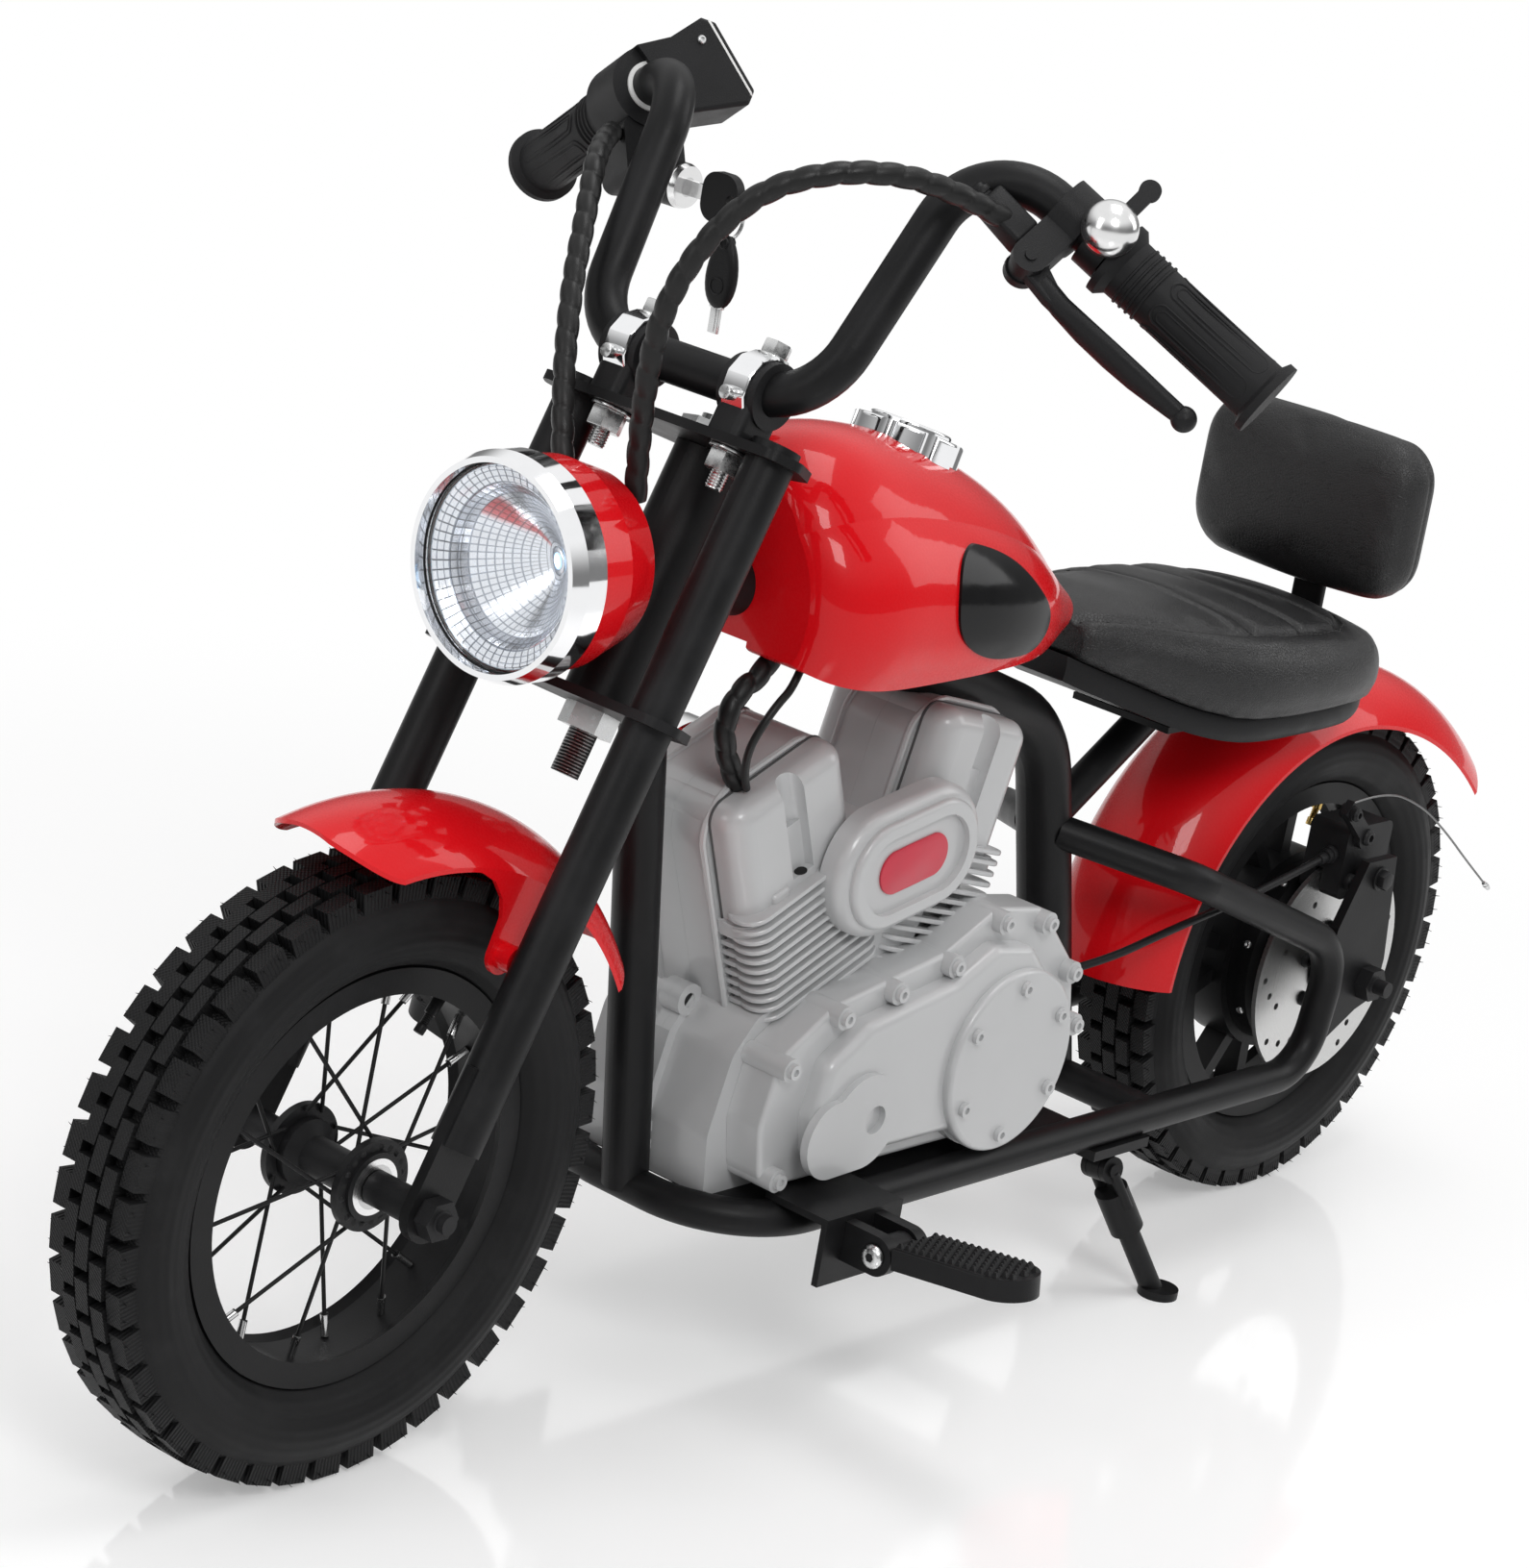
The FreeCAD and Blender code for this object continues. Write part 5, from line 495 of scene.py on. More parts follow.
NODE_FINISHES = {
    "red_paint": ["fuel_tank", "front_fender", "rear_fender", "headlight_bucket"],
    "black_coat": ["frame_spine", "frame_cradle", "peg_mounts", "fork_clamp_plates", "fork_legs",
                   "handlebar", "kickstand_leg", "backrest_post", "front_rim", "rear_rim", "hub_motor"],
    "black_cast": ["front_hub", "brake_caliper", "caliper_arm", "bar_clamps", "front_axle", "rear_axle"],
    "spoke_wire": ["front_spokes"],
    "black_plastic": ["seat_pan", "throttle_housing", "lever_bracket", "brake_lever", "bell_lever",
                      "left_peg", "right_peg", "battery_pack", "motor_controller", "spare_key"],
    "lock_ring": ["ignition_lock"],
    "key_metal": ["ignition_key"],
    "grey_moulding": ["engine_casing_left", "engine_casing_right", "primary_cover", "intake_cover",
                      "casing_screws"],
    "chrome": ["headlight_bezel", "tank_cap"],
    "air_cleaner": ["air_cleaner"],
    "bell_plate": ["bell"],
    "stem_steel": ["steering_stem"],
    "disc_steel": ["brake_disc"],
    "bearing_steel": ["front_bearings"],
    "front_rubber": ["front_tyre"],
    "rear_rubber": ["rear_tyre"],
    "grip_rubber": ["left_grip", "throttle_grip"],
    "badge_black": ["tank_badges"],
    "clear_lens": ["headlight_lens"],
    "reflector": ["headlight_reflector"],
    "leather": ["seat_cushion", "backrest_pad"],
    "spiral_wrap": ["harness_left", "harness_right", "lower_harness", "brake_cable"],
}

FINISHES = {}


def new_material(name):
    material = bpy.data.materials.new(name)
    material.use_nodes = True
    return material


def finish(name):
    """A finish by name, made the first time it is asked for."""
    if name not in FINISHES:
        FINISHES[name] = new_material(name)
        MAKERS[name](Finish(FINISHES[name].node_tree))
    return FINISHES[name]


def dress(piece, body, look, nodes=()):
    """Finish an object as a piece that rides on a body and may stand for CAD nodes."""
    piece.data.materials.clear()
    piece.data.materials.append(finish(look))
    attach(piece, body)
    if nodes:
        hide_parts(*nodes)


def add_object(name, mesh):
    thing = bpy.data.objects.new(name, mesh)
    bpy.context.scene.collection.objects.link(thing)
    return thing


def add_piece(name, shape, body, look, place=MM, sharp=40, nodes=()):
    """A bmesh, or a list of placed ones, as a finished piece; edges over an angle stay sharp."""
    bm = gather(shape) if isinstance(shape, list) else shape
    piece = add_object(name, mesh_from(bm, name, place, sharp))
    dress(piece, body, look, nodes)
    return piece


def mesh_from(bm, name, place, sharp=40):
    """Close a bmesh into a placed mesh with outward faces."""
    bmesh.ops.recalc_face_normals(bm, faces=bm.faces)
    mesh = bpy.data.meshes.new(name)
    bm.to_mesh(mesh)
    bm.free()
    mesh.transform(place)
    if place.determinant() < 0:
        mesh.flip_normals()
    mesh.shade_smooth()
    mesh.set_sharp_from_angle(angle=math.radians(sharp))
    return mesh


def gather(parts):
    """Join bmeshes, each moved to its place."""
    whole = bmesh.new()
    for part, place in parts:
        mesh = bpy.data.meshes.new("part")
        part.to_mesh(mesh)
        part.free()
        mesh.transform(place)
        whole.from_mesh(mesh)
        bpy.data.meshes.remove(mesh)
    return whole


def soften(bm, edges, width, segments=2):
    if width:
        bmesh.ops.bevel(bm, geom=list(edges), offset=width, offset_type="OFFSET", segments=segments,
                        profile=0.5, affect="EDGES", material=-1)


def upright_edges(bm):
    """Edges of a flat plate that run through its thickness."""
    return [rim for rim in bm.edges if abs((rim.verts[0].co - rim.verts[1].co).z) > 1]


def rod(radius, low, high, sides=24, edge=0.0, tip=None):
    """Round bar on Z; six sides make a nut or bolt head."""
    bm = bmesh.new()
    bmesh.ops.create_cone(bm, cap_ends=True, segments=sides, radius1=radius,
                          radius2=radius if tip is None else tip, depth=high - low,
                          matrix=shift(0, 0, (low + high) / 2))
    rims = {rim for face in bm.faces if abs(face.normal.z) > 0.9 for rim in face.edges}
    soften(bm, rims, edge)
    return bm


def spin_round(bm, geom, steps):
    """Spin a profile about Z into a closed surface."""
    bmesh.ops.spin(bm, geom=geom, cent=(0, 0, 0), axis=(0, 0, 1), angle=FULL_TURN, steps=steps,
                   use_merge=True)
    bmesh.ops.remove_doubles(bm, verts=bm.verts, dist=1e-5)


def lathe(profile, sides=48):
    """Spin (radius, along) points about Z."""
    bm = bmesh.new()
    verts = [bm.verts.new((radius, 0.0, along)) for radius, along in profile]
    edges = [bm.edges.new(pair) for pair in zip(verts, verts[1:])]
    spin_round(bm, verts + edges, sides)
    bmesh.ops.dissolve_degenerate(bm, edges=bm.edges, dist=1e-5)
    return bm


def torus(ring, tube, steps=40, sides=8):
    bm = bmesh.new()
    bmesh.ops.create_circle(bm, cap_ends=False, segments=sides, radius=tube,
                            matrix=shift(ring) @ turned(90, "X"))
    spin_round(bm, bm.verts[:] + bm.edges[:], steps)
    return bm


def stretch(bm, reach, axis=0):
    """Pull the two halves of a round shape apart along an axis into a stadium."""
    for sign in (1, -1):
        for vert in bm.verts:
            if vert.co[axis] * sign > 1e-4:
                vert.co[axis] += sign * reach
    return bm


def box(length, width, height, edge=0.0, segments=2):
    """Block that stands on XY, centred on Z."""
    bm = bmesh.new()
    bmesh.ops.create_cube(bm, size=1.0,
                          matrix=shift(0, 0, height / 2) @ Matrix.Diagonal((length, width, height, 1)))
    soften(bm, bm.edges, edge, segments)
    return bm


def socket_screw(radius, height, socket):
    """Button head with a six-sided socket, standing on XY."""
    bm = lathe([(0, 0), (radius, 0), (radius, height * 0.45), (radius * 0.82, height * 0.85),
                (radius * 0.7, height), (socket, height), (socket, height * 0.35), (0, height * 0.35)], 18)
    for vert in bm.verts:
        if abs(vert.co.xy.length - socket) < 1e-3:
            turn = math.atan2(vert.co.y, vert.co.x) % (math.pi / 3) - math.pi / 6
            vert.co.xy *= 0.9 / math.cos(turn)
    return bm


def hex_bolt(across, height, washer):
    """Chamfered six-sided head on a washer, standing on XY."""
    return gather([(rod(across / math.sqrt(3), 0, height, 6, height * 0.12), STILL),
                   (rod(washer, -1.4, 0.05, 28, 0.3), STILL)])


def threaded(radius, length, pitch):
    """Screw end on Z, down from XY."""
    profile = [(0, 0), (radius, 0)]
    for step in range(int(length / pitch)):
        profile += [(radius, -step * pitch), (radius * 0.86, -(step + 0.5) * pitch)]
    profile += [(radius * 0.86, -length), (0, -length)]
    return lathe(profile, 20)


class MOTORBIKE_OT_finishes(bpy.types.Operator):
    """Give every CAD node its finish"""

    bl_idname = "motorbike.finishes"
    bl_label = "Node finishes"

    def execute(self, context):
        for look, names in NODE_FINISHES.items():
            for name in names:
                for slot in NODES[name].material_slots:
                    slot.material = finish(look)
        return {"FINISHED"}


# Cable routes, in millimetres, as in the part's source; the last two are only here
HARNESS_LEFT = [(161.8, 125.5, 656.5), (202, 113, 674), (248, 90, 676), (279, 60, 658), (295, 35, 610),
                (288, 20, 554), (276, 17, 495)]
HARNESS_RIGHT = [(157, -141, 640), (192, -118, 640), (222, -92, 612), (249, -70, 574), (270, -46, 530),
                 (278, -30, 492)]
HARNESS_LOWER = [(146, 24, 430), (160, 24, 398), (184, 24, 388), (190, 24, 362), (170, 24, 337)]
BRAKE_CABLE = [(-101.2, 30, 186), (-150, 48, 196), (-205, 57, 212), (-262, 58, 220), (-320, 56, 228),
               (-370.8, 53, 236)]
HEAD_LEAD = [(150, 42, 430), (160, 45, 399), (184, 49, 386), (192, 42, 358), (172, 32, 338)]
BRAKE_WIRE = [(-361.6, 65, 272.6), (-396, 66, 277), (-440, 66, 262), (-482, 63, 238), (-520, 61, 212),
              (-552, 60, 191)]

# Spiral wrap, in metres: radius in its groove, and the rise of each turn above it
WRAP_RADIUS = 0.0045
WRAP_RISE = 0.0014


def evaluated_mesh(thing):
    """Mesh of an object with its modifiers or curve worked out."""
    bpy.context.view_layer.update()
    return bpy.data.meshes.new_from_object(thing.evaluated_get(bpy.context.evaluated_depsgraph_get()))


def route_line(points):
    """Points along the smooth curve that has the route's points as its control points."""
    data = bpy.data.curves.new("route", "CURVE")
    data.dimensions = "3D"
    data.resolution_u = 48
    spline = data.splines.new("NURBS")
    spline.points.add(len(points) - 1)
    for point, corner in zip(spline.points, points):
        point.co = (*mm(*corner), 1.0)
    spline.order_u = 3
    spline.use_endpoint_u = True
    curve = add_object("route", data)
    mesh = evaluated_mesh(curve)
    line = [vertex.co.copy() for vertex in mesh.vertices]
    bpy.data.objects.remove(curve)
    bpy.data.curves.remove(data)
    bpy.data.meshes.remove(mesh)
    return line


def line_frames(line):
    """A frame at each point of a line, with Z along it and no twist."""
    frames = []
    side = None
    for index, point in enumerate(line):
        ahead = (line[min(index + 1, len(line) - 1)] - line[max(index - 1, 0)]).normalized()
        if side is None:
            side = ahead.orthogonal().normalized()
        side = (side - ahead * side.dot(ahead)).normalized()
        frames.append(Matrix.Translation(point) @ axes(side, ahead.cross(side), ahead))
    return frames


def ringed_tube(line, radius_at, sides):
    """Rings along a line, bridged into a closed tube; radius_at gives the radius for (distance, angle)."""
    bm = bmesh.new()
    loops = []
    gone = 0.0
    before = line[0]
    for place in line_frames(line):
        gone += (place.translation - before).length
        before = place.translation.copy()
        ring = bmesh.ops.create_circle(bm, cap_ends=False, radius=1.0, segments=sides)["verts"]
        for index, vert in enumerate(ring):
            angle = FULL_TURN * index / sides
            reach = radius_at(gone, angle)
            vert.co = place @ Vector((reach * math.cos(angle), reach * math.sin(angle), 0.0))
        loops.append(ring)
    for ring, after in zip(loops, loops[1:]):
        edges = {edge for vert in (*ring, *after) for edge in vert.link_edges}
        rim = [edge for edge in edges if any(edge.verts[0] in loop and edge.verts[1] in loop
                                             for loop in (ring, after))]
        bmesh.ops.bridge_loops(bm, edges=rim)
    bmesh.ops.holes_fill(bm, edges=[edge for edge in bm.edges if edge.is_boundary], sides=0)
    return bm


class MOTORBIKE_OT_cables(bpy.types.Operator):
    """Spiral wrapped harnesses, the brake cable and thin leads along their routes"""

    bl_idname = "motorbike.cables"
    bl_label = "Cables"

    def execute(self, context):
        pitch = sizes().wrap_pitch

        def wrapped(gone, angle):
            turn = (gone / pitch + angle / FULL_TURN) % 1.0
            return WRAP_RADIUS + WRAP_RISE * math.sin(math.pi * turn) ** 0.4

        for name, points, body in (("harness_left", HARNESS_LEFT, "steering"),
                                   ("harness_right", HARNESS_RIGHT, "steering"),
                                   ("lower_harness", HARNESS_LOWER, "frame")):
            self.lay(name + "_wrap", points, 0.0118, body, "spiral_wrap", 18, "medium", [name], shape=wrapped)
        self.lay("brake_cable_sheath", BRAKE_CABLE, 0.0048, "frame", "black_plastic", 12, "stiff",
                 ["brake_cable"])
        self.lay("head_lead", HEAD_LEAD, 0.0044, "frame", "spiral_wrap", 12, "medium")
        start, end = [Vector(point) for point in BRAKE_WIRE[-2:]]
        crimp = [(rod(1.5, -5, 4, 12, 0.4), STILL), (rod(1.9, -2, 1, 12, 0.3), STILL)]
        crimp = add_piece("brake_wire_crimp", crimp, "caliper_arm", "zinc",
                          MM @ facing(end - start, end))
        self.lay("brake_wire", BRAKE_WIRE, 0.0014, "caliper_arm", "wire_steel", 8, "stiff", far_end="fitting",
                 on_it=[crimp])
        return {"FINISHED"}

    def lay(self, name, points, width, body, look, sides, stiffness, nodes=(), far_end="object", on_it=(),
            shape=None):
        """One cable along its route, round unless a shape gives its radius."""
        line = route_line(points)
        bm = ringed_tube(line, shape or (lambda gone, angle: width / 2), sides)
        piece = add_piece(name, bm, body, look, STILL, 60, nodes)


# Padding: size of the remeshed faces, length of the cloth run, how far a resting face sinks, and firmness
PAD_VOXEL = 0.004
CLOTH_STEPS = 20
CLOTH_QUALITY = 5
HELD_SINK = 0.0004


def bake_modifiers(pad):
    """Replace an object's mesh by its evaluated one, with no modifiers left."""
    shape = evaluated_mesh(pad)
    old = pad.data
    pad.modifiers.clear()
    pad.data = shape
    bpy.data.meshes.remove(old)


def padded_copy(node, name, shrink, pressure, cap, held):
    """Copy of a soft CAD solid, remeshed and blown up by a short cloth run.

    No point moves further than the cap, and faces that look the held way stay flat.
    """
    bm = bmesh.new()
    bm.from_mesh(NODES[node].data)
    bmesh.ops.remove_doubles(bm, verts=bm.verts, dist=1e-6)
    mesh = bpy.data.meshes.new(name)
    bm.to_mesh(mesh)
    bm.free()
    pad = add_object(name, mesh)
    remesh = pad.modifiers.new("Remesh", "REMESH")
    remesh.mode = "VOXEL"
    remesh.voxel_size = PAD_VOXEL
    remesh.use_smooth_shade = True
    bake_modifiers(pad)
    rest = [vertex.co.copy() for vertex in pad.data.vertices]
    normals = [vertex.normal.copy() for vertex in pad.data.vertices]
    for vertex, normal in zip(pad.data.vertices, normals):
        vertex.co -= normal * shrink
    settings = pad.modifiers.new("Cloth", "CLOTH").settings
    settings.use_pressure = True
    settings.uniform_pressure_force = pressure
    settings.effector_weights.gravity = 0.0
    settings.quality = CLOTH_QUALITY
    scene = bpy.context.scene
    for step in range(1, CLOTH_STEPS + 1):
        scene.frame_set(step)
    bake_modifiers(pad)
    scene.frame_set(1)
    for vertex, home, normal in zip(pad.data.vertices, rest, normals):
        move = vertex.co - home
        if normal.dot(Vector(held)) > 0.5:
            vertex.co = home - normal * HELD_SINK
        elif move.length > cap:
            vertex.co = home + move.normalized() * cap
    smoother = pad.modifiers.new("Subdivision", "SUBSURF")
    smoother.levels = 1
    smoother.render_levels = 1
    bake_modifiers(pad)
    return pad


def settle(pad, node):
    """Finish a padded object in place of its CAD node."""
    pad.data.shade_smooth()
    dress(pad, "frame", "leather", [node])


# Sewn border of the seat's top panel, left half in plan, in millimetres, and the channels across it
SEAT_SEAM = [(-108, 20), (-120, 30), (-135, 39), (-155, 49), (-180, 57), (-210, 64), (-245, 67.5),
             (-280, 67), (-305, 63), (-322, 54.5), (-333, 42), (-339, 22), (-340, 0)]
SEAT_CHANNELS = (-220, -265, -310)
SEAM_SPREAD = 2.2
CHANNEL_SPREAD = 2.6

# Where the rolls between the channels begin, and how far they rise, in metres
ROLLS_START = -205
ROLL_RISE = 0.0014
STITCH_GAP = 0.0016
STITCH_RADIUS = 0.42

# Seam round the backrest: its place along the bike and spread in millimetres, its depth in metres
BACK_SEAM = -356
BACK_SEAM_SPREAD = 1.6
BACK_SEAM_DEPTH = 0.0016


def seam_width(along):
    """Half width of the sewn panel at a place along the bike."""
    for (ahead, wide), (behind, narrow) in zip(SEAT_SEAM, SEAT_SEAM[1:]):
        if behind <= along <= ahead:
            return wide + (narrow - wide) * (ahead - along) / (ahead - behind)
    return 0.0


def seam_distance(along, left):
    """Distance in plan to the sewn border."""
    point = Vector((along, abs(left)))
    best = 1000.0
    for first, second in zip(SEAT_SEAM, SEAT_SEAM[1:]):
        start = Vector(first)
        run = Vector(second) - start
        share = max(0.0, min(1.0, (point - start).dot(run) / run.length_squared))
        best = min(best, (point - start - run * share).length)
    return best


def seat_sink(along, left, depth):
    """How far the seat's top is drawn in by its seam and channels, less the rise of the rolls."""
    sink = 0.7 * depth * math.exp(-(seam_distance(along, left) / SEAM_SPREAD) ** 2)
    inside = seam_width(along) - abs(left)
    if inside > -1:
        fade = min(1.0, max(0.0, inside + 1) / 6)
        near = min(abs(along - channel) for channel in SEAT_CHANNELS)
        sink = max(sink, fade * depth * math.exp(-(near / CHANNEL_SPREAD) ** 2))
        if along < ROLLS_START:
            sink -= fade * ROLL_RISE * min(1.0, near / 20) ** 0.5
    return sink


def stitch_row(tree, points, length):
    """Short threads along a line of points, laid on the surface that a tree holds."""
    threads = []
    gone = 0.0
    for first, second in zip(points, points[1:]):
        run = second - first
        while gone < run.length:
            spot, normal = tree.ray_cast(first + run.normalized() * gone - DOWN * 0.1, DOWN)[:2]
            if spot is not None:
                thread = rod(STITCH_RADIUS, -length * 500, length * 500, 6, 0.3)
                threads.append((thread, facing(run, spot * 1000 + normal * 0.1)))
            gone += length + STITCH_GAP
        gone -= run.length
    return threads


class MOTORBIKE_OT_seat(bpy.types.Operator):
    """Padded seat with a sewn border and three channels"""

    bl_idname = "motorbike.seat"
    bl_label = "Seat"

    def execute(self, context):
        pad = padded_copy("seat_cushion", "seat_padding", 0.0006, 1.5, 0.0012, DOWN)
        for vertex in pad.data.vertices:
            if vertex.normal.z >= 0.25:
                along, left, _ = vertex.co * 1000
                vertex.co.z -= seat_sink(along, left, sizes().channel_depth)
        settle(pad, "seat_cushion")
        tree = BVHTree.FromPolygons([vertex.co for vertex in pad.data.vertices],
                                    [tuple(face.vertices) for face in pad.data.polygons])
        threads = []
        for sign in (1, -1):
            outer = [mm(along - 1.2, sign * (left + 2.6), 500) for along, left in SEAT_SEAM[:-1]]
            threads += stitch_row(tree, outer, sizes().stitch_length)
        add_piece("seat_stitches", threads, "frame", "thread")
        return {"FINISHED"}


class MOTORBIKE_OT_backrest(bpy.types.Operator):
    """Padded backrest with a seam near its shell"""

    bl_idname = "motorbike.backrest"
    bl_label = "Backrest"

    def execute(self, context):
        pad = padded_copy("backrest_pad", "backrest_padding", 0.0012, 3.0, 0.004, (-1, 0, 0))
        for vertex in pad.data.vertices:
            if abs(vertex.normal.x) < 0.8:
                seam = math.exp(-((vertex.co.x * 1000 - BACK_SEAM) / BACK_SEAM_SPREAD) ** 2)
                vertex.co -= vertex.normal * BACK_SEAM_DEPTH * seam
        settle(pad, "backrest_pad")
        return {"FINISHED"}


# Headlight profiles as (radius, along) from the rim: lens, back of the dish, its middle, and the small lamp
LENS = [(0, -8.0), (30, -8.15), (41, -8.6), (43, -7.7), (50.8, -7.6), (50.8, -10.2), (42.5, -10.3), (0, -9.7)]
DISH_RIM = [(49.0, -11.2), (49.8, -10.6)]
DISH_BACK = [(49.8, -10.6), (49.9, -12.6), (42, -17.2), (8, -60), (0, -60)]
DISH_MIDDLE = [(8, -58), (5.2, -57), (0, -57)]
DIODE = [(0, -51.6), (2.2, -52.2), (3.3, -54), (3.4, -55)]


class MOTORBIKE_OT_headlight(bpy.types.Operator):
    """Clear lens, faceted reflector and its small lamp"""

    bl_idname = "motorbike.headlight"
    bl_label = "Headlight"

    def execute(self, context):
        place = MM @ facing((1, 0, 0), LAMP)
        add_piece("headlight_glass", lathe(LENS, 96), "steering", "clear_lens", place,
                  nodes=["headlight_lens"])
        dish = [(DISH_BOTTOM + DISH_STEP * step, -58 + 43 * (step / DISH_ROWS) ** 1.7)
                for step in range(DISH_ROWS + 1)]
        bowl = lathe(dish + DISH_RIM, DISH_CELLS)
        bmesh.ops.recalc_face_normals(bowl, faces=bowl.faces)
        if bowl.faces[0].normal.z < 0:
            bmesh.ops.reverse_faces(bowl, faces=bowl.faces)
        cells = [face for face in bowl.faces if face.calc_center_median().xy.length < 48]
        bmesh.ops.inset_individual(bowl, faces=cells, thickness=0.3, depth=0.7)
        bowl = gather([(bowl, STILL), (lathe(DISH_BACK, DISH_CELLS), STILL),
                       (lathe(DISH_MIDDLE, DISH_CELLS), STILL)])
        bmesh.ops.remove_doubles(bowl, verts=bowl.verts, dist=1e-4)
        add_piece("headlight_dish", bowl, "steering", "reflector", place, 60,
                  ["headlight_reflector"])
        lamp = [(rod(4.6, -57.2, -55, 20, 0.6), STILL), (lathe(DIODE, 20), STILL)]
        add_piece("headlight_diode", lamp, "steering", "diode_glow", place)
        add_piece("headlight_seal", torus(51.4, 0.9, 96), "steering", "grip_rubber",
                  place @ shift(0, 0, -6.6))
        return {"FINISHED"}


# Handlebar clamps in the fork's frame: middle of the left one, and the face that its nut lies under
CLAMP = (2, 40, 430)
CLAMP_FLOOR = 398.3


def clamp_strap():
    """Band bent round the front of a clamp."""
    strap = bmesh.new()
    bmesh.ops.create_grid(strap, x_segments=1, y_segments=1, size=1.0,
                          matrix=shift(18.4) @ Matrix.Diagonal((1.2, 7.5, 1, 1)))
    bmesh.ops.spin(strap, geom=strap.faces[:], cent=(0, 0, 0), axis=(0, -1, 0), angle=math.radians(160),
                   steps=5)
    bmesh.ops.remove_doubles(strap, verts=strap.verts, dist=1e-4)
    bmesh.ops.holes_fill(strap, edges=[rim for rim in strap.edges if rim.is_boundary], sides=0)
    bent = [rim for rim in strap.edges if rim.is_manifold and rim.calc_face_angle(0) > 0.3]
    soften(strap, bent, 0.7, 1)
    return strap


class MOTORBIKE_OT_clamps(bpy.types.Operator):
    """Plated straps, bolts and nuts of the handlebar clamps"""

    bl_idname = "motorbike.clamps"
    bl_label = "Handlebar clamps"

    def execute(self, context):
        straps = []
        bolts = []
        ahead, left, height = CLAMP
        for side in (1, -1):
            middle = shift(ahead, left * side, height)
            straps.append((clamp_strap(), middle @ turned(56, "Y")))
            face = middle @ facing((0.97, 0, -0.25), (15.5, 0, -7))
            under = shift(ahead, left * side, CLAMP_FLOOR)
            down = under @ facing(DOWN)
            bolts += [(rod(3.7, 0, 8.2, 20, 0.6), face),
                      (box(6, 1.2, 0.9), face @ shift(0, 0, 7.6)),
                      (hex_bolt(13, 7.5, 8.5), middle @ shift(0, 0, 18.6)),
                      (rod(11, 0, 1.6, 28, 0.4), down),
                      (rod(16.6 / math.sqrt(3), 1.6, 12.3, 6, 1.0), down),
                      (threaded(4.7, 9, 1.5), under @ shift(0, 0, -12))]
        add_piece("clamp_straps", straps, "steering", "chrome", FORK_MM, 20)
        add_piece("clamp_bolts", bolts, "steering", "zinc", FORK_MM, 30)
        return {"FINISHED"}


# Grip panels: half length, half width, thickness of the line and radius that it lies on; rings near the end
GRIP_PANELS = ((30, 5.6, 0.75, 15.3), (26.5, 3.4, 0.6, 15.2))
GRIP_RINGS = (76, 80, 84, 88)


def oval_ridge(half_length, half_width, tube, radius):
    """Raised oval line wrapped round a bar on Z; it starts at angle 0."""
    bm = stretch(torus(half_width, tube, 24, 6), half_length - half_width)
    for vert in bm.verts:
        turn = vert.co.y / radius
        reach = radius + vert.co.z
        vert.co = (reach * math.cos(turn), reach * math.sin(turn), vert.co.x)
    return bm


class MOTORBIKE_OT_grips(bpy.types.Operator):
    """Raised oval panels and end lips of the hand grips"""

    bl_idname = "motorbike.grips"
    bl_label = "Hand grips"

    def execute(self, context):
        for name, side, body in (("left_grip", 1, "steering"), ("throttle_grip", -1, "throttle")):
            parts = []
            for step in range(6):
                turn = Matrix.Rotation(step * math.pi / 3 + 0.4, 4, "Z")
                parts += [(oval_ridge(*panel), turn @ shift(0, 0, 40)) for panel in GRIP_PANELS]
            parts += [(torus(15.8, 0.9, 40, 6), shift(0, 0, along)) for along in GRIP_RINGS]
            add_piece(name + "_panels", parts, body, "grip_rubber",
                      MM @ bar_frame(side, 0, (0, 0, 1)))
        return {"FINISHED"}


# Brake lever in the frame of its bracket: along the bar, ahead of it, half width, half thickness
LEVER_BLADE = [(-3, 38.9, 4.6, 5.6), (-6, 39.4, 5.0, 5.6), (-18, 41.6, 6.4, 5.5), (-34, 42.4, 8.6, 5.4),
               (-52, 42.4, 9.4, 5.2), (-68, 42.0, 8.8, 5.0), (-82, 41.2, 7.2, 4.6), (-94, 40.4, 5.6, 4.4)]


class MOTORBIKE_OT_lever(bpy.types.Operator):
    """Broad blade of the brake lever and the body of its bracket"""

    bl_idname = "motorbike.lever"
    bl_label = "Brake lever"

    def execute(self, context):
        ends = [(0.0, LEVER_BLADE[0][0]), (0.0, LEVER_BLADE[-1][0])]
        blade = lathe(ends[:1] + [(1.0, row[0]) for row in LEVER_BLADE] + ends[1:], 24)
        for vert in blade.verts:
            _, ahead, width, thickness = min(LEVER_BLADE, key=lambda row: abs(row[0] - vert.co.z))
            vert.co.x = ahead + vert.co.x * thickness
            vert.co.y *= width
        place = MM @ LEVER_FRAME
        add_piece("lever_blade", blade, "brake_lever", "black_plastic", place, 50)
        perch = box(16, 15, 28, 2.4, 3)
        for vert in perch.verts:
            taper = max(0.0, vert.co.z - 5) / 23
            vert.co.x -= taper * 2.5
            vert.co.y *= 1 - 0.2 * taper
        barrel = shift(25, 0, 45)
        parts = [(perch, shift(27, 0, 17.5)), (rod(4.4, 0, 8, 18, 0.8), barrel),
                 (rod(5.6, 2, 5.4, 12, 0.6), barrel)]
        add_piece("lever_perch", parts, "steering", "black_plastic", place)
        return {"FINISHED"}


# Face of the battery display in the throttle's frame
DISPLAY = shift(18.5, -46.3, 19) @ axes((0.874, 0.486, 0), (0, 0, 1), (0.486, -0.874, 0))
LINER = [(11.2, 31.4), (13.6, 31.4), (13.6, 33.2), (11.2, 33.2), (11.2, 31.4)]


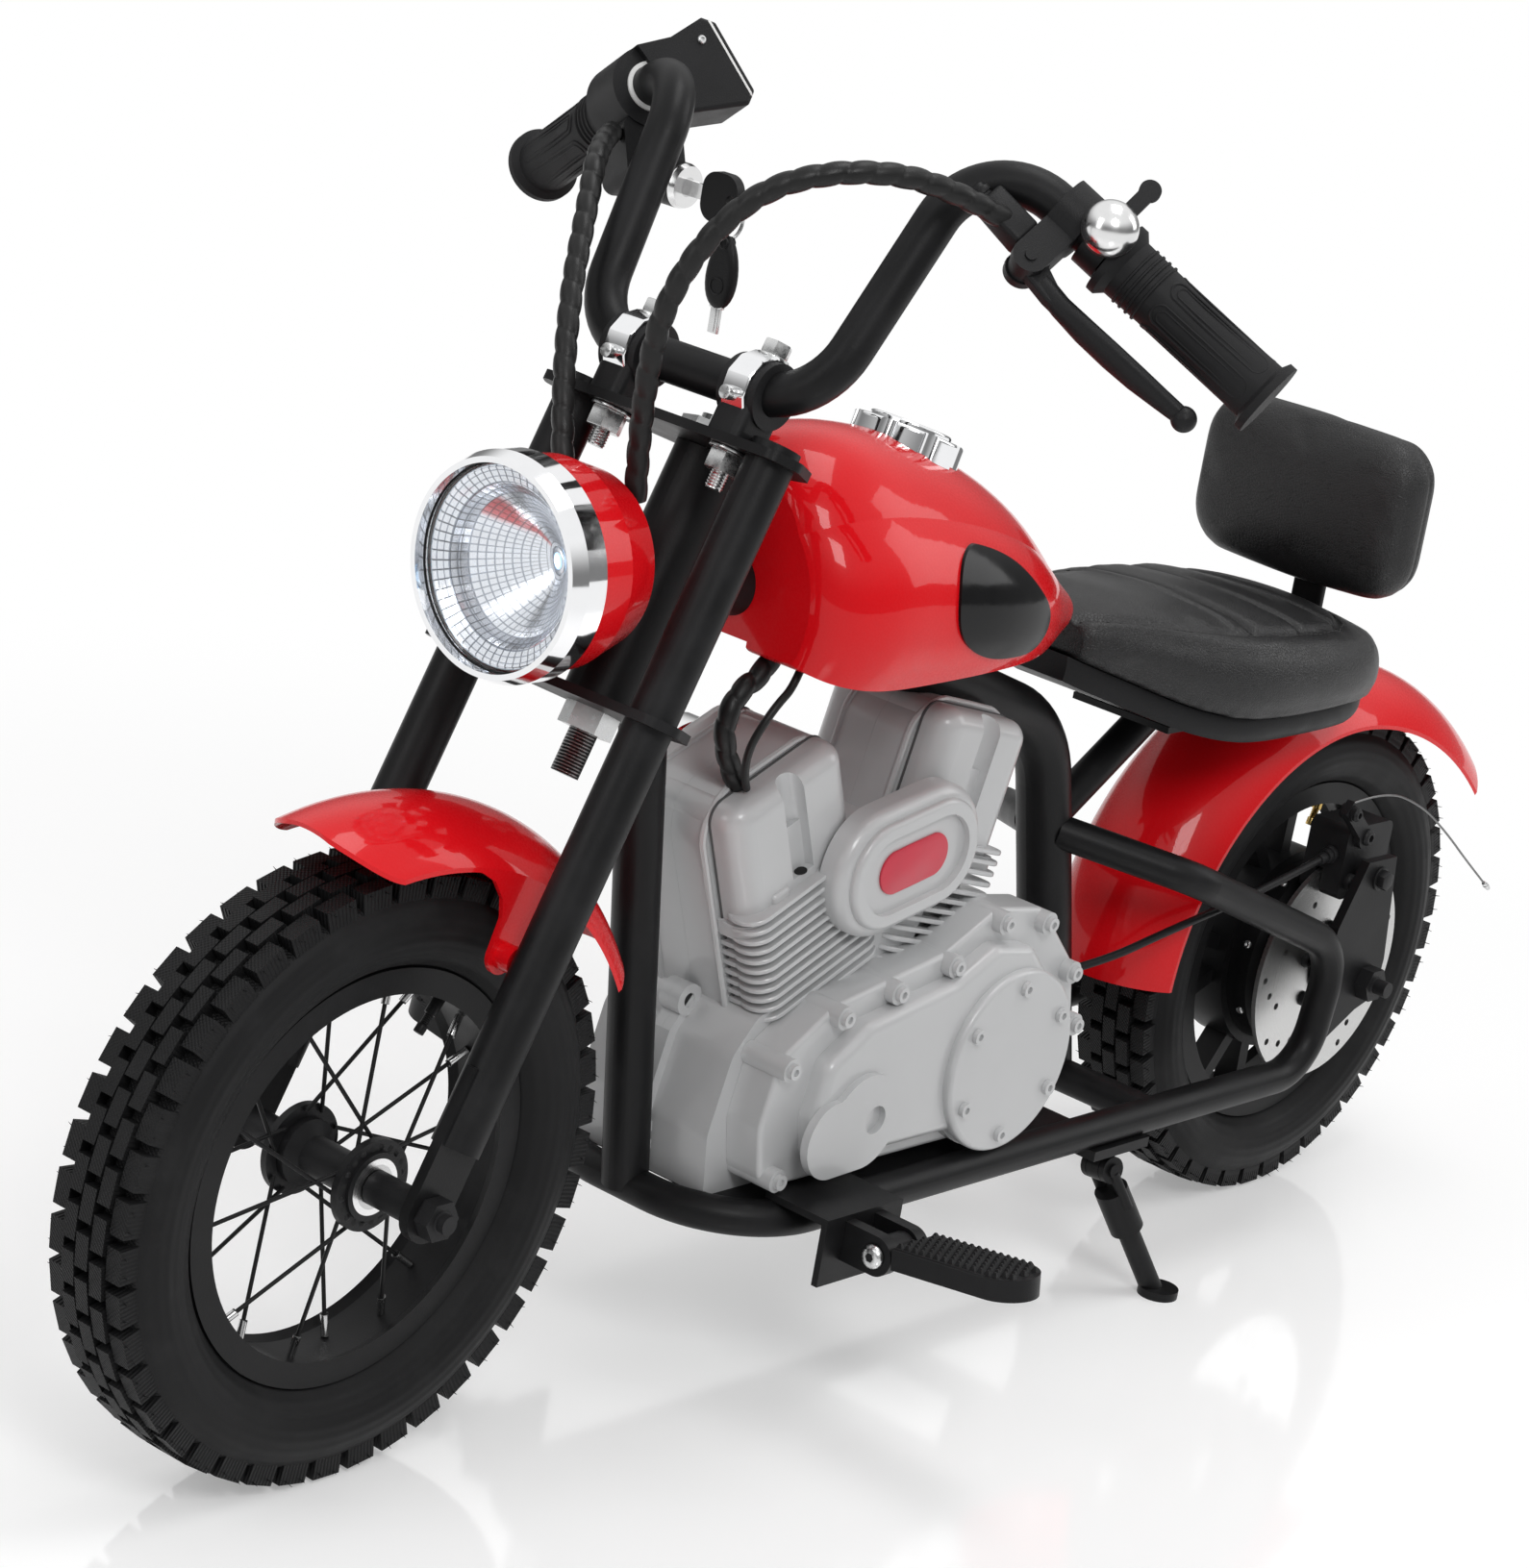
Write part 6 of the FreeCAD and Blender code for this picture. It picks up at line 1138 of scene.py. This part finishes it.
class MOTORBIKE_OT_throttle(bpy.types.Operator):
    """Display line, liner ring and screws of the throttle housing"""

    bl_idname = "motorbike.throttle"
    bl_label = "Throttle housing trim"

    def execute(self, context):
        place = MM @ THROTTLE_FRAME
        band = box(47.0, 34.5, 1.3)
        soften(band, upright_edges(band), 2.8, 4)
        parts = [(band, DISPLAY @ shift(0, 0, -0.6)), (lathe(LINER, 40), STILL)]
        add_piece("display_line", parts, "steering", "white_line", place)
        add_piece("display_window", box(33, 27, 0.9, 0.4), "steering", "badge_black",
                  place @ DISPLAY @ shift(0, 0, 3.75))
        screws = [(socket_screw(2.6, 1.8, 1.2), facing(UP, (27, -30, 35.9))),
                  (socket_screw(2.2, 1.6, 1.0), facing(UP, (-38, 8, 30.9)))]
        add_piece("throttle_screws", screws, "steering", "zinc", place)
        return {"FINISHED"}


# Point that the spare key hangs from, and rings pressed into its head: radius, tube, steps, side and height
KEY_HANG = shift(143, -64, 619.97)
KEY_RINGS = ((4.2, 0.5, 28, 3.0, -43), (2.6, 0.7, 24, 2.8, -20.5))


class MOTORBIKE_OT_spare_key(bpy.types.Operator):
    """Split ring and the second key that hangs on it"""

    bl_idname = "motorbike.spare_key"
    bl_label = "Spare key"

    def execute(self, context):
        place = MM @ KEY_HANG
        ring = shift(0, -0.4, -9.5) @ turned(-90, "X")
        steel = [(torus(9.6, 0.7, 48), ring),
                 (torus(9.4, 0.7, 48), ring @ shift(0, 0, 0.9)),
                 (box(2.2, 6.4, 18, 0.4), shift(0, 0, -68)),
                 (box(2.9, 1.0, 14, 0.2), shift(0, 0.8, -67)),
                 (box(2.6, 9.0, 4, 0.6), shift(0, 0, -55))]
        add_piece("spare_key_ring", steel, "spare_key", "zinc", place, nodes=["spare_key"])
        head = bmesh.new()
        bmesh.ops.create_uvsphere(head, u_segments=32, v_segments=16, radius=1.0)
        for vert in head.verts:
            narrow = 1.0 - 0.18 * vert.co.z
            flat = max(-0.62, min(0.62, vert.co.x)) / 0.62
            vert.co = (flat * 3.0, vert.co.y * 10.2 * narrow, vert.co.z * 19.5)
        parts = [(head, shift(0, 0, -36))]
        for sign in (1, -1):
            for radius, tube, steps, out, height in KEY_RINGS:
                parts.append((torus(radius, tube, steps, 6), facing((sign, 0, 0), (out * sign, 0, height))))
        add_piece("spare_key_head", parts, "spare_key", "black_plastic", place)
        return {"FINISHED"}


# Treads of a peg: rows across, steps along, their pitch, and the middle and radius of its round end
PEG_ROWS = 7
PEG_STEPS = 15
PEG_PITCH = 4.8
PEG_END = 74
PEG_RADIUS = 17.0


class MOTORBIKE_OT_pegs(bpy.types.Operator):
    """Pyramid treads and hinge bolts of the foot pegs"""

    bl_idname = "motorbike.pegs"
    bl_label = "Foot pegs"

    def execute(self, context):
        for name, side in (("left_peg", 1), ("right_peg", -1)):
            place = MM @ shift(113, 134 * side, 108) @ Matrix.Diagonal((1, side, 1, 1))
            add_piece(name + "_tread", self.tread(), name, "black_plastic",
                      place @ turned(8, "X"), 25)
            bolts = [(socket_screw(6.6, 3.6, 2.6), facing((sign, 0, 0), (16.6 * sign, 0, 0)))
                     for sign in (1, -1)]
            add_piece(name + "_bolts", bolts, name, "zinc", place)
        return {"FINISHED"}

    def tread(self):
        """Pyramids in rows that are set off by half a step, between two side rims."""
        parts = []
        for row in range(PEG_ROWS):
            across = (row - PEG_ROWS // 2) * PEG_PITCH
            limit = PEG_END + math.sqrt(max(0.0, PEG_RADIUS ** 2 - across ** 2))
            for step in range(PEG_STEPS):
                along = 16 + (step + 0.5 * (row % 2)) * PEG_PITCH
                if along + 1.5 <= limit:
                    parts.append((rod(2.9, 0, 2.8, 4, 0, 0.7), shift(across, along, 7.8) @ turned(45, "Z")))
        for sign in (1, -1):
            parts.append((rod(1.0, 14, PEG_END, 8, 0.3), shift(17.2 * sign, 0, 7.6) @ turned(-90, "X")))
        return parts


# Each cylinder of the casing: foot ahead, lean forward in degrees, height of the rocker cover, half its width
CYLINDERS = ((90, 23, 156, 46.0), (23, -14, 163, 42.3))
CYLINDER_FOOT = 200
FIN_LOW = 22.1
FIN_PITCH = 6.2
FIN_COUNT = 12

# Deep screw holes in the crankcase's edge, shown as flat discs of painted shade: along the bike and up
CASE_HOLES = ((158, 210), (168, 136))


def fin_edge(half, side):
    """Outer part of one cooling fin on a side of a cylinder, with round corners."""
    fin = box(2 * half + 2.4, 26, 2.6)
    soften(fin, upright_edges(fin), 12.5, 6)
    soften(fin, [rim for rim in fin.edges if rim.calc_face_angle(0) > 1], 0.5, 1)
    return fin, shift(0, side * 38, 0)


def hoop(half, height, bend, thickness):
    """Rounded line over a cylinder, in its XZ plane; its foot is inside the crankcase."""
    low = -20
    ring = stretch(torus(bend, thickness, 48, 8), half - bend)
    stretch(ring, (height - low) / 2 - bend, 1)
    return ring, shift(0, 0, (height + low) / 2) @ turned(90, "X")


class MOTORBIKE_OT_casing(bpy.types.Operator):
    """Bare badge, fin edges, dark lines of painted shade beside the hoops, and painted shade in the screw
    holes and under the fins of the engine shaped casing
    """

    bl_idname = "motorbike.casing"
    bl_label = "Casing trim"

    def execute(self, context):
        add_piece("casing_badge", stretch(rod(12.5, 0, 1.5, 40, 0.5), 15), "frame", "badge_red",
                  MM @ shift(60, 62.0, 292) @ turned(11, "Y") @ turned(-90, "X"))
        shade_patches = []
        ridges = []
        shade_lines = []
        for ahead, lean, height, half in CYLINDERS:
            stand = shift(ahead, 0, CYLINDER_FOOT) @ turned(lean, "Y")
            for side in (1, -1):
                for step in range(FIN_COUNT):
                    fin, out = fin_edge(half, side)
                    ridges.append((fin, stand @ shift(0, 0, FIN_LOW + step * FIN_PITCH) @ out))
                ridge, lift = hoop(half + 2.5, height + 2, 26, 1.9)
                ridges.append((ridge, stand @ shift(0, side * 22.6, 0) @ lift))
                # Thin dark grey loop beside each raised hoop: a line of painted shade, not a groove in the
                # casing.
                shade_line, lift = hoop(half - 2, height, 11, 0.8)
                shade_lines.append((shade_line, stand @ shift(0, side * 25, 0) @ lift))
                well = stand @ shift(0, side * 42, 97.9)
                # Flat near black pieces: a strip of painted shade under the fins, and a disc and ring of
                # painted shade for each screw well.
                shade_patches += [(box(2 * half - 1, 2, 1.8), stand @ shift(0, side * 44.6, 16.2)),
                          (rod(2.7, -0.6, 0.35, 20, 0.1), well),
                          (torus(3.1, 0.45, 24, 6), well @ shift(0, 0, 0.2))]
        # Flat near black discs: painted shade for the deep screw holes of the crankcase.
        for along, up in CASE_HOLES:
            for side in (1, -1):
                shade_patches.append((rod(3.8, -0.4, 0.1, 20), facing(LEFT * side, (along, 5.5 * side, up))))
        add_piece("casing_holes", shade_patches, "frame", "dark_recess")
        add_piece("casing_fins", ridges, "frame", "grey_moulding", MM, 35)
        add_piece("casing_grooves", shade_lines, "frame", "groove_grey")
        return {"FINISHED"}


# Tyres: tread blocks round them, where hairs stand between two blocks, and how far hairs are from the middle
TREAD_BLOCKS = 42
HAIR_SPOTS = (-0.22, 0.2)
HAIR_SIDE = 24.8

# Hub and motor: radius of the spoke circle, of the disc's bolts and of the motor's screws, and the rim's seat
SPOKE_CIRCLE = 20
SPOKE_HEAD = [(0, 1.1), (1.1, 0.8), (1.8, 0), (0, -0.5)]
DISC_CIRCLE = 27
MOTOR_CIRCLE = 57.8
VALVE_SEAT = 97


def around(turn):
    """Direction at an angle about a wheel's axle."""
    return Vector((math.cos(turn), 0.0, math.sin(turn)))


class MOTORBIKE_OT_wheels(bpy.types.Operator):
    """Moulding hairs on the tyres, valves, spoke heads and small bolts of the wheels"""

    bl_idname = "motorbike.wheels"
    bl_label = "Wheel trim"

    def execute(self, context):
        front = FRONT_AXLE * 1000
        rear = REAR_AXLE * 1000
        chance = random.Random(5)
        for name, axle, radius in (("front", front, 160), ("rear", rear, 156)):
            hairs = self.hairs(chance, axle, radius)
            add_piece(name + "_tyre_hairs", hairs, name + "_wheel", name + "_rubber")
        heads = []
        shade_patches = []
        for step in range(10):
            for side in (1, -1):
                turn = math.radians(-36 * step - 9 * side)
                spot = front + around(turn) * SPOKE_CIRCLE
                heads.append((lathe(SPOKE_HEAD, 12), facing(LEFT * side, spot + LEFT * 27 * side)))
                # Flat near black discs on the hub's faces: painted shade standing for its holes.
                spot = front + around(turn + math.radians(18)) * SPOKE_CIRCLE
                shade_patches.append((rod(1.7, -0.5, 0.1, 12), facing(LEFT * side, spot + LEFT * 26.95 * side)))
        add_piece("spoke_heads", heads, "front_wheel", "black_cast")
        add_piece("hub_holes", shade_patches, "front_wheel", "dark_recess")
        bolts = []
        for step in range(6):
            spot = rear + around(step * math.pi / 3 + 0.3) * DISC_CIRCLE + LEFT * 47.4
            bolts.append((socket_screw(4.6, 3.6, 2.2), facing(LEFT, spot)))
        add_piece("disc_bolts", bolts, "rear_wheel", "black_cast")
        screws = []
        for step in range(8):
            way = around(step * math.pi / 4 + 0.25)
            screws.append((socket_screw(2.6, 1.6, 1.2), facing(way, rear + way * MOTOR_CIRCLE + LEFT * 24)))
        add_piece("motor_screws", screws, "rear_wheel", "zinc")
        for axle, turn, body, slot, look in ((front, 2.2, "front_wheel", "black_plastic", "black_plastic"),
                                             (rear, 1.9, "rear_wheel", "bright_steel", "brass")):
            stem = [(rod(3.2, -9, 2, 16, 0.5), STILL), (threaded(2.3, 9, 1.0), shift(0, 0, -9)),
                    (rod(2.9, -20, -15, 12, 0.5), STILL)]
            way = around(turn)
            add_piece(body + "_valve", stem, body, look, MM @ facing(way, axle + way * VALVE_SEAT))
        return {"FINISHED"}

    def hairs(self, chance, axle, radius):
        """Thin moulding hairs on the outer edges of the tread blocks."""
        hairs = []
        for step in range(TREAD_BLOCKS):
            for side in (1, -1):
                for spot in HAIR_SPOTS:
                    turn = (step + 0.5 + spot) * FULL_TURN / TREAD_BLOCKS
                    reach = radius - 3.4 - chance.random() * 2
                    foot = axle + around(turn) * reach + LEFT * side * HAIR_SIDE
                    way = around(turn) * 0.15 + LEFT * side
                    way += Vector((chance.uniform(-0.3, 0.3), 0, chance.uniform(-0.3, 0.3)))
                    hair = rod(0.42, 0, 2.6 + 2 * chance.random(), 4, 0, 0.12)
                    hairs.append((hair, facing(way, foot)))
        return hairs


class MOTORBIKE_OT_brake(bpy.types.Operator):
    """Bolts and barrel adjuster of the rear brake"""

    bl_idname = "motorbike.brake"
    bl_label = "Rear brake trim"

    def execute(self, context):
        bolts = [(socket_screw(5.4, 4.4, 2.6), facing(LEFT, (-406, 61.9, 219))),
                 (socket_screw(5.4, 4.4, 2.6), facing(LEFT, (-381, 61.9, 219))),
                 (hex_bolt(11, 5, 7.5), facing(LEFT, (-393, 77.4, 224)))]
        add_piece("caliper_bolts", bolts, "frame", "black_cast", MM, 30)
        barrel = [(rod(4.4, 0, 9, 18, 0.8), STILL), (rod(5.6, 2, 5.5, 12, 0.6), STILL),
                  (rod(3.4, 9, 16, 16, 1.2), STILL)]
        add_piece("brake_adjuster", barrel, "frame", "black_cast",
                  MM @ facing((0.986, 0.058, -0.155), (-371.2, 53, 236)), 30)
        pinch = [(socket_screw(4.2, 3.0, 2.0), facing(LEFT, (-361.6, 69.3, 267))),
                 (socket_screw(5.2, 3.2, 2.4), facing(LEFT, (-383, 67.3, 249)))]
        add_piece("caliper_arm_bolts", pinch, "caliper_arm", "black_cast", MM, 30)
        return {"FINISHED"}


# Lamps of the studio: name, place, target, width, height and power
LAMPS = (("key", (1.6, 2.2, 2.4), (0, 0, 0.3), 1.0, 1.0, 30),
         ("front", (2.6, -0.4, 1.5), (0.1, 0, 0.35), 0.9, 1.8, 11),
         ("top", (-0.3, 0.2, 2.6), (-0.1, 0, 0.3), 1.5, 0.8, 15),
         ("back", (-2.2, 1.4, 1.6), (-0.2, 0, 0.3), 1.0, 1.6, 12))

# Camera matched to the photograph: place, angles, lens and shift of the picture
CAMERA_PLACE = (1.9062, 1.4275, 1.0123)
CAMERA_AZIMUTH = math.radians(128.05)
CAMERA_RISE = math.radians(16.55)
CAMERA_ROLL = math.radians(9.88)
CAMERA_LENS = 104.24
CAMERA_SHIFT = (-0.0279, -0.0060)
WHITE = (1, 1, 1, 1)


def area_lamp(name, place, target, width, height, power):
    data = bpy.data.lights.new(name, "AREA")
    data.shape = "RECTANGLE"
    data.size = width
    data.size_y = height
    data.energy = power
    lamp = add_object(name, data)
    lamp.location = place
    lamp.rotation_euler = (Vector(target) - Vector(place)).to_track_quat("-Z", "Y").to_euler()


def seen_rays(made):
    """1 where the camera or clear plastic looks at the background, and 1 where a mirror does."""
    path = made.add("ShaderNodeLightPath")
    camera, through, glossy = made.outputs(path, "Is Camera Ray", "Is Transmission Ray", "Is Glossy Ray")
    return camera.math("MAXIMUM", through), glossy


class MOTORBIKE_OT_stage(bpy.types.Operator):
    """Pale floor, studio lamps and the camera of the photograph"""

    bl_idname = "motorbike.stage"
    bl_label = "Stage"

    def execute(self, context):
        bpy.context.scene.view_settings.view_transform = "Standard"
        self.floor()
        self.world()
        for lamp in LAMPS:
            area_lamp(*lamp)
        self.camera()
        return {"FINISHED"}

    def floor(self):
        """Slightly glossy near the bike and plain white further out; other rays see it as matt."""
        bm = bmesh.new()
        bmesh.ops.create_grid(bm, x_segments=1, y_segments=1, size=9.0)
        floor = add_object("floor", mesh_from(bm, "floor", STILL))
        material = new_material("floor_white")
        made = Finish(material.node_tree)
        diffuse = made.add("ShaderNodeBsdfDiffuse", None, {"Color": (0.9, 0.9, 0.9, 1.0)})
        glow = made.add("ShaderNodeEmission", None, {"Color": WHITE, "Strength": 0.36})
        lit = made.add("ShaderNodeAddShader", None, [diffuse, glow])
        sheen = made.add("ShaderNodeBsdfGlossy", None, {"Color": WHITE, "Roughness": 0.09})
        lit = made.add("ShaderNodeMixShader", None, [0.16, lit, sheen])
        far = made.ramp(off_axis(made, (0, 0, 0), 2)[3], 0.45, 1.3)
        white = made.add("ShaderNodeEmission", None, {"Color": WHITE, "Strength": 1.0})
        lit = made.add("ShaderNodeMixShader", None, [far, lit, white])
        clear, glossy = seen_rays(made)
        mixed = made.add("ShaderNodeMixShader", None, [clear.math("MAXIMUM", glossy), diffuse, lit])
        made.put(made.end.inputs["Surface"], mixed)
        floor.data.materials.append(material)

    def world(self):
        """White where it is seen, paler above than at the sides in mirrors, and dim as a light."""
        world = bpy.data.worlds.new("studio")
        bpy.context.scene.world = world
        world.use_nodes = True
        made = Finish(world.node_tree, "ShaderNodeOutputWorld")
        clear, glossy = seen_rays(made)
        up = made.parts(made.add("ShaderNodeTexCoord", output="Generated"))[2]
        mirrored = glossy * made.ramp(up, 0.1, 0.6, 0.22, 1.0) + (1.0 - glossy) * 0.4
        strength = clear + (1.0 - clear) * mirrored
        sky = made.add("ShaderNodeBackground", None, {"Color": WHITE, "Strength": strength})
        made.put(made.end.inputs["Surface"], sky)

    def camera(self):
        level = Vector((math.cos(CAMERA_AZIMUTH), math.sin(CAMERA_AZIMUTH), 0.0))
        back = Vector((level.y, -level.x, 0.0)) * math.cos(CAMERA_RISE)
        back.z = math.sin(CAMERA_RISE)
        upright = back.cross(level)
        right = level * math.cos(CAMERA_ROLL) + upright * math.sin(CAMERA_ROLL)
        up = upright * math.cos(CAMERA_ROLL) - level * math.sin(CAMERA_ROLL)
        data = bpy.data.cameras.new("camera")
        data.sensor_width = 36.0
        data.lens = CAMERA_LENS
        data.shift_x, data.shift_y = CAMERA_SHIFT
        data.clip_end = 60.0
        camera = add_object("camera", data)
        camera.matrix_world = Matrix.Translation(CAMERA_PLACE) @ axes(right, up, back)
        bpy.context.scene.camera = camera


OPERATORS = [MOTORBIKE_OT_stage, MOTORBIKE_OT_finishes, MOTORBIKE_OT_cables, MOTORBIKE_OT_seat,
             MOTORBIKE_OT_backrest, MOTORBIKE_OT_headlight, MOTORBIKE_OT_clamps, MOTORBIKE_OT_grips,
             MOTORBIKE_OT_lever, MOTORBIKE_OT_throttle, MOTORBIKE_OT_spare_key, MOTORBIKE_OT_pegs,
             MOTORBIKE_OT_casing, MOTORBIKE_OT_wheels, MOTORBIKE_OT_brake]


class MOTORBIKE_PT_panel(bpy.types.Panel):
    """Lists the steps that dress the motorbike"""

    bl_label = "Motorbike"
    bl_idname = "MOTORBIKE_PT_panel"
    bl_space_type = "VIEW_3D"
    bl_region_type = "UI"
    bl_category = "Motorbike"

    def draw(self, context):
        for operator in OPERATORS:
            self.layout.operator(operator.bl_idname)


CLASSES = [MotorbikeColours, MotorbikeSizes, *OPERATORS, MOTORBIKE_PT_panel]


def register():
    for item in CLASSES:
        bpy.utils.register_class(item)
    bpy.types.Scene.motorbike_colours = bpy.props.PointerProperty(type=MotorbikeColours)
    bpy.types.Scene.motorbike_sizes = bpy.props.PointerProperty(type=MotorbikeSizes)


def unregister():
    del bpy.types.Scene.motorbike_sizes
    del bpy.types.Scene.motorbike_colours
    for item in reversed(CLASSES):
        bpy.utils.unregister_class(item)


def main():
    register()
    for operator in OPERATORS:
        group, name = operator.bl_idname.split(".")
        getattr(getattr(bpy.ops, group), name)()


if __name__ == "__main__":
    main()
